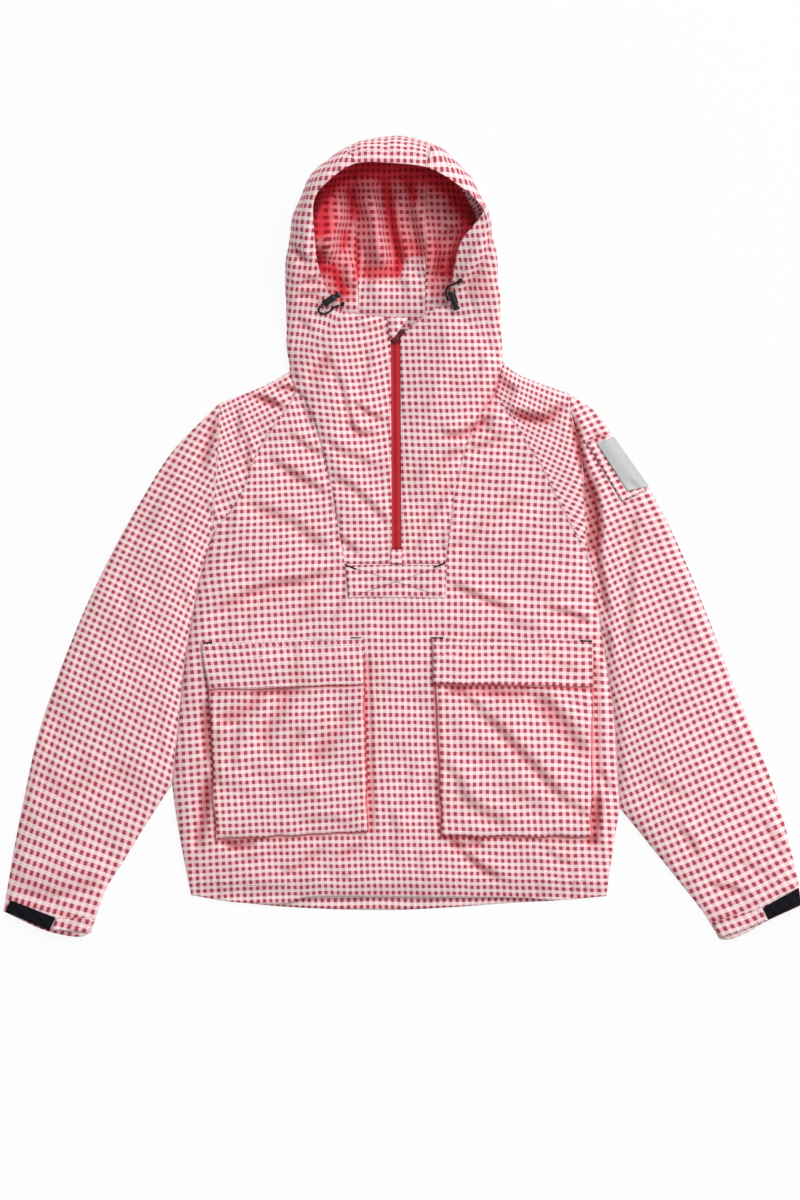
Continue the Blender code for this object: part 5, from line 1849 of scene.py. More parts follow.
    def _yoke(self, laid: LaidForm, seams: Seams, fold: Points) -> tuple[Points, Points]:
        """Half of the yoke, from its base up to the neck, between placket seam and zip.

        Args:
            laid: the laid form.
            seams: the seams of that side.
            fold: the neck's edge, where the hood's side starts.
        Returns:
            Its points and their painted red light and shade.
        """
        side = seams.side
        corner, join = (RIGHT_SHOULDER, RIGHT_NECK_JOIN) if side is Side.RIGHT else (LEFT_SHOULDER, LEFT_NECK_JOIN)
        neck_seam = line(corner, join, np.linspace(0, 1, self.neck_seam_cells + 1))
        outer = laid.raised(np.vstack([neck_seam, seams["placket"]]))
        outer[0] = fold[-1]
        edge = even(EDGES[side]["neck"], self.neck_edge_cells)
        edge_z = np.interp(shares_of(edge), (0, 1), (fold[0, 2], Zip.height(edge[-1, 1])))
        top = np.vstack([fold[::-1], np.column_stack([edge, edge_z])[1:]])
        inner_y = np.interp(shares_of(outer), (0, 1), (edge[-1, 1], 0.045))
        inner_x = Zip.centre(inner_y) + side.sign * self.zip_half_slot
        inner = np.stack([inner_x, inner_y, Zip.height(inner_y)], axis=1)
        top[-1] = inner[0]
        base = laid.raised(sample([outer[-1, :2], inner[-1, :2]], shares_of(top)))
        base[0], base[-1] = outer[-1], inner[-1]
        grid = between(side, top, base, outer, inner)
        relief = self._relief(laid, grid, side)
        grid[..., 2] += relief
        grid = drawn_in(grid, self.seam_gap, Edge.BASE, side.outer)
        end = 0 if side is Side.RIGHT else -1
        fold_row = slice(0, len(fold)) if side is Side.RIGHT else slice(-len(fold), None)
        grid[0, fold_row] = fold[::-1] if side is Side.RIGHT else fold
        grid[0, end] = fold[-1]
        return grid, valley_painted_shading(relief, grid[..., :2])

    def _relief(self, laid: LaidForm, grid: Points, side: Side) -> Points:
        """The laid form's creases over the yoke, which fade at its free edge and at the zip.

        Args:
            laid: the laid form.
            grid: the yoke's grid in plan.
            side: the wearer's side.
        Returns:
            The heights to add.
        """
        rows, columns = np.arange(grid.shape[0])[:, None], np.arange(grid.shape[1])
        to_zip = columns if side is Side.LEFT else columns[::-1]
        return laid.relief(grid) * rise(0, 5, rows) * (0.15 + 0.85 * rise(0, 7, to_zip))


# ---------------------------------------------------------------- zip


@dataclass
class Zip:
    """A coil zip from the neck to the yoke's base, under the yoke's edges."""

    top: float = 0.338
    base: float = 0.064
    tape_half: float = 0.0125
    tape_wall: float = 0.0007
    ridge: float = 0.00035  # a low ridge along the tape on each side of the coil
    ridge_at: float = 0.62  # as a share of the tape's half width
    tooth_pitch: float = 0.00155
    tooth_half: float = 0.0026
    tooth_radius: float = 0.00042
    below: float = 0.0013  # the tape's face below the yokes' edges

    @staticmethod
    def height(y: Points | float) -> Points:
        """Outer height of the yokes' edges along the zip."""
        return np.interp(y, (0.045, 0.12, 0.22, 0.30, 0.352), (0.0145, 0.0150, 0.0160, 0.0175, 0.0190))

    @staticmethod
    def centre(y: Points | float) -> Points:
        """The zip's centre line."""
        return np.interp(y, (ZIP_BASE[1], ZIP_TOP[1]), (ZIP_BASE[0], ZIP_TOP[0]))

    def build(self, shop: Wardrobe) -> None:
        """Makes the tape with its two ridges and the coil's teeth.

        Args:
            shop: makes the pieces.
        """
        y = np.linspace(self.top, self.base, 200)
        across = np.linspace(-1, 1, 17)
        rise_z = self.ridge * bell(np.abs(across) - self.ridge_at, 0.12)
        x = self.centre(y)[:, None] + across[None, :] * self.tape_half
        z = (self.height(y) - self.below)[:, None] + rise_z[None, :]
        points = np.stack([x, np.repeat(y[:, None], 17, 1), z], axis=-1)
        # Painted shadow: the tape's colour darkens towards its top, where the neck flap covers it.
        painted_shading = paired(np.zeros(points.shape[:2]), 0.85 * rise(0.3165, 0.3225, points[..., 1]))
        patch = Patch(points, points[..., :2] * CHECKS_PER_M, painted_shading)
        mesh = mesh_of("zip_tape_cloth", [patch])
        tape = shop.add("zip_tape_cloth", mesh, shop.finishes.tape, "zip", ("zip_tape",))
        shell = tape.modifiers.new("wall", "SOLIDIFY")
        shell.thickness, shell.offset = self.tape_wall, -1
        shop.add("zip_coil_teeth", joined(self._teeth(), "zip_coil_teeth"), shop.finishes.coil, "zip", ("zip_coil",))

    def _teeth(self) -> list[Shape]:
        """Bent wire teeth, from the two sides by turns.

        Returns:
            The shapes of the teeth.
        """
        shapes = []
        count = int((self.top - 0.012 - self.base) / self.tooth_pitch)
        for index in range(count):
            y = self.base + 0.0008 + index * self.tooth_pitch
            side = 1 if index % 2 else -1
            x0, z0 = float(self.centre(y)), float(self.height(y)) - self.below + 0.0005
            t = np.linspace(-1, 1, 9)
            across = side * (-0.10 + t * 0.95) * self.tooth_half
            arch = 0.0007 * (1 - t**2)
            path = np.stack([x0 + across, y + 0.00018 * np.sin(t * 3) * side, z0 + arch], axis=1)
            radii = self.tooth_radius * (0.75 + 0.35 * bell(t * side - 0.55, 0.3))
            shapes.append(tube(path, radii, 6))
        return shapes


# ---------------------------------------------------------------- pieces laid on the front and sleeves


def quad(corners: Route, across: Points, down: Points) -> Points:
    """A plan grid between four straight edges, whose corners run top -X, top +X, base +X, base -X.

    Args:
        corners: its four corners.
        across: shares from -X to +X.
        down: shares from +Y to -Y.
    Returns:
        The grid.
    """
    top_a, top_b, base_b, base_a = corners
    top, base = line(top_a, top_b, across), line(base_a, base_b, across)
    return coons(top, base, line(top_a, base_a, down), line(top_b, base_b, down))


def wavy(plan: Points, size: float, seed: int) -> Points:
    """A plan grid whose outline wanders a little, as a sewn edge does."""
    return plan + size * np.stack([ripples(plan, 0.05, seed), ripples(plan, 0.05, seed + 1)], axis=-1)


@dataclass
class LaidPiece:
    """A flat piece sewn or pressed on the upper layer."""

    name: str
    corners: Route
    cells: tuple[int, int]  # across and down
    gap: float
    wall: float
    turned_edge: float  # extra height of the folded-in edge
    wander: float = 0.0005

    def placed(self, surface: BVHTree) -> tuple[Points, Points]:
        """Its plan and its outer face.

        Args:
            surface: the faces that it lies on.
        Returns:
            Both grids.
        """
        across, down = (np.linspace(0, 1, cells + 1) for cells in self.cells)
        plan = wavy(quad(self.corners, across, down), self.wander, len(self.name))
        points = dropped(surface, plan, self.gap + self.wall)
        points[..., 2] = smoothed(points[..., 2], 2)
        width = np.linalg.norm(points[0, 0] - points[0, -1])
        depth = np.linalg.norm(points[0, 0] - points[-1, 0])
        u, v = np.minimum(across, across[::-1])[None, :] * width, np.minimum(down, down[::-1])[:, None] * depth
        edge = np.minimum(u, v)
        points[..., 2] += self.turned_edge * (bell(edge - 0.0028, 0.0022) - 0.55 * np.exp(-edge / 0.0007))
        return plan, points


def smoothed(values: Points, rounds: int) -> Points:
    """A grid of values averaged with its neighbours.

    Args:
        values: the grid.
        rounds: how many times.
    Returns:
        The averaged grid.
    """
    for _ in range(rounds):
        padded = np.pad(values, [(1, 1), (1, 1)] + [(0, 0)] * (values.ndim - 2), mode="edge")
        values = (4 * values + padded[:-2, 1:-1] + padded[2:, 1:-1] + padded[1:-1, :-2] + padded[1:-1, 2:]) / 8
    return values


def edge_painted_red_light(shape: tuple[int, int], sizes: tuple[float, float], reach: float, strength: float,
               *edges: Edge) -> Points:
    """Painted red light along the folded edges of a piece.

    Args:
        shape: rows and columns of its grid.
        sizes: its depth and width in metres.
        reach: how far in the light goes.
        strength: the share at the edge.
        edges: which edges.
    Returns:
        The share at each point.
    """
    rows = np.linspace(0, 1, shape[0])[:, None] * sizes[0]
    columns = np.linspace(0, 1, shape[1])[None, :] * sizes[1]
    away = {Edge.TOP: rows, Edge.BASE: sizes[0] - rows, Edge.START: columns, Edge.END: sizes[1] - columns}
    total = np.zeros(shape)
    for edge in edges:
        total = np.maximum(total, strength * bell(away[edge], reach))
    return paired(total)


def beside(points: Points, *outlines: Route, reach: float = 0.0026, share: float = 0.75) -> Points:
    """Painted red shade on the cloth beside the edges of pieces that stand off it.

    Args:
        points: the cloth's grid.
        outlines: the corners of the pieces.
        reach: how far from their edges it goes.
        share: its share at the edges.
    Returns:
        The painted red shade at each point.
    """
    edges = [np.array(edge) for corners in outlines for edge in zip(corners, (*corners[1:], corners[0]))]
    away = np.min([nearest(points[..., :2], edge)[0] for edge in edges], axis=0)
    return paired(share * bell(away, reach))


@dataclass
class Pocket:
    """A bellows pocket that stands off the front, open under its flap."""

    side: Side
    corners: Route
    creases: tuple[Crease, ...]
    cells: tuple[int, int] = (76, 84)
    spread: float = 0.0050
    mouth: float = 0.0036
    roll: float = 0.0068
    seat: float = 0.0009
    glow: float = 0.0030  # how far in the painted red light of its edges goes
    pleat_glow: float = 0.0052  # the same where its pleat shows, towards the middle of the front

    def build(self, shop: Wardrobe, surface: BVHTree) -> None:
        """Makes the pocket.

        Args:
            shop: makes the pieces.
            surface: the faces that it lies on.
        """
        across, down = bunched(self.cells[0], 1, 1), bunched(self.cells[1], 0, 1)
        plan = wavy(quad(self.corners, across, down), 0.0010, 60 + len(self.side.value))
        width = float(np.linalg.norm(plan[0, -1] - plan[0, 0]))
        depth = float(np.linalg.norm(plan[-1, 0] - plan[0, 0]))
        u, v = across[None, :], down[:, None]
        to_edge = np.minimum(np.minimum(u, 1 - u) * width, (1 - v) * depth)
        roll = self.roll * (1 + 0.25 * ripples(plan, 0.06, 71))
        risen = np.sqrt(1 - (1 - np.clip(to_edge / roll, 0, 1)) ** 2)
        spread = self.mouth + (self.spread - self.mouth) * np.clip(v * 4, 0, 1)
        relief = creased(self.creases, plan) + ripples(plan, 0.07, 72) * 0.0006 + ripples(plan, 0.025, 73) * 0.0002
        points = dropped(surface, plan)
        points[..., 2] = smoothed(points[..., 2], 3) + self.seat + spread * risen
        points[..., 2] += np.maximum(relief, -0.75 * spread) * risen
        counts = GRAINS[f"pocket_{self.side.value}"].at(plan)
        shape, sizes = points.shape[:2], (depth, width)
        # Painted red light along its edges and pleat, painted red shade beside the flap's edges, and painted light
        # and shade in its creases.
        glow = np.maximum.reduce([
            edge_painted_red_light(shape, sizes, self.glow, 1.0, Edge.START, Edge.END, Edge.BASE),
            edge_painted_red_light(shape, sizes, self.pleat_glow, 1.0, self.side.inner),
            beside(points, FLAPS[self.side]),
            valley_painted_shading(relief * risen, plan),
        ])
        patch = Patch(points, counts, glow)
        shop.cloth(f"pocket_cloth_{self.side.value}", f"pocket_{self.side.value}", [patch])


@dataclass
class Flap:
    """A flap sewn to the front above its pocket and lying down over it."""

    side: Side
    corners: Route
    creases: tuple[Crease, ...] = ()
    cells: tuple[int, int] = (88, 34)
    full: float = 0.0050
    sewn: float = 0.0019
    rest: float = 0.0013  # its face above the pocket's
    rise_end: float = 0.046
    fall: float = 0.012
    end_share: float = 0.6

    def build(self, shop: Wardrobe, front: BVHTree, surface: BVHTree) -> None:
        """Makes the flap, sewn to the front and laid down on its pocket.

        Args:
            shop: makes the pieces.
            front: the faces of the front alone.
            surface: the same with the pockets.
        """
        across, down = np.linspace(0, 1, self.cells[0] + 1), np.linspace(0, 1, self.cells[1] + 1)
        plan = wavy(quad(self.corners, across, down), 0.0008, 80 + len(self.side.value))
        width = float(np.linalg.norm(plan[0, -1] - plan[0, 0]))
        depth = float(np.linalg.norm(plan[-1, 0] - plan[0, 0]))
        to_end = np.clip(np.minimum(across, 1 - across)[None, :] * width / self.fall, 0, 1)
        over = self.sewn + self.full * (self.end_share + (1 - self.end_share) * np.sqrt(to_end))
        risen = np.sin(np.clip(down[:, None] * depth / self.rise_end, 0, 1) * math.pi / 2)
        relief = creased(self.creases, plan) + ripples(plan, 0.06, 91) * 0.0005
        points = dropped(front, plan)
        lies = smoothed(dropped(surface, plan)[..., 2], 3) + self.rest
        relief *= rise(0, 0.2, down)[:, None]
        points[..., 2] = smoothed(points[..., 2], 3) + self.sewn + (over - self.sewn) * risen + relief
        points[..., 2] = smoothed(np.maximum(points[..., 2], lies), 2)
        edge = np.minimum(np.minimum(across, 1 - across)[None, :] * width, (1 - down)[:, None] * depth)
        points[..., 2] += 0.0006 * bell(edge - 0.004, 0.003) - 0.0007 * np.exp(-edge / 0.0008)
        side = self.side.value
        # Painted red light along its lower edge, with painted light and shade in its creases.
        glow = edge_painted_red_light(points.shape[:2], (depth, width), 0.0018, 0.7, Edge.BASE)
        patch = Patch(points, GRAINS[f"flap_{side}"].at(plan), np.maximum(glow, valley_painted_shading(relief, plan)))
        shop.cloth(f"flap_cloth_{side}", f"flap_{side}", [patch])


@dataclass
class Trims:
    """Patches, cuff tabs and tapes that lie on the front and the sleeves."""

    placket: Route = ((-0.0640, 0.0440), (0.0635, 0.0440), (0.0620, 0.0030), (-0.0595, 0.0030))
    zip_end: Route = ((-0.0070, 0.0630), (0.0080, 0.0630), (0.0080, 0.0452), (-0.0070, 0.0452))
    right_strip: Route = ((-0.4820, -0.3750), (-0.4252, -0.3965), (-0.4332, -0.4132), (-0.4885, -0.3895))
    right_tab: Route = ((-0.4245, -0.3965), (-0.3750, -0.3975), (-0.3845, -0.4155), (-0.4320, -0.4130))
    left_strip: Route = ((0.4585, -0.3842), (0.5035, -0.3595), (0.5065, -0.3805), (0.4655, -0.3995))
    left_tab: Route = ((0.3945, -0.4030), (0.4575, -0.3842), (0.4645, -0.4000), (0.4065, -0.4225))
    backing: Route = ((0.2360, 0.1985), (0.2650, 0.2065), (0.3120, 0.1370), (0.2830, 0.1230))
    face: Route = ((0.2505, 0.1966), (0.2728, 0.2034), (0.3158, 0.1424), (0.2894, 0.1360))
    tape_size: tuple[float, float] = (0.060, 0.014)
    tape_border: tuple[float, float] = (0.0014, 0.0024)

    def build(self, shop: Wardrobe, surface: BVHTree) -> None:
        """Makes every trim.

        Args:
            shop: makes the pieces.
            surface: the faces that they lie on.
        """
        front = (("front_panel_cloth",), GRAINS["front"])
        right, left = ((f"sleeve_top_cloth_{side.value}",) for side in Side)
        for name, node, corners, cells, gap, wall, edge, rests_on, grain, shift in (
            ("placket_patch_cloth", "placket_patch", self.placket, (64, 22), 0.0002, 0.0004, 0.0003, *front,
             (0.3, 0.6)),
            ("zip_end_patch_cloth", "zip_end_patch", self.zip_end, (12, 12), 0.0004, 0.0007, 0.0003, *front,
             (0.3, 0.6)),
            ("cuff_tab_cloth_right", "cuff_tab_right", self.right_tab, (30, 12), 0.0018, 0.0007, 0.0010, right,
             GRAINS["sleeve_right"], (0.35, 0.2)),
            ("cuff_tab_cloth_left", "cuff_tab_left", self.left_tab, (34, 12), 0.0018, 0.0007, 0.0010, left,
             GRAINS["sleeve_left"], (0.2, 0.45)),
            ("patch_backing_cloth", "patch_backing", self.backing, (18, 40), 0.0012, 0.0007, 0.0010, left,
             GRAINS["sleeve_left"], (0.5, 0.5)),
        ):
            plan, points = LaidPiece(name, corners, cells, gap, wall, edge).placed(surface)
            shop.cloth(name, node, [Patch(points, grain.at(plan) + np.array(shift))], wall)
        self._tape(shop, surface, "cuff_strip_tape_right", "cuff_strip_right", self.right_strip)
        self._tape(shop, surface, "cuff_strip_tape_left", "cuff_strip_left", self.left_strip)
        face = LaidPiece("sleeve_patch", self.face, (28, 64), 0.0022, 0.0012, 0.0, 0.0)
        plan, points = face.placed(surface)
        shop.cloth(face.name, "patch_face", [Patch(points, plan * CHECKS_PER_M)], face.wall,
                   finish=shop.finishes.patch, slot="grey_patch")

    def _tape(self, shop: Wardrobe, surface: BVHTree, name: str, node: str, corners: Route) -> None:
        """A strip of black hook tape along the cuff, with its sewn border.

        Args:
            shop: makes the piece.
            surface: the faces that it lies on.
            name: its name.
            node: the node that it replaces.
            corners: its corners.
        """
        piece = LaidPiece(name, corners, (64, 16), 0.0012, 0.0011, 0.0, 0.0002)
        plan, points = piece.placed(surface)
        u, v = (
            np.minimum(np.linspace(0, 1, cells + 1), np.linspace(1, 0, cells + 1)) * size
            for cells, size in zip(piece.cells, self.tape_size)
        )
        inside = rise(*self.tape_border, np.minimum(u[None, :], v[:, None]))
        hooks = np.random.RandomState(7).uniform(-1, 1, points.shape[:2])
        points[..., 2] += inside * (0.0005 + 0.00025 * hooks)
        shop.cloth(name, node, [Patch(points, plan * CHECKS_PER_M)], piece.wall,
                   finish=shop.finishes.hooks, slot="hook_tape")


@dataclass
class NeckFlap:
    """The neck corner that folds over the zip's top."""

    corners: Route = ((-0.0120, 0.3545), (0.0150, 0.3520), (-0.0005, 0.3290), (-0.0075, 0.3240))
    cells: tuple[int, int] = (26, 30)
    half_width: float = 0.008
    bulge: float = 0.0035
    over: float = 0.0013

    def build(self, shop: Wardrobe) -> None:
        """Makes the corner.

        Args:
            shop: makes the pieces.
        """
        across, down = (np.linspace(0, 1, cells + 1) for cells in self.cells)
        plan = wavy(quad(self.corners, across, down), 0.0004, 97)
        x, y = plan[..., 0], plan[..., 1]
        bulge = bell(x - Zip.centre(y), self.half_width) * self.bulge
        edge = np.minimum(np.minimum(across, 1 - across)[None, :] * 0.019, (1 - down)[:, None] * 0.024)
        z = Zip.height(y) + self.over + bulge + ripples(plan, 0.02, 98) * 0.0002 - 0.0005 * np.exp(-edge / 0.0008)
        patch = Patch(np.concatenate([plan, z[..., None]], axis=-1), GRAINS["yoke_left"].at(plan) + 0.4)
        shop.cloth("neck_flap_cloth", "zip_garage", [patch])


# ---------------------------------------------------------------- cord locks


@dataclass
class CordLock:
    """A barrel cord lock on the hood's edge, with its spring button."""

    place: dict[Side, tuple[float, float, float]] = field(default_factory=lambda: {
        Side.RIGHT: (-0.0835, 0.3735, 33.0), Side.LEFT: (0.0715, 0.3770, -73.0),
    })
    radius: float = 0.0048
    length: float = 0.0170
    rim: float = 0.0008
    head: float = 0.0042
    head_length: float = 0.0040
    stem: float = 0.0031
    travel: float = 0.0030
    gap: float = 0.0003
    steps: int = 48
    sharp: float = 38.0  # degrees, from which an edge stays sharp

    def build(self, shop: Wardrobe, side: Side) -> None:
        """Makes the barrel and the button on one side, where the CAD's stand.

        Args:
            shop: makes the pieces.
            side: the wearer's side.
        """
        low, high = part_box(f"cord_lock_{side.value}")
        x, y, turn = self.place[side]
        centre = np.array([x, y, (low[2] + high[2]) / 2])
        run = np.array([math.cos(math.radians(turn)), math.sin(math.radians(turn)), 0.0])
        for part, profile, node, body in (
            ("barrel", self._barrel(), f"cord_lock_{side.value}", GARMENT),
            ("button", self._button(), f"lock_button_{side.value}", f"button_{side.value}"),
        ):
            name = f"cord_lock_{part}_{side.value}"
            mesh = self._turned(name, profile, centre, run)
            shop.add(name, mesh, shop.finishes.plastic, "black_plastic", (node,), body)

    def _barrel(self) -> Route:
        """The barrel's profile, with its rims and the bore that the button fills.

        Returns:
            Its corners, each of (radius, place along).
        """
        half, rim, radius = self.length / 2, self.rim, self.radius
        return (
            (0, -half), (radius - 1.8 * rim, -half), (radius - 0.7 * rim, -half + 0.4 * rim),
            (radius, -half + 2 * rim), (radius, -half + 4 * rim), (radius - rim / 2, -half + 4.6 * rim),
            (radius - rim / 2, -half + 7 * rim), (radius - 0.9 * rim, 0), (radius - rim / 2, half - 7 * rim),
            (radius - rim / 2, half - 4 * rim), (radius, half - 3.4 * rim), (radius, half - rim),
            (radius - 0.5 * rim, half - 0.2 * rim), (radius - 1.1 * rim, half), (self.head - 0.3 * rim, half),
            (self.head - 0.4 * rim, half - 6 * rim), (0, half - 6 * rim),
        )

    def _button(self) -> Route:
        """The button's profile: a stem in the bore and a head that stands its travel off the barrel.

        Returns:
            Its corners, each of (radius, place along).
        """
        rim, head, start = self.rim, self.head, self.length / 2 - 1.5 * self.rim
        out = self.length / 2 + self.travel + self.gap
        top = out + self.head_length
        return (
            (0, start), (self.stem, start), (self.stem, out), (head - 0.5 * rim, out), (head, out + 0.5 * rim),
            (head, top - 1.5 * rim), (head - 0.4 * rim, top - 0.5 * rim), (head - 1.4 * rim, top),
            (0, top + 0.3 * rim),
        )

    def _turned(self, name: str, profile: Route, centre: Points, run: Points) -> bpy.types.Mesh:
        """A profile of (radius, place along) turned about the lock's line.

        Args:
            name: the mesh's name.
            profile: the profile's corners.
            centre: where the line starts.
            run: the line's direction.
        Returns:
            The mesh.
        """
        turns = np.linspace(0, math.tau, self.steps, endpoint=False)
        ring = np.outer(np.cos(turns), (-run[1], run[0], 0.0)) + np.outer(np.sin(turns), (0.0, 0.0, 1.0))
        rings = [centre + run * along + ring * radius for radius, along in profile[1:-1]]
        points = np.vstack([centre + run * profile[0][1], *rings, centre + run * profile[-1][1]])
        faces: list[tuple[int, ...]] = []
        last = 1 + (len(rings) - 1) * self.steps
        for step in range(self.steps):
            ahead = (step + 1) % self.steps
            faces.append((0, 1 + ahead, 1 + step))
            for start in range(1, last, self.steps):
                a, b = start + step, start + ahead
                faces.append((a, b, b + self.steps, a + self.steps))
            faces.append((last + step, last + ahead, len(points) - 1))
        mesh = joined([(points, faces)], name)
        mesh.set_sharp_from_angle(angle=math.radians(self.sharp))
        return mesh


# ---------------------------------------------------------------- stitching


@dataclass(frozen=True)
class StitchRow:
    """A row of stitches along a line in plan."""

    route: Points
    offset: float = 0.0  # to the left of its run
    length: float = 0.0027
    gap: float = 0.0019
    radius: float = 0.00031
    sink: float = 0.00006


@dataclass
class Stitching:
    """Rows of topstitching, set on the cloth below and joined by place."""

    surface: BVHTree
    first: float = 0.0008  # where a row's first stitch starts
    steepest: float = 0.004  # the height that a stitch may span
    bar_pitch: float = 0.00062
    bar_half: float = 0.0010
    bar_sink: float = 0.00035

    def row(self, row: StitchRow) -> list[Shape]:
        """The stitches of one row.

        Args:
            row: its route and its sizes.
        Returns:
            Their shapes.
        """
        curve = np.asarray(row.route, float)
        run = unit(np.gradient(curve, axis=0))
        curve = curve + row.offset * np.stack([-run[:, 1], run[:, 0]], axis=1)
        lengths = lengths_of(curve)
        radii = row.radius * np.array([0.6, 1.0, 1.0, 0.6])
        shapes = []
        for start in np.arange(self.first, lengths[-1] - row.length, row.length + row.gap):
            at = start + np.linspace(0, 1, 4) * row.length
            plan = np.stack([np.interp(at, lengths, curve[:, axis]) for axis in (0, 1)], axis=1)
            path = dropped(self.surface, plan, row.radius * 0.8 - row.sink)
            if np.ptp(path[:, 2]) > self.steepest:
                continue
            path[(0, -1), 2] -= row.radius * 1.3
            shapes.append(tube(path, radii, 5))
        return shapes

    def add(self, shop: Wardrobe, name: str, rows: list[StitchRow]) -> None:
        """One piece of several rows."""
        shapes = [shape for row in rows for shape in self.row(row)]
        shop.add(name, joined(shapes, name), shop.finishes.thread, "check")

    def bars(self, shop: Wardrobe, name: str, places: Route) -> None:
        """One piece of several bartacks, each given by the x and y of its ends."""
        shapes = [shape for place in places for shape in self.bartack(place[:2], place[2:])]
        shop.add(name, joined(shapes, name), shop.finishes.black_thread, "check")

    def bartack(self, start: tuple[float, float], end: tuple[float, float]) -> list[Shape]:
        """A short dense bar of stitches across its own line.

        Args:
            start: one end.
            end: the other end.
        Returns:
            The shapes of its stitches.
        """
        start, end = np.array(start), np.array(end)
        run = unit(end - start)
        across = np.array([-run[1], run[0]]) * self.bar_half
        shapes = []
        for at in np.arange(0, np.linalg.norm(end - start), self.bar_pitch):
            middle = start + run * at
            path = dropped(self.surface, np.array([middle - across, middle, middle + across]), 0.0004)
            path[(0, -1), 2] -= self.bar_sink
            shapes.append(tube(path, np.array([0.00028, 0.00036, 0.00028]), 5))
        return shapes


# ---------------------------------------------------------------- creases

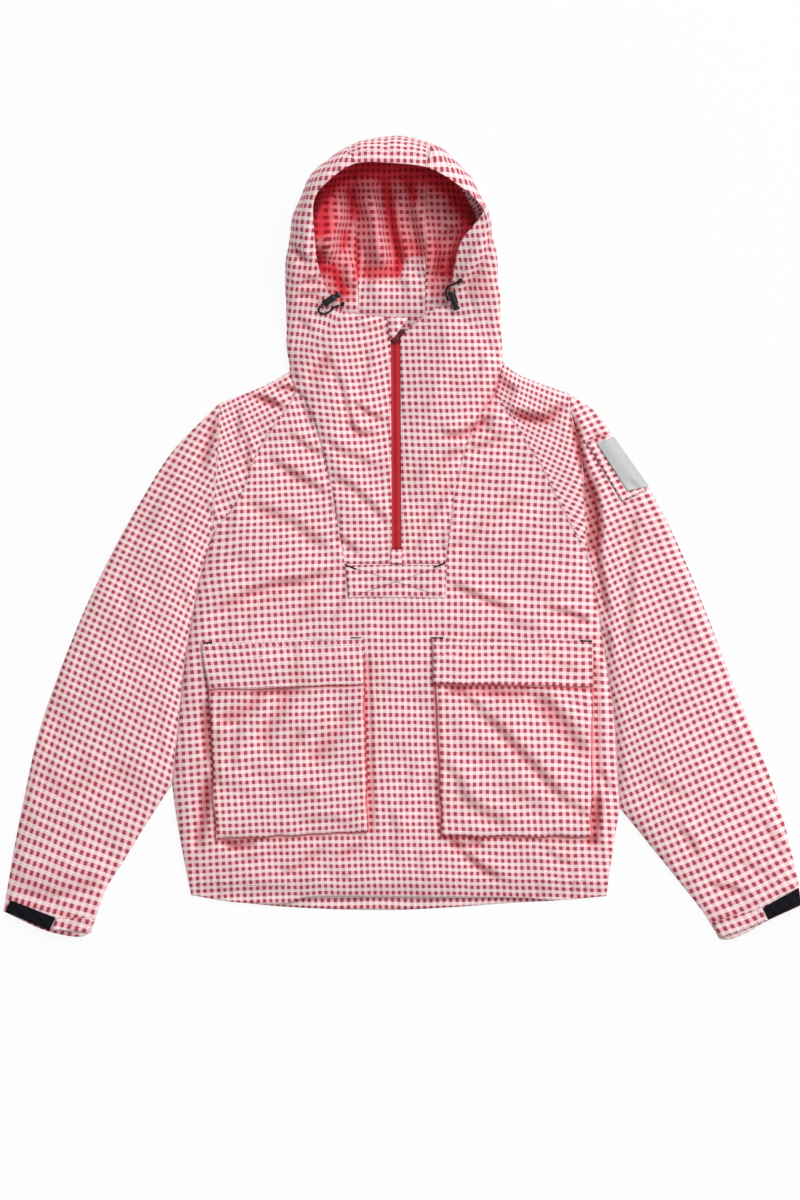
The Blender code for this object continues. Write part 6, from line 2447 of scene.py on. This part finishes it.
BODY_CREASES: tuple[Crease, ...] = (
    # Chest, right side
    Crease(((-230, -21), (-210, -9), (-189, 4), (-168, 12), (-145, 18), (-120, 21), (-95, 28),
           (-72, 36)), -5.5, 6.5, 4.9, 10.8),
    Crease(((-86, 18), (-105, -2), (-116, -16), (-130, -31), (-141, -50)), -4.5, 6.5, 2.3, 9.7),
    Crease(((-144, 1), (-168, -6), (-182, -19), (-191, -41)), -3.2, 5.4, 1.6),
    Crease(((-205, -28), (-218, -38), (-228, -50)), -1.9, 5.4),
    Crease(((-62, 35), (-66, 12), (-78, -15), (-85, -38)), -2.3, 5.4, 1.6),
    Crease(((-189, 119), (-158, 106), (-132, 94), (-108, 75), (-82, 59)), -2.9, 8.6, 2.3, 13),
    Crease(((-162, 176), (-139, 161), (-120, 149), (-101, 138), (-86, 129)), -3.6, 6.5, 3.2, 10.8),
    Crease(((-138, 208), (-120, 195), (-106, 185), (-86, 179)), -2.6, 5.4, 2.6, 9.7),
    Crease(((-191, 212), (-188, 188), (-188, 152)), -2.9, 5.4, 1.9),
    Crease(((-199, 244), (-199, 219), (-200, 181)), -2.3, 4.3, 1.6),
    Crease(((-205, 125), (-210, 100), (-218, 69)), -1.6, 7.6, 1.3, 9.7),
    Crease(((-239, 125), (-235, 110), (-226, 95)), -2.6, 5.4, 1.6),
    Crease(((-240, 42), (-205, 50), (-168, 42)), -1.5, 6.5, 1.3, 9.7),
    # Shoulder, right side
    Crease(((-205, 254), (-182, 254), (-162, 248), (-140, 238)), -7.3, 4.9, 4.9),
    Crease(((-154, 262), (-139, 264), (-124, 261)), -4.9, 3.8, 2.8, 6.5),
    Crease(((-136, 289), (-130, 282), (-122, 275)), -4.1, 3.8, 2.4, 6.5),
    Crease(((-228, 236), (-231, 216), (-235, 194), (-245, 162)), -7.3, 5.4, 4.1, 9.7),
    Crease(((-120, 245), (-112, 231), (-109, 215)), -2.4, 4.3, 1.6, 7.6),
    # Neck, right side
    Crease(((-85, 306), (-90, 296), (-100, 285), (-108, 268)), -7.5, 5.9, 3.9, 9.7),
    Crease(((-81, 298), (-75, 278), (-69, 262), (-60, 231), (-52, 212)), -2.8, 4.3, 1.5, 7.6),
    Crease(((-121, 358), (-108, 340), (-96, 318)), -3.6, 5.4, 2.6),
    Crease(((-48, 339), (-28, 338), (-8, 340)), -3.6, 5.4, 1.9, 7.6),
    Crease(((-35, 312), (-38, 290), (-44, 272), (-45, 252)), -3.1, 6.5, 1.6),
    Crease(((-55, 245), (-42, 236), (-31, 229), (-15, 224)), -4.5, 4.3, 2.6, 7.6),
    Crease(((-62, 224), (-54, 212), (-40, 205), (-24, 208)), -4.9, 4.3, 2.9, 7.6),
    Crease(((-92, 200), (-70, 184), (-48, 175), (-28, 165)), -2.6, 6.5, 2.3, 9.7),
    Crease(((-82, 152), (-58, 139), (-39, 122), (-22, 104), (-9, 91)), -3.4, 6.5, 3.1, 10.8),
    Crease(((-78, 78), (-60, 66), (-48, 55)), -3.2, 5.4, 2.3, 9.7),
    Crease(((-82, 129), (-79, 110), (-70, 92)), -1.8, 4.3, 1.1, 7.6),
    Crease(((-132, 319), (-120, 310), (-116, 298)), -2.3, 5.4, 1.3, 7.6),
    # Neck, left side
    Crease(((134, 288), (128, 265), (116, 244), (101, 220)), -8.7, 9.7, 8.7, 18.4),
    Crease(((109, 315), (104, 296), (95, 272)), -3.1, 5.4, 1.9),
    Crease(((22, 328), (40, 339), (59, 352)), -3.2, 4.3, 1.9, 7.6, bank_side=-1),
    Crease(((35, 305), (46, 316), (56, 324)), -2.6, 4.3, 1.6, 7.6, bank_side=-1),
    Crease(((88, 352), (94, 340), (98, 330)), -2.4, 4.3, 1.6, 7.6),
    Crease(((116, 330), (115, 298), (110, 262)), 1.9, 4.3),
    Crease(((62, 348), (64, 312), (55, 275), (40, 238)), 1.5, 6.5),
    Crease(((55, 204), (78, 205), (92, 211), (105, 220), (122, 226)), -7.1, 5.9, 3.9),
    Crease(((42, 150), (55, 166), (68, 179), (85, 186)), -4.9, 6.5, 2.6, 9.7),
    Crease(((96, 185), (114, 192), (134, 201)), -4.5, 5.4, 2.9, 9.7),
    Crease(((19, 68), (35, 92), (50, 115), (61, 134), (75, 151)), -3.9, 5.4, 2.9, bank_side=-1),
    Crease(((51, 69), (62, 90), (70, 112)), -2.6, 4.3, 1.6, 7.6, bank_side=-1),
    Crease(((15, 162), (30, 180), (45, 192)), -1.6, 6.5, 1.3, bank_side=-1),
    # Shoulder and armhole, left side
    Crease(((139, 230), (155, 229), (172, 226), (188, 226), (199, 236), (211, 246)), -10.9, 6.5, 7.3, 9.7),
    Crease(((165, 252), (186, 259), (208, 262)), 3.2, 9.7),
    Crease(((219, 232), (225, 202), (231, 172), (239, 144)), -9.3, 5.4, 4.1, 9.7),
    Crease(((238, 150), (244, 125), (248, 88), (246, 55), (250, 25), (255, -2),
           (258, -22)), -15.4, 8.1, 4.5, 10.8, blunt=0.12),
    Crease(((125, 232), (136, 251), (146, 270)), -10.1, 9.7, 2, 9.7),
    Crease(((259, -35), (260, -52), (262, -75)), -12.2, 6.5, 3.2, 7.6),
    Crease(((240, 200), (248, 205), (260, 202)), -2.8, 4.3, 1.6, 6.5),
    # Chest, left side
    Crease(((65, 56), (82, 68), (102, 84), (120, 100), (142, 116), (170, 129)), -3.7, 6.5, 3.1, 10.8),
    Crease(((78, 121), (88, 135), (100, 150), (120, 162)), -2.8, 6.5, 1.9, 9.7),
    Crease(((102, 45), (130, 61), (161, 80), (192, 100)), -2.1, 8.6, 1.9, 11.9),
    Crease(((150, 50), (180, 60), (208, 75)), -1.5, 8.6, 1.3, 10.8),
    Crease(((155, 162), (180, 172), (205, 190)), -1.3, 8.6, 1.3, 10.8),
    Crease(((66, 15), (86, 9), (105, 0), (124, -8), (148, -15)), -4.4, 5.4, 3.2, 9.7),
    Crease(((189, -15), (205, -16), (224, -22), (245, -30)), -4.9, 5.4, 3.2),
    Crease(((130, -25), (155, -35), (186, -40)), -1.9, 7.6, 1.3, 9.7),
    # Between and below the pockets
    Crease(((20, -210), (8, -235), (-1, -258)), -3.2, 6.5, 1.6, 9.7),
    Crease(((35, -219), (40, -244), (30, -269)), -1.6, 7.6, 0.97, 9.7),
    Crease(((-10, -256), (-4, -288), (-5, -325)), -1.8, 6.5, 1.5, 9.7),
    Crease(((-89, -310), (-106, -322), (-120, -334), (-136, -346)), -5.2, 5.4, 3.9, bank_side=-1),
    Crease(((-42, -306), (-60, -316), (-75, -326)), -4.2, 4.9, 2.9, 7.6, bank_side=-1),
    Crease(((-64, -335), (-82, -345), (-55, -350)), -2.3, 5.4),
    Crease(((61, -302), (79, -315), (95, -329), (111, -341), (134, -350)), -4.9, 5.9, 3.2, 9.7),
    Crease(((30, -312), (28, -335), (35, -348)), -1.9, 6.5, 1.3),
    Crease(((-195, -328), (-168, -322), (-145, -315)), -1.9, 6.5, 1.6),
    Crease(((186, -312), (200, -325), (222, -332)), -1.9, 5.4, 1.3),
    # Sides beside the pockets
    Crease(((-36, -65), (-34, -125), (-32, -206), (-31, -295)), -4.5, 2.6, blunt=0.1),
    Crease(((249, -69), (251, -125), (251, -206), (250, -290)), -3.9, 2.6, blunt=0.1),
    Crease(((48, -219), (50, -256), (55, -298)), -4.5, 2.6),
    Crease(((-220, -302), (-198, -309), (-174, -304)), -7.1, 5.4),
    Crease(((65, -302), (84, -308), (109, -305)), -7.1, 5.4),
    Crease(((234, -304), (252, -300)), -5.5, 4.3),
    Crease(((-238, -125), (-239, -152), (-238, -181), (-235, -210)), -7.5, 5.4, 1.3, 6.5),
    Crease(((-262, -222), (-251, -210), (-241, -200)), -4.2, 4.9, 1.6, 7.6),
    Crease(((-235, -219), (-238, -244), (-241, -269), (-245, -290), (-252, -315)), -8.7, 7, 1.9),
    Crease(((-250, -328), (-255, -345)), -2.3, 5.4),
    Crease(((252, -212), (262, -228), (271, -245)), -3.9, 5.4, 2.3),
    Crease(((252, -244), (250, -269), (248, -290), (245, -308)), -8.7, 6.5, 1.9, 7.6),
    Crease(((269, -112), (274, -150), (276, -194), (275, -238)), -2.6, 4.3, 1.3, 6.5),
    Crease(((-269, 12), (-262, -2), (-262, -25)), -2.9, 5.4, 1.9),
    Crease(((-272, -62), (-269, -88), (-272, -112)), -2.9, 6.5, 1.6),
    # Gathers along the hem
    Crease(((-250, -340), (-249, -372)), -1.5, 2.8),
    Crease(((-239, -335), (-238, -374)), -1, 2.6),
    Crease(((-225, -342), (-222, -375)), -1.2, 2.8),
    Crease(((-210, -338), (-209, -375)), -1.5, 2.8),
    Crease(((-194, -345), (-192, -378)), -0.91, 2.8),
    Crease(((-168, -350), (-168, -379)), -0.79, 3.2),
    Crease(((205, -345), (204, -378)), -1, 2.8),
    Crease(((220, -335), (220, -376)), -1.6, 2.8),
    Crease(((235, -332), (236, -375)), -1.4, 2.6),
    Crease(((248, -338), (250, -374)), -1.1, 2.6),
    Crease(((178, -350), (175, -379)), -0.79, 3.2),
    Crease(((-82, -355), (-45, -358)), -0.91, 3.2),
    Crease(((30, -358), (80, -356)), -0.79, 3.2),
    # Right sleeve
    Crease(((-345, -45), (-322, -69), (-295, -85), (-270, -91), (-261, -112)), -0.97, 10.8, 2.3, 19.4),
    Crease(((-338, 19), (-335, -12), (-340, -50)), -1.9, 8.6, 1.6, 11.9),
    Crease(((-285, 75), (-290, 25), (-288, -25)), 1.6, 10.8),
    Crease(((-458, -246), (-395, -238), (-320, -210)), -2.6, 15.1),
    Crease(((-472, -340), (-420, -340), (-355, -322)), 3.6, 21.6),
    Crease(((-478, -365), (-426, -372), (-364, -355)), -2.6, 7.6),
    Crease(((-318, -292), (-332, -312), (-348, -335)), -3.9, 6.5, 1.9),
    Crease(((-420, -125), (-430, -175), (-448, -231)), -1.9, 10.8),
    Crease(((-385, -178), (-395, -212), (-418, -250)), -1.3, 9.7, 1.5, 13),
    Crease(((-295, -125), (-298, -162), (-291, -200)), -1.6, 8.6, 1.3, 10.8),
    Crease(((-280, 162), (-308, 110), (-335, 55)), -2.9, 9.7, 1.9, 15.1),
    Crease(((-268, 119), (-275, 81), (-272, 44)), -1.6, 6.5, 1.3, 9.7),
    # Left sleeve
    Crease(((298, 131), (294, 75), (290, 12), (288, -38), (281, -81)), -3.1, 7, 1.9, 9.7),
    Crease(((350, -282), (364, -300), (375, -322)), -3.6, 6.5, 2.3, 9.7),
    Crease(((390, -358), (411, -361), (435, -366)), -4.5, 4.9, 2.9, 7.6),
    Crease(((332, -322), (340, -338), (350, -350)), -2.6, 4.9, 1.6, 7.6),
    Crease(((318, -222), (345, -240), (368, -250)), -1.9, 7.6, 1.5, 10.8),
    Crease(((340, -12), (355, -28), (368, -50)), -1.5, 8.6, 1.3, 10.8),
    Crease(((400, -125), (415, -152), (425, -190)), -1.5, 8.6, 1.3, 10.8),
    Crease(((455, -275), (472, -302), (488, -325)), -2.3, 7.6, 1.5, 9.7),
    Crease(((430, -328), (450, -340), (470, -345)), -1.9, 5.4, 1.3),
    Crease(((290, 148), (305, 138), (318, 120)), -2.3, 4.3, 1.3, 7.6),
)
HOOD_INSIDE: tuple[Crease, ...] = (
    # Side walls
    Crease(((-98, 422), (-102, 450), (-102, 481), (-100, 512), (-82, 530)), 34, 24.6, blunt=0.3),
    Crease(((75, 415), (92, 452), (110, 485)), 24, 20.3, blunt=0.3),
    Crease(((-70, 538), (-30, 550), (18, 548), (55, 535)), 12, 21.8),
    # Ridges and valleys of the back of the head
    Crease(((-71, 512), (-71, 485), (-81, 455), (-85, 422)), 13, 10.2),
    Crease(((-55, 528), (-56, 498), (-52, 475), (-58, 450), (-48, 432), (-41, 400)), -11, 10.2),
    Crease(((-36, 515), (-32, 494), (-24, 472), (-19, 444), (-16, 415)), 17, 11.6),
    Crease(((-15, 530), (-12, 490), (-9, 458), (-1, 430), (8, 402)), -15, 11.6),
    Crease(((-2, 505), (2, 475), (8, 446), (11, 420)), 12, 8),
    Crease(((12, 510), (18, 481), (24, 450), (28, 430)), -7, 5.8),
    Crease(((16, 520), (24, 500), (35, 472), (41, 438), (40, 405)), 16, 11.6),
    Crease(((45, 512), (59, 485), (70, 460)), 8, 14.5),
    Crease(((75, 468), (70, 442), (62, 418), (58, 395)), -14, 10.2),
    Crease(((-62, 422), (-55, 410), (-58, 392)), 7, 8.7),
    Crease(((-30, 400), (-22, 385), (-25, 370)), 5, 10.2),
    Crease(((10, 415), (18, 392), (15, 372)), 5, 8.7),
    Crease(((45, 405), (42, 388), (35, 371)), 6, 8.7),
)
HOOD_GLOW: tuple[Crease, ...] = (
    # Where the painted inner red light gathers, as shares
    Crease(((-95, 518), (-99, 485), (-95, 448)), 0.8, 18.8),
    Crease(((-92, 520), (-64, 534), (-25, 540), (18, 539), (55, 526), (85, 506), (102, 482)), 0.75, 16.2, blunt=0.02),
    Crease(((-58, 520), (-54, 494), (-50, 470)), 0.5, 8.8),
    Crease(((-65, 465), (-64, 450), (-69, 435)), 0.45, 6.2),
    Crease(((-16, 535), (-10, 502), (-4, 469), (4, 430), (8, 406)), 0.6, 8.1),
    Crease(((10, 535), (18, 515), (25, 492)), 0.5, 7.5),
    Crease(((70, 506), (90, 485), (88, 455), (75, 428), (66, 400)), 0.6, 11.2, blunt=0.1),
    Crease(((-82, 422), (-72, 400), (-62, 379)), 0.6, 7.5, blunt=0.1),
    Crease(((-98, 440), (-94, 422), (-88, 405)), 0.55, 7.5),
    Crease(((-49, 455), (-48, 422), (-49, 398)), 0.45, 4.4),
    Crease(((-42, 411), (-19, 409), (8, 412)), 0.4, 10, blunt=0.1),
    Crease(((12, 450), (25, 438), (40, 432)), 0.3, 8.8),
    Crease(((50, 452), (52, 422), (50, 398)), 0.35, 7.5),
)
HOOD_OUTSIDE: tuple[Crease, ...] = (
    # Right side of the opening
    Crease(((-131, 439), (-121, 430), (-111, 420)), -5.6, 5.5, 3.1, 7.7),
    Crease(((-125, 388), (-110, 396), (-98, 400)), -4.8, 5.5, 3.1, 7.7),
    Crease(((-125, 379), (-108, 379), (-95, 385)), -4.5, 5, 2.5, 7.7),
    Crease(((-125, 352), (-114, 342), (-105, 330)), -2.5, 5.5, 1.7),
    Crease(((-116, 472), (-120, 452), (-118, 435)), -1.7, 5.5, 1.3),
    Crease(((-105, 512), (-112, 494), (-116, 472)), -1.3, 5.5, 1.1),
    # Left side of the opening
    Crease(((120, 468), (116, 442), (106, 418), (92, 395), (84, 375)), -4.8, 6.6, 3.6, 11, bank_side=-1),
    Crease(((112, 375), (115, 338), (112, 310)), -1.7, 6.6, 1.1),
    Crease(((92, 380), (100, 355), (98, 328)), -1.4, 5.5, 1.1),
    Crease(((90, 540), (100, 522), (108, 502)), -2.5, 5.5, 1.7),
    # Brim
    Crease(((-55, 565), (-48, 555), (-42, 548)), -1.7, 5.5, 1.1, 7.7),
    Crease(((-14, 575), (-12, 562), (-10, 550)), -1.3, 4.4, 0.84, 6.6),
    Crease(((10, 576), (12, 562), (14, 548)), -1.5, 4.4, 0.98, 6.6),
    Crease(((39, 568), (42, 556), (45, 542)), -2.2, 4.4, 1.3, 6.6),
    Crease(((62, 555), (68, 542), (70, 530)), -1.5, 4.4, 0.98, 6.6),
    Crease(((-82, 542), (-75, 532), (-70, 524)), -1.5, 5.5, 0.98, 7.7),
)
POCKET_CREASES: dict[Side, tuple[Crease, ...]] = {
    Side.RIGHT: (
        Crease(((-182, -120), (-160, -115), (-120, -112)), -5.4, 5.6),
        Crease(((-228, -154), (-210, -150), (-194, -144), (-181, -134),
               (-170, -121)), -6.4, 8.4, 3.2, 12.6, bank_side=-1),
        Crease(((-196, -155), (-205, -178), (-211, -210)), -3.8, 8.4, 2.2, 12.6),
        Crease(((-130, -115), (-146, -139), (-160, -162), (-169, -188)), -6.1, 9.8, 2.9, 12.6),
        Crease(((-112, -165), (-129, -184), (-144, -206)), -4.5, 7, 2.9),
        Crease(((-58, -140), (-75, -166), (-92, -190), (-106, -210)), -5.4, 12.6, 2.9, 15.4),
        Crease(((-82, -125), (-105, -152), (-120, -175)), 2.2, 8.4),
        Crease(((-192, -205), (-175, -220), (-158, -238), (-138, -252), (-120, -265)), -1.8, 14, 1.3, 18.2),
        Crease(((-218, -228), (-195, -242), (-180, -265)), -1.4, 11.2, 1.3, 15.4),
        Crease(((-132, -250), (-114, -244), (-98, -250)), -2.2, 9.8, 1.6, 12.6),
        Crease(((-120, -282), (-89, -275), (-58, -282)), -1.9, 8.4, 1.6),
        Crease(((-64, -212), (-55, -238), (-60, -269)), -1.9, 11.2, 1.3, 14),
        Crease(((-222, -181), (-228, -212), (-225, -238)), -2.6, 7, 1.3, 9.8),
    ),
    Side.LEFT: (
        Crease(((60, -112), (105, -115), (145, -119), (166, -112)), -6.7, 5.6, blunt=0.12),
        Crease(((98, -132), (109, -148), (124, -162), (139, -179), (155, -196), (174, -215), (192, -236),
               (214, -255)), -5.4, 8.4, 3.5, 14),
        Crease(((162, -118), (178, -128), (192, -142), (208, -160), (220, -178), (232, -190),
               (250, -194)), -6.7, 12.6, 4.2, 18.2),
        Crease(((80, -115), (90, -125), (102, -138)), -3.5, 6.3, 2.2, 9.8),
        Crease(((70, -235), (90, -256), (112, -272), (140, -282)), -3.5, 9.8, 2.6, 14),
        Crease(((55, -206), (70, -220), (82, -240)), -2.9, 8.4, 1.9, 12.6),
        Crease(((85, -190), (108, -196), (135, -202)), -2.6, 12.6, 1.6, 15.4),
        Crease(((62, -145), (75, -172), (80, -200)), -1.9, 9.8, 1.6, 12.6),
        Crease(((200, -250), (220, -258), (238, -270)), -2.2, 8.4, 1.6),
        Crease(((130, -240), (155, -250), (186, -269)), -1.9, 12.6, 1.4, 15.4),
        Crease(((205, -115), (225, -130), (245, -140)), -1.9, 8.4, 1.4),
    ),
}
FLAP_CREASES: dict[Side, tuple[Crease, ...]] = {
    Side.RIGHT: (
        Crease(((-125, -50), (-129, -75), (-130, -108)), -3.1, 7.8, 1.7),
        Crease(((-218, -60), (-210, -81), (-212, -108)), -1.4, 7.8, 1.1),
        Crease(((-82, -62), (-68, -85), (-55, -105)), -1.8, 7.8, 1.4),
        Crease(((-172, -69), (-168, -90), (-168, -110)), -1.4, 7.8, 0.98),
    ),
    Side.LEFT: (
        Crease(((65, -102), (75, -88), (92, -75)), -2.5, 6.5, 1.7, bank_side=-1),
        Crease(((180, -60), (200, -80), (230, -95)), -1.7, 9.1, 1.3, 11.7),
        Crease(((130, -60), (138, -80), (145, -105)), -1.5, 9.1, 1.3, 11.7),
        Crease(((235, -65), (222, -70), (205, -69)), -1.7, 5.2, 1.1, 7.8),
    ),
}
BACK_CREASES: tuple[Crease, ...] = (
    Crease(((-190, 190), (-120, 160), (-60, 168)), 2.6, 7), Crease(((180, 210), (110, 168), (70, 130)), 2.2, 6),
    Crease(((-225, 40), (-150, 62), (-95, 50)), 2.0, 8), Crease(((232, 20), (160, 30), (96, 8)), 2.4, 7),
    Crease(((-60, 250), (10, 232), (72, 246)), 1.8, 9), Crease(((-40, 60), (-22, -20), (-34, -110)), 2.0, 9),
    Crease(((-230, -190), (-160, -230), (-90, -235)), 2.4, 8),
    Crease(((240, -210), (170, -180), (120, -200)), 2.0, 7),
    Crease(((30, -300), (80, -260), (150, -268)), 2.2, 7), Crease(((-150, -330), (-90, -300), (-40, -318)), 1.6, 6),
    Crease(((-260, 120), (-300, 60), (-318, 20)), 2.2, 7), Crease(((-330, -160), (-370, -190), (-430, -200)), 2.0, 8),
    Crease(((-360, -300), (-400, -330), (-450, -338)), 1.8, 7), Crease(((262, 140), (300, 70), (316, 10)), 2.2, 7),
    Crease(((330, -140), (372, -180), (440, -190)), 2.0, 8), Crease(((370, -310), (410, -336), (462, -330)), 1.8, 7),
)
POCKETS: dict[Side, Route] = {
    Side.RIGHT: ((-0.2360, -0.0720), (-0.0400, -0.0680), (-0.0350, -0.2890), (-0.2250, -0.2990)),
    Side.LEFT: ((0.0480, -0.0680), (0.2460, -0.0700), (0.2440, -0.2960), (0.0570, -0.2960)),
}
FLAPS: dict[Side, Route] = {
    Side.RIGHT: ((-0.2440, -0.0540), (-0.0405, -0.0480), (-0.0390, -0.1060), (-0.2350, -0.1130)),
    Side.LEFT: ((0.0445, -0.0480), (0.2460, -0.0510), (0.2465, -0.1100), (0.0460, -0.1050)),
}


@dataclass
class Sewing:
    """Every row of topstitching and every bartack."""

    seam_offset: float = 0.0016
    casing: float = 0.0165
    hem: float = 0.0225
    elastic: tuple[float, ...] = (-0.245, -0.205, 0.221, 0.230, 0.2365)
    bartacks: Route = (
        (-0.0638, 0.0443, -0.0500, 0.0384), (0.0471, 0.0408, 0.0610, 0.0460), (-0.2413, -0.0538, -0.2300, -0.0535),
        (-0.0563, -0.0475, -0.0438, -0.0475), (0.0438, -0.0475, 0.0588, -0.0475), (0.2300, -0.0508, 0.2450, -0.0512),
    )

    def build(self, shop: Wardrobe) -> None:
        """Makes the rows, by place.

        Args:
            shop: makes the pieces.
        """
        stitching = Stitching(shop.surface())
        for side in Side:
            self._seams(shop, stitching, side)
            self._pockets(shop, stitching, side)
        self._front(shop, stitching)
        self._hood(shop, stitching)
        self._sleeves(shop, stitching)

    def _seams(self, shop: Wardrobe, stitching: Stitching, side: Side) -> None:
        """Armhole, raglan and placket seams of one side.

        Args:
            shop: makes the pieces.
            stitching: makes the stitches.
            side: the wearer's side.
        """
        rows = [
            StitchRow(smooth_curve(EDGES[side][name])[3:-3], toward * self.seam_offset * side.sign, radius=0.00024)
            for name, toward in (("armhole", 1), ("raglan", 1), ("placket", -1))
        ]
        stitching.add(shop, f"seam_stitches_{side.value}", rows)

    def _pockets(self, shop: Wardrobe, stitching: Stitching, side: Side) -> None:
        """Both flap seams and the flap's border.

        Args:
            shop: makes the pieces.
            stitching: makes the stitches.
            side: the wearer's side.
        """
        a, b, c, d = (np.array(corner) for corner in FLAPS[side])
        wide, deep = np.linspace(0.01, 0.99, 60), np.linspace(0.03, 0.97, 30)
        rows = [
            StitchRow(line(a, b, wide), -0.0016), StitchRow(line(a, b, wide), -0.0080),
            StitchRow(line(b, c, deep), -0.0018), StitchRow(line(d, c, wide), 0.0018),
            StitchRow(line(a, d, deep), 0.0018),
        ]
        stitching.add(shop, f"flap_stitches_{side.value}", rows)

    def _front(self, shop: Wardrobe, stitching: Stitching) -> None:
        """The patch at the yoke's base, the hem and the zip's sides.

        Args:
            shop: makes the pieces.
            stitching: makes the stitches.
        """
        a, b, c, d = (np.array(corner) for corner in Trims.placket)
        rows = [
            StitchRow(line(a, b, np.linspace(0.01, 0.99, 40)), -0.0016),
            StitchRow(line(a, d, np.linspace(0.03, 0.97, 20)), 0.0016),
            StitchRow(line(b, c, np.linspace(0.03, 0.97, 20)), -0.0016),
            *(StitchRow(line(start, end, np.linspace(0.05, 0.95, 40)), gap=0.0008, sink=-0.0004)
              for start, end in ((a, c), (d, b))),
        ]
        y = np.linspace(0.07, 0.318, 90)
        for sign in (-1, 1):
            rows.append(StitchRow(np.stack([Zip.centre(y) + sign * 0.0080, y], axis=1)))
        rows.append(StitchRow(smooth_curve(FRONT_HEM)[4:-4], self.hem))
        for x in self.elastic:
            rows.append(StitchRow(np.array([(x, -0.352), (x, -0.3735)])))
        stitching.add(shop, "front_stitches", rows)
        stitching.bars(shop, "bartacks", self.bartacks)

    def _hood(self, shop: Wardrobe, stitching: Stitching) -> None:
        """The casing round the hood's opening, both sides of its two panel seams and the neck's edges.

        Args:
            shop: makes the pieces.
            stitching: makes the stitches.
        """
        form, casing = HoodForm(), []
        for position in np.linspace(0.8, form.last - 0.8, 180):
            face = form.line(position)[: form.face_cells]
            run = lengths_of(face)
            casing.append([np.interp(self.casing, run, face[:, axis]) for axis in (0, 1)])
        rows = [StitchRow(np.array(casing))]
        for position in form.seams:
            seam = form.line(position)
            for part in (seam[2 : form.face_cells - 6], seam[form.face_cells + form.turn_cells + 4 :]):
                rows += [StitchRow(part[:, :2], sign * 0.0014) for sign in (-1, 1)]
        for side in Side:
            rows.append(StitchRow(smooth_curve(EDGES[side]["neck"])[3:-3], -0.0022 * side.sign))
        stitching.add(shop, "hood_stitches", rows)

    def _sleeves(self, shop: Wardrobe, stitching: Stitching) -> None:
        """Round the grey patch's backing, up to the sleeve's edge, and round both cuff tabs.

        Args:
            shop: makes the pieces.
            stitching: makes the stitches.
        """
        rows, shares = [], np.linspace(0.03, 0.97, 16)
        for corners, edges in ((Trims.backing, (0, 2, 3)), (Trims.right_tab, range(4)), (Trims.left_tab, range(4))):
            loop = [np.array(corner) for corner in (*corners, corners[0])]
            rows += [StitchRow(line(loop[edge], loop[edge + 1], shares), -0.0017) for edge in edges]
        stitching.add(shop, "sleeve_trim_stitches", rows)


def main() -> None:
    """Builds every sub-assembly in order."""
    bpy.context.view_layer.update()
    finishes = Finishes()
    shop = Wardrobe(finishes)
    Studio().build()
    cord = Drawcord()
    for side in Side:
        cord.build(shop, side)
    laid = LaidForm(creases=BODY_CREASES)
    seams = {side: Seams(side) for side in Side}
    Back().build(shop, seams)
    Front().build(shop, laid, seams)
    for side in Side:
        Shoulder().build(shop, laid, seams[side])
        Sleeve().build(shop, laid, seams[side])
    Hood(HoodForm(inside=HOOD_INSIDE, outside=HOOD_OUTSIDE)).build(shop, laid, seams)
    Zip().build(shop)
    NeckFlap().build(shop)
    front = shop.surface()
    for side in Side:
        Pocket(side, POCKETS[side], POCKET_CREASES[side]).build(shop, front)
    surface = shop.surface()
    for side in Side:
        Flap(side, FLAPS[side], FLAP_CREASES[side]).build(shop, front, surface)
    Trims().build(shop, surface)
    for side in Side:
        CordLock().build(shop, side)
    Sewing().build(shop)
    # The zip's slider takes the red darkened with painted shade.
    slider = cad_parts["zip_slider"]
    slider.data.materials[0] = finishes.slider


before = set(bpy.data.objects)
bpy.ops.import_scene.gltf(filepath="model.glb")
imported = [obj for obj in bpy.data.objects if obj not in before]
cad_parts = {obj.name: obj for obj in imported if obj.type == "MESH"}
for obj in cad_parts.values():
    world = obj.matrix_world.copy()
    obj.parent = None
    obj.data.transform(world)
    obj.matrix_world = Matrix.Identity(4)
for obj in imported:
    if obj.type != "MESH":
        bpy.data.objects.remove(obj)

if __name__ == "__main__":
    logging.basicConfig(level=logging.INFO, format="%(message)s")
    main()
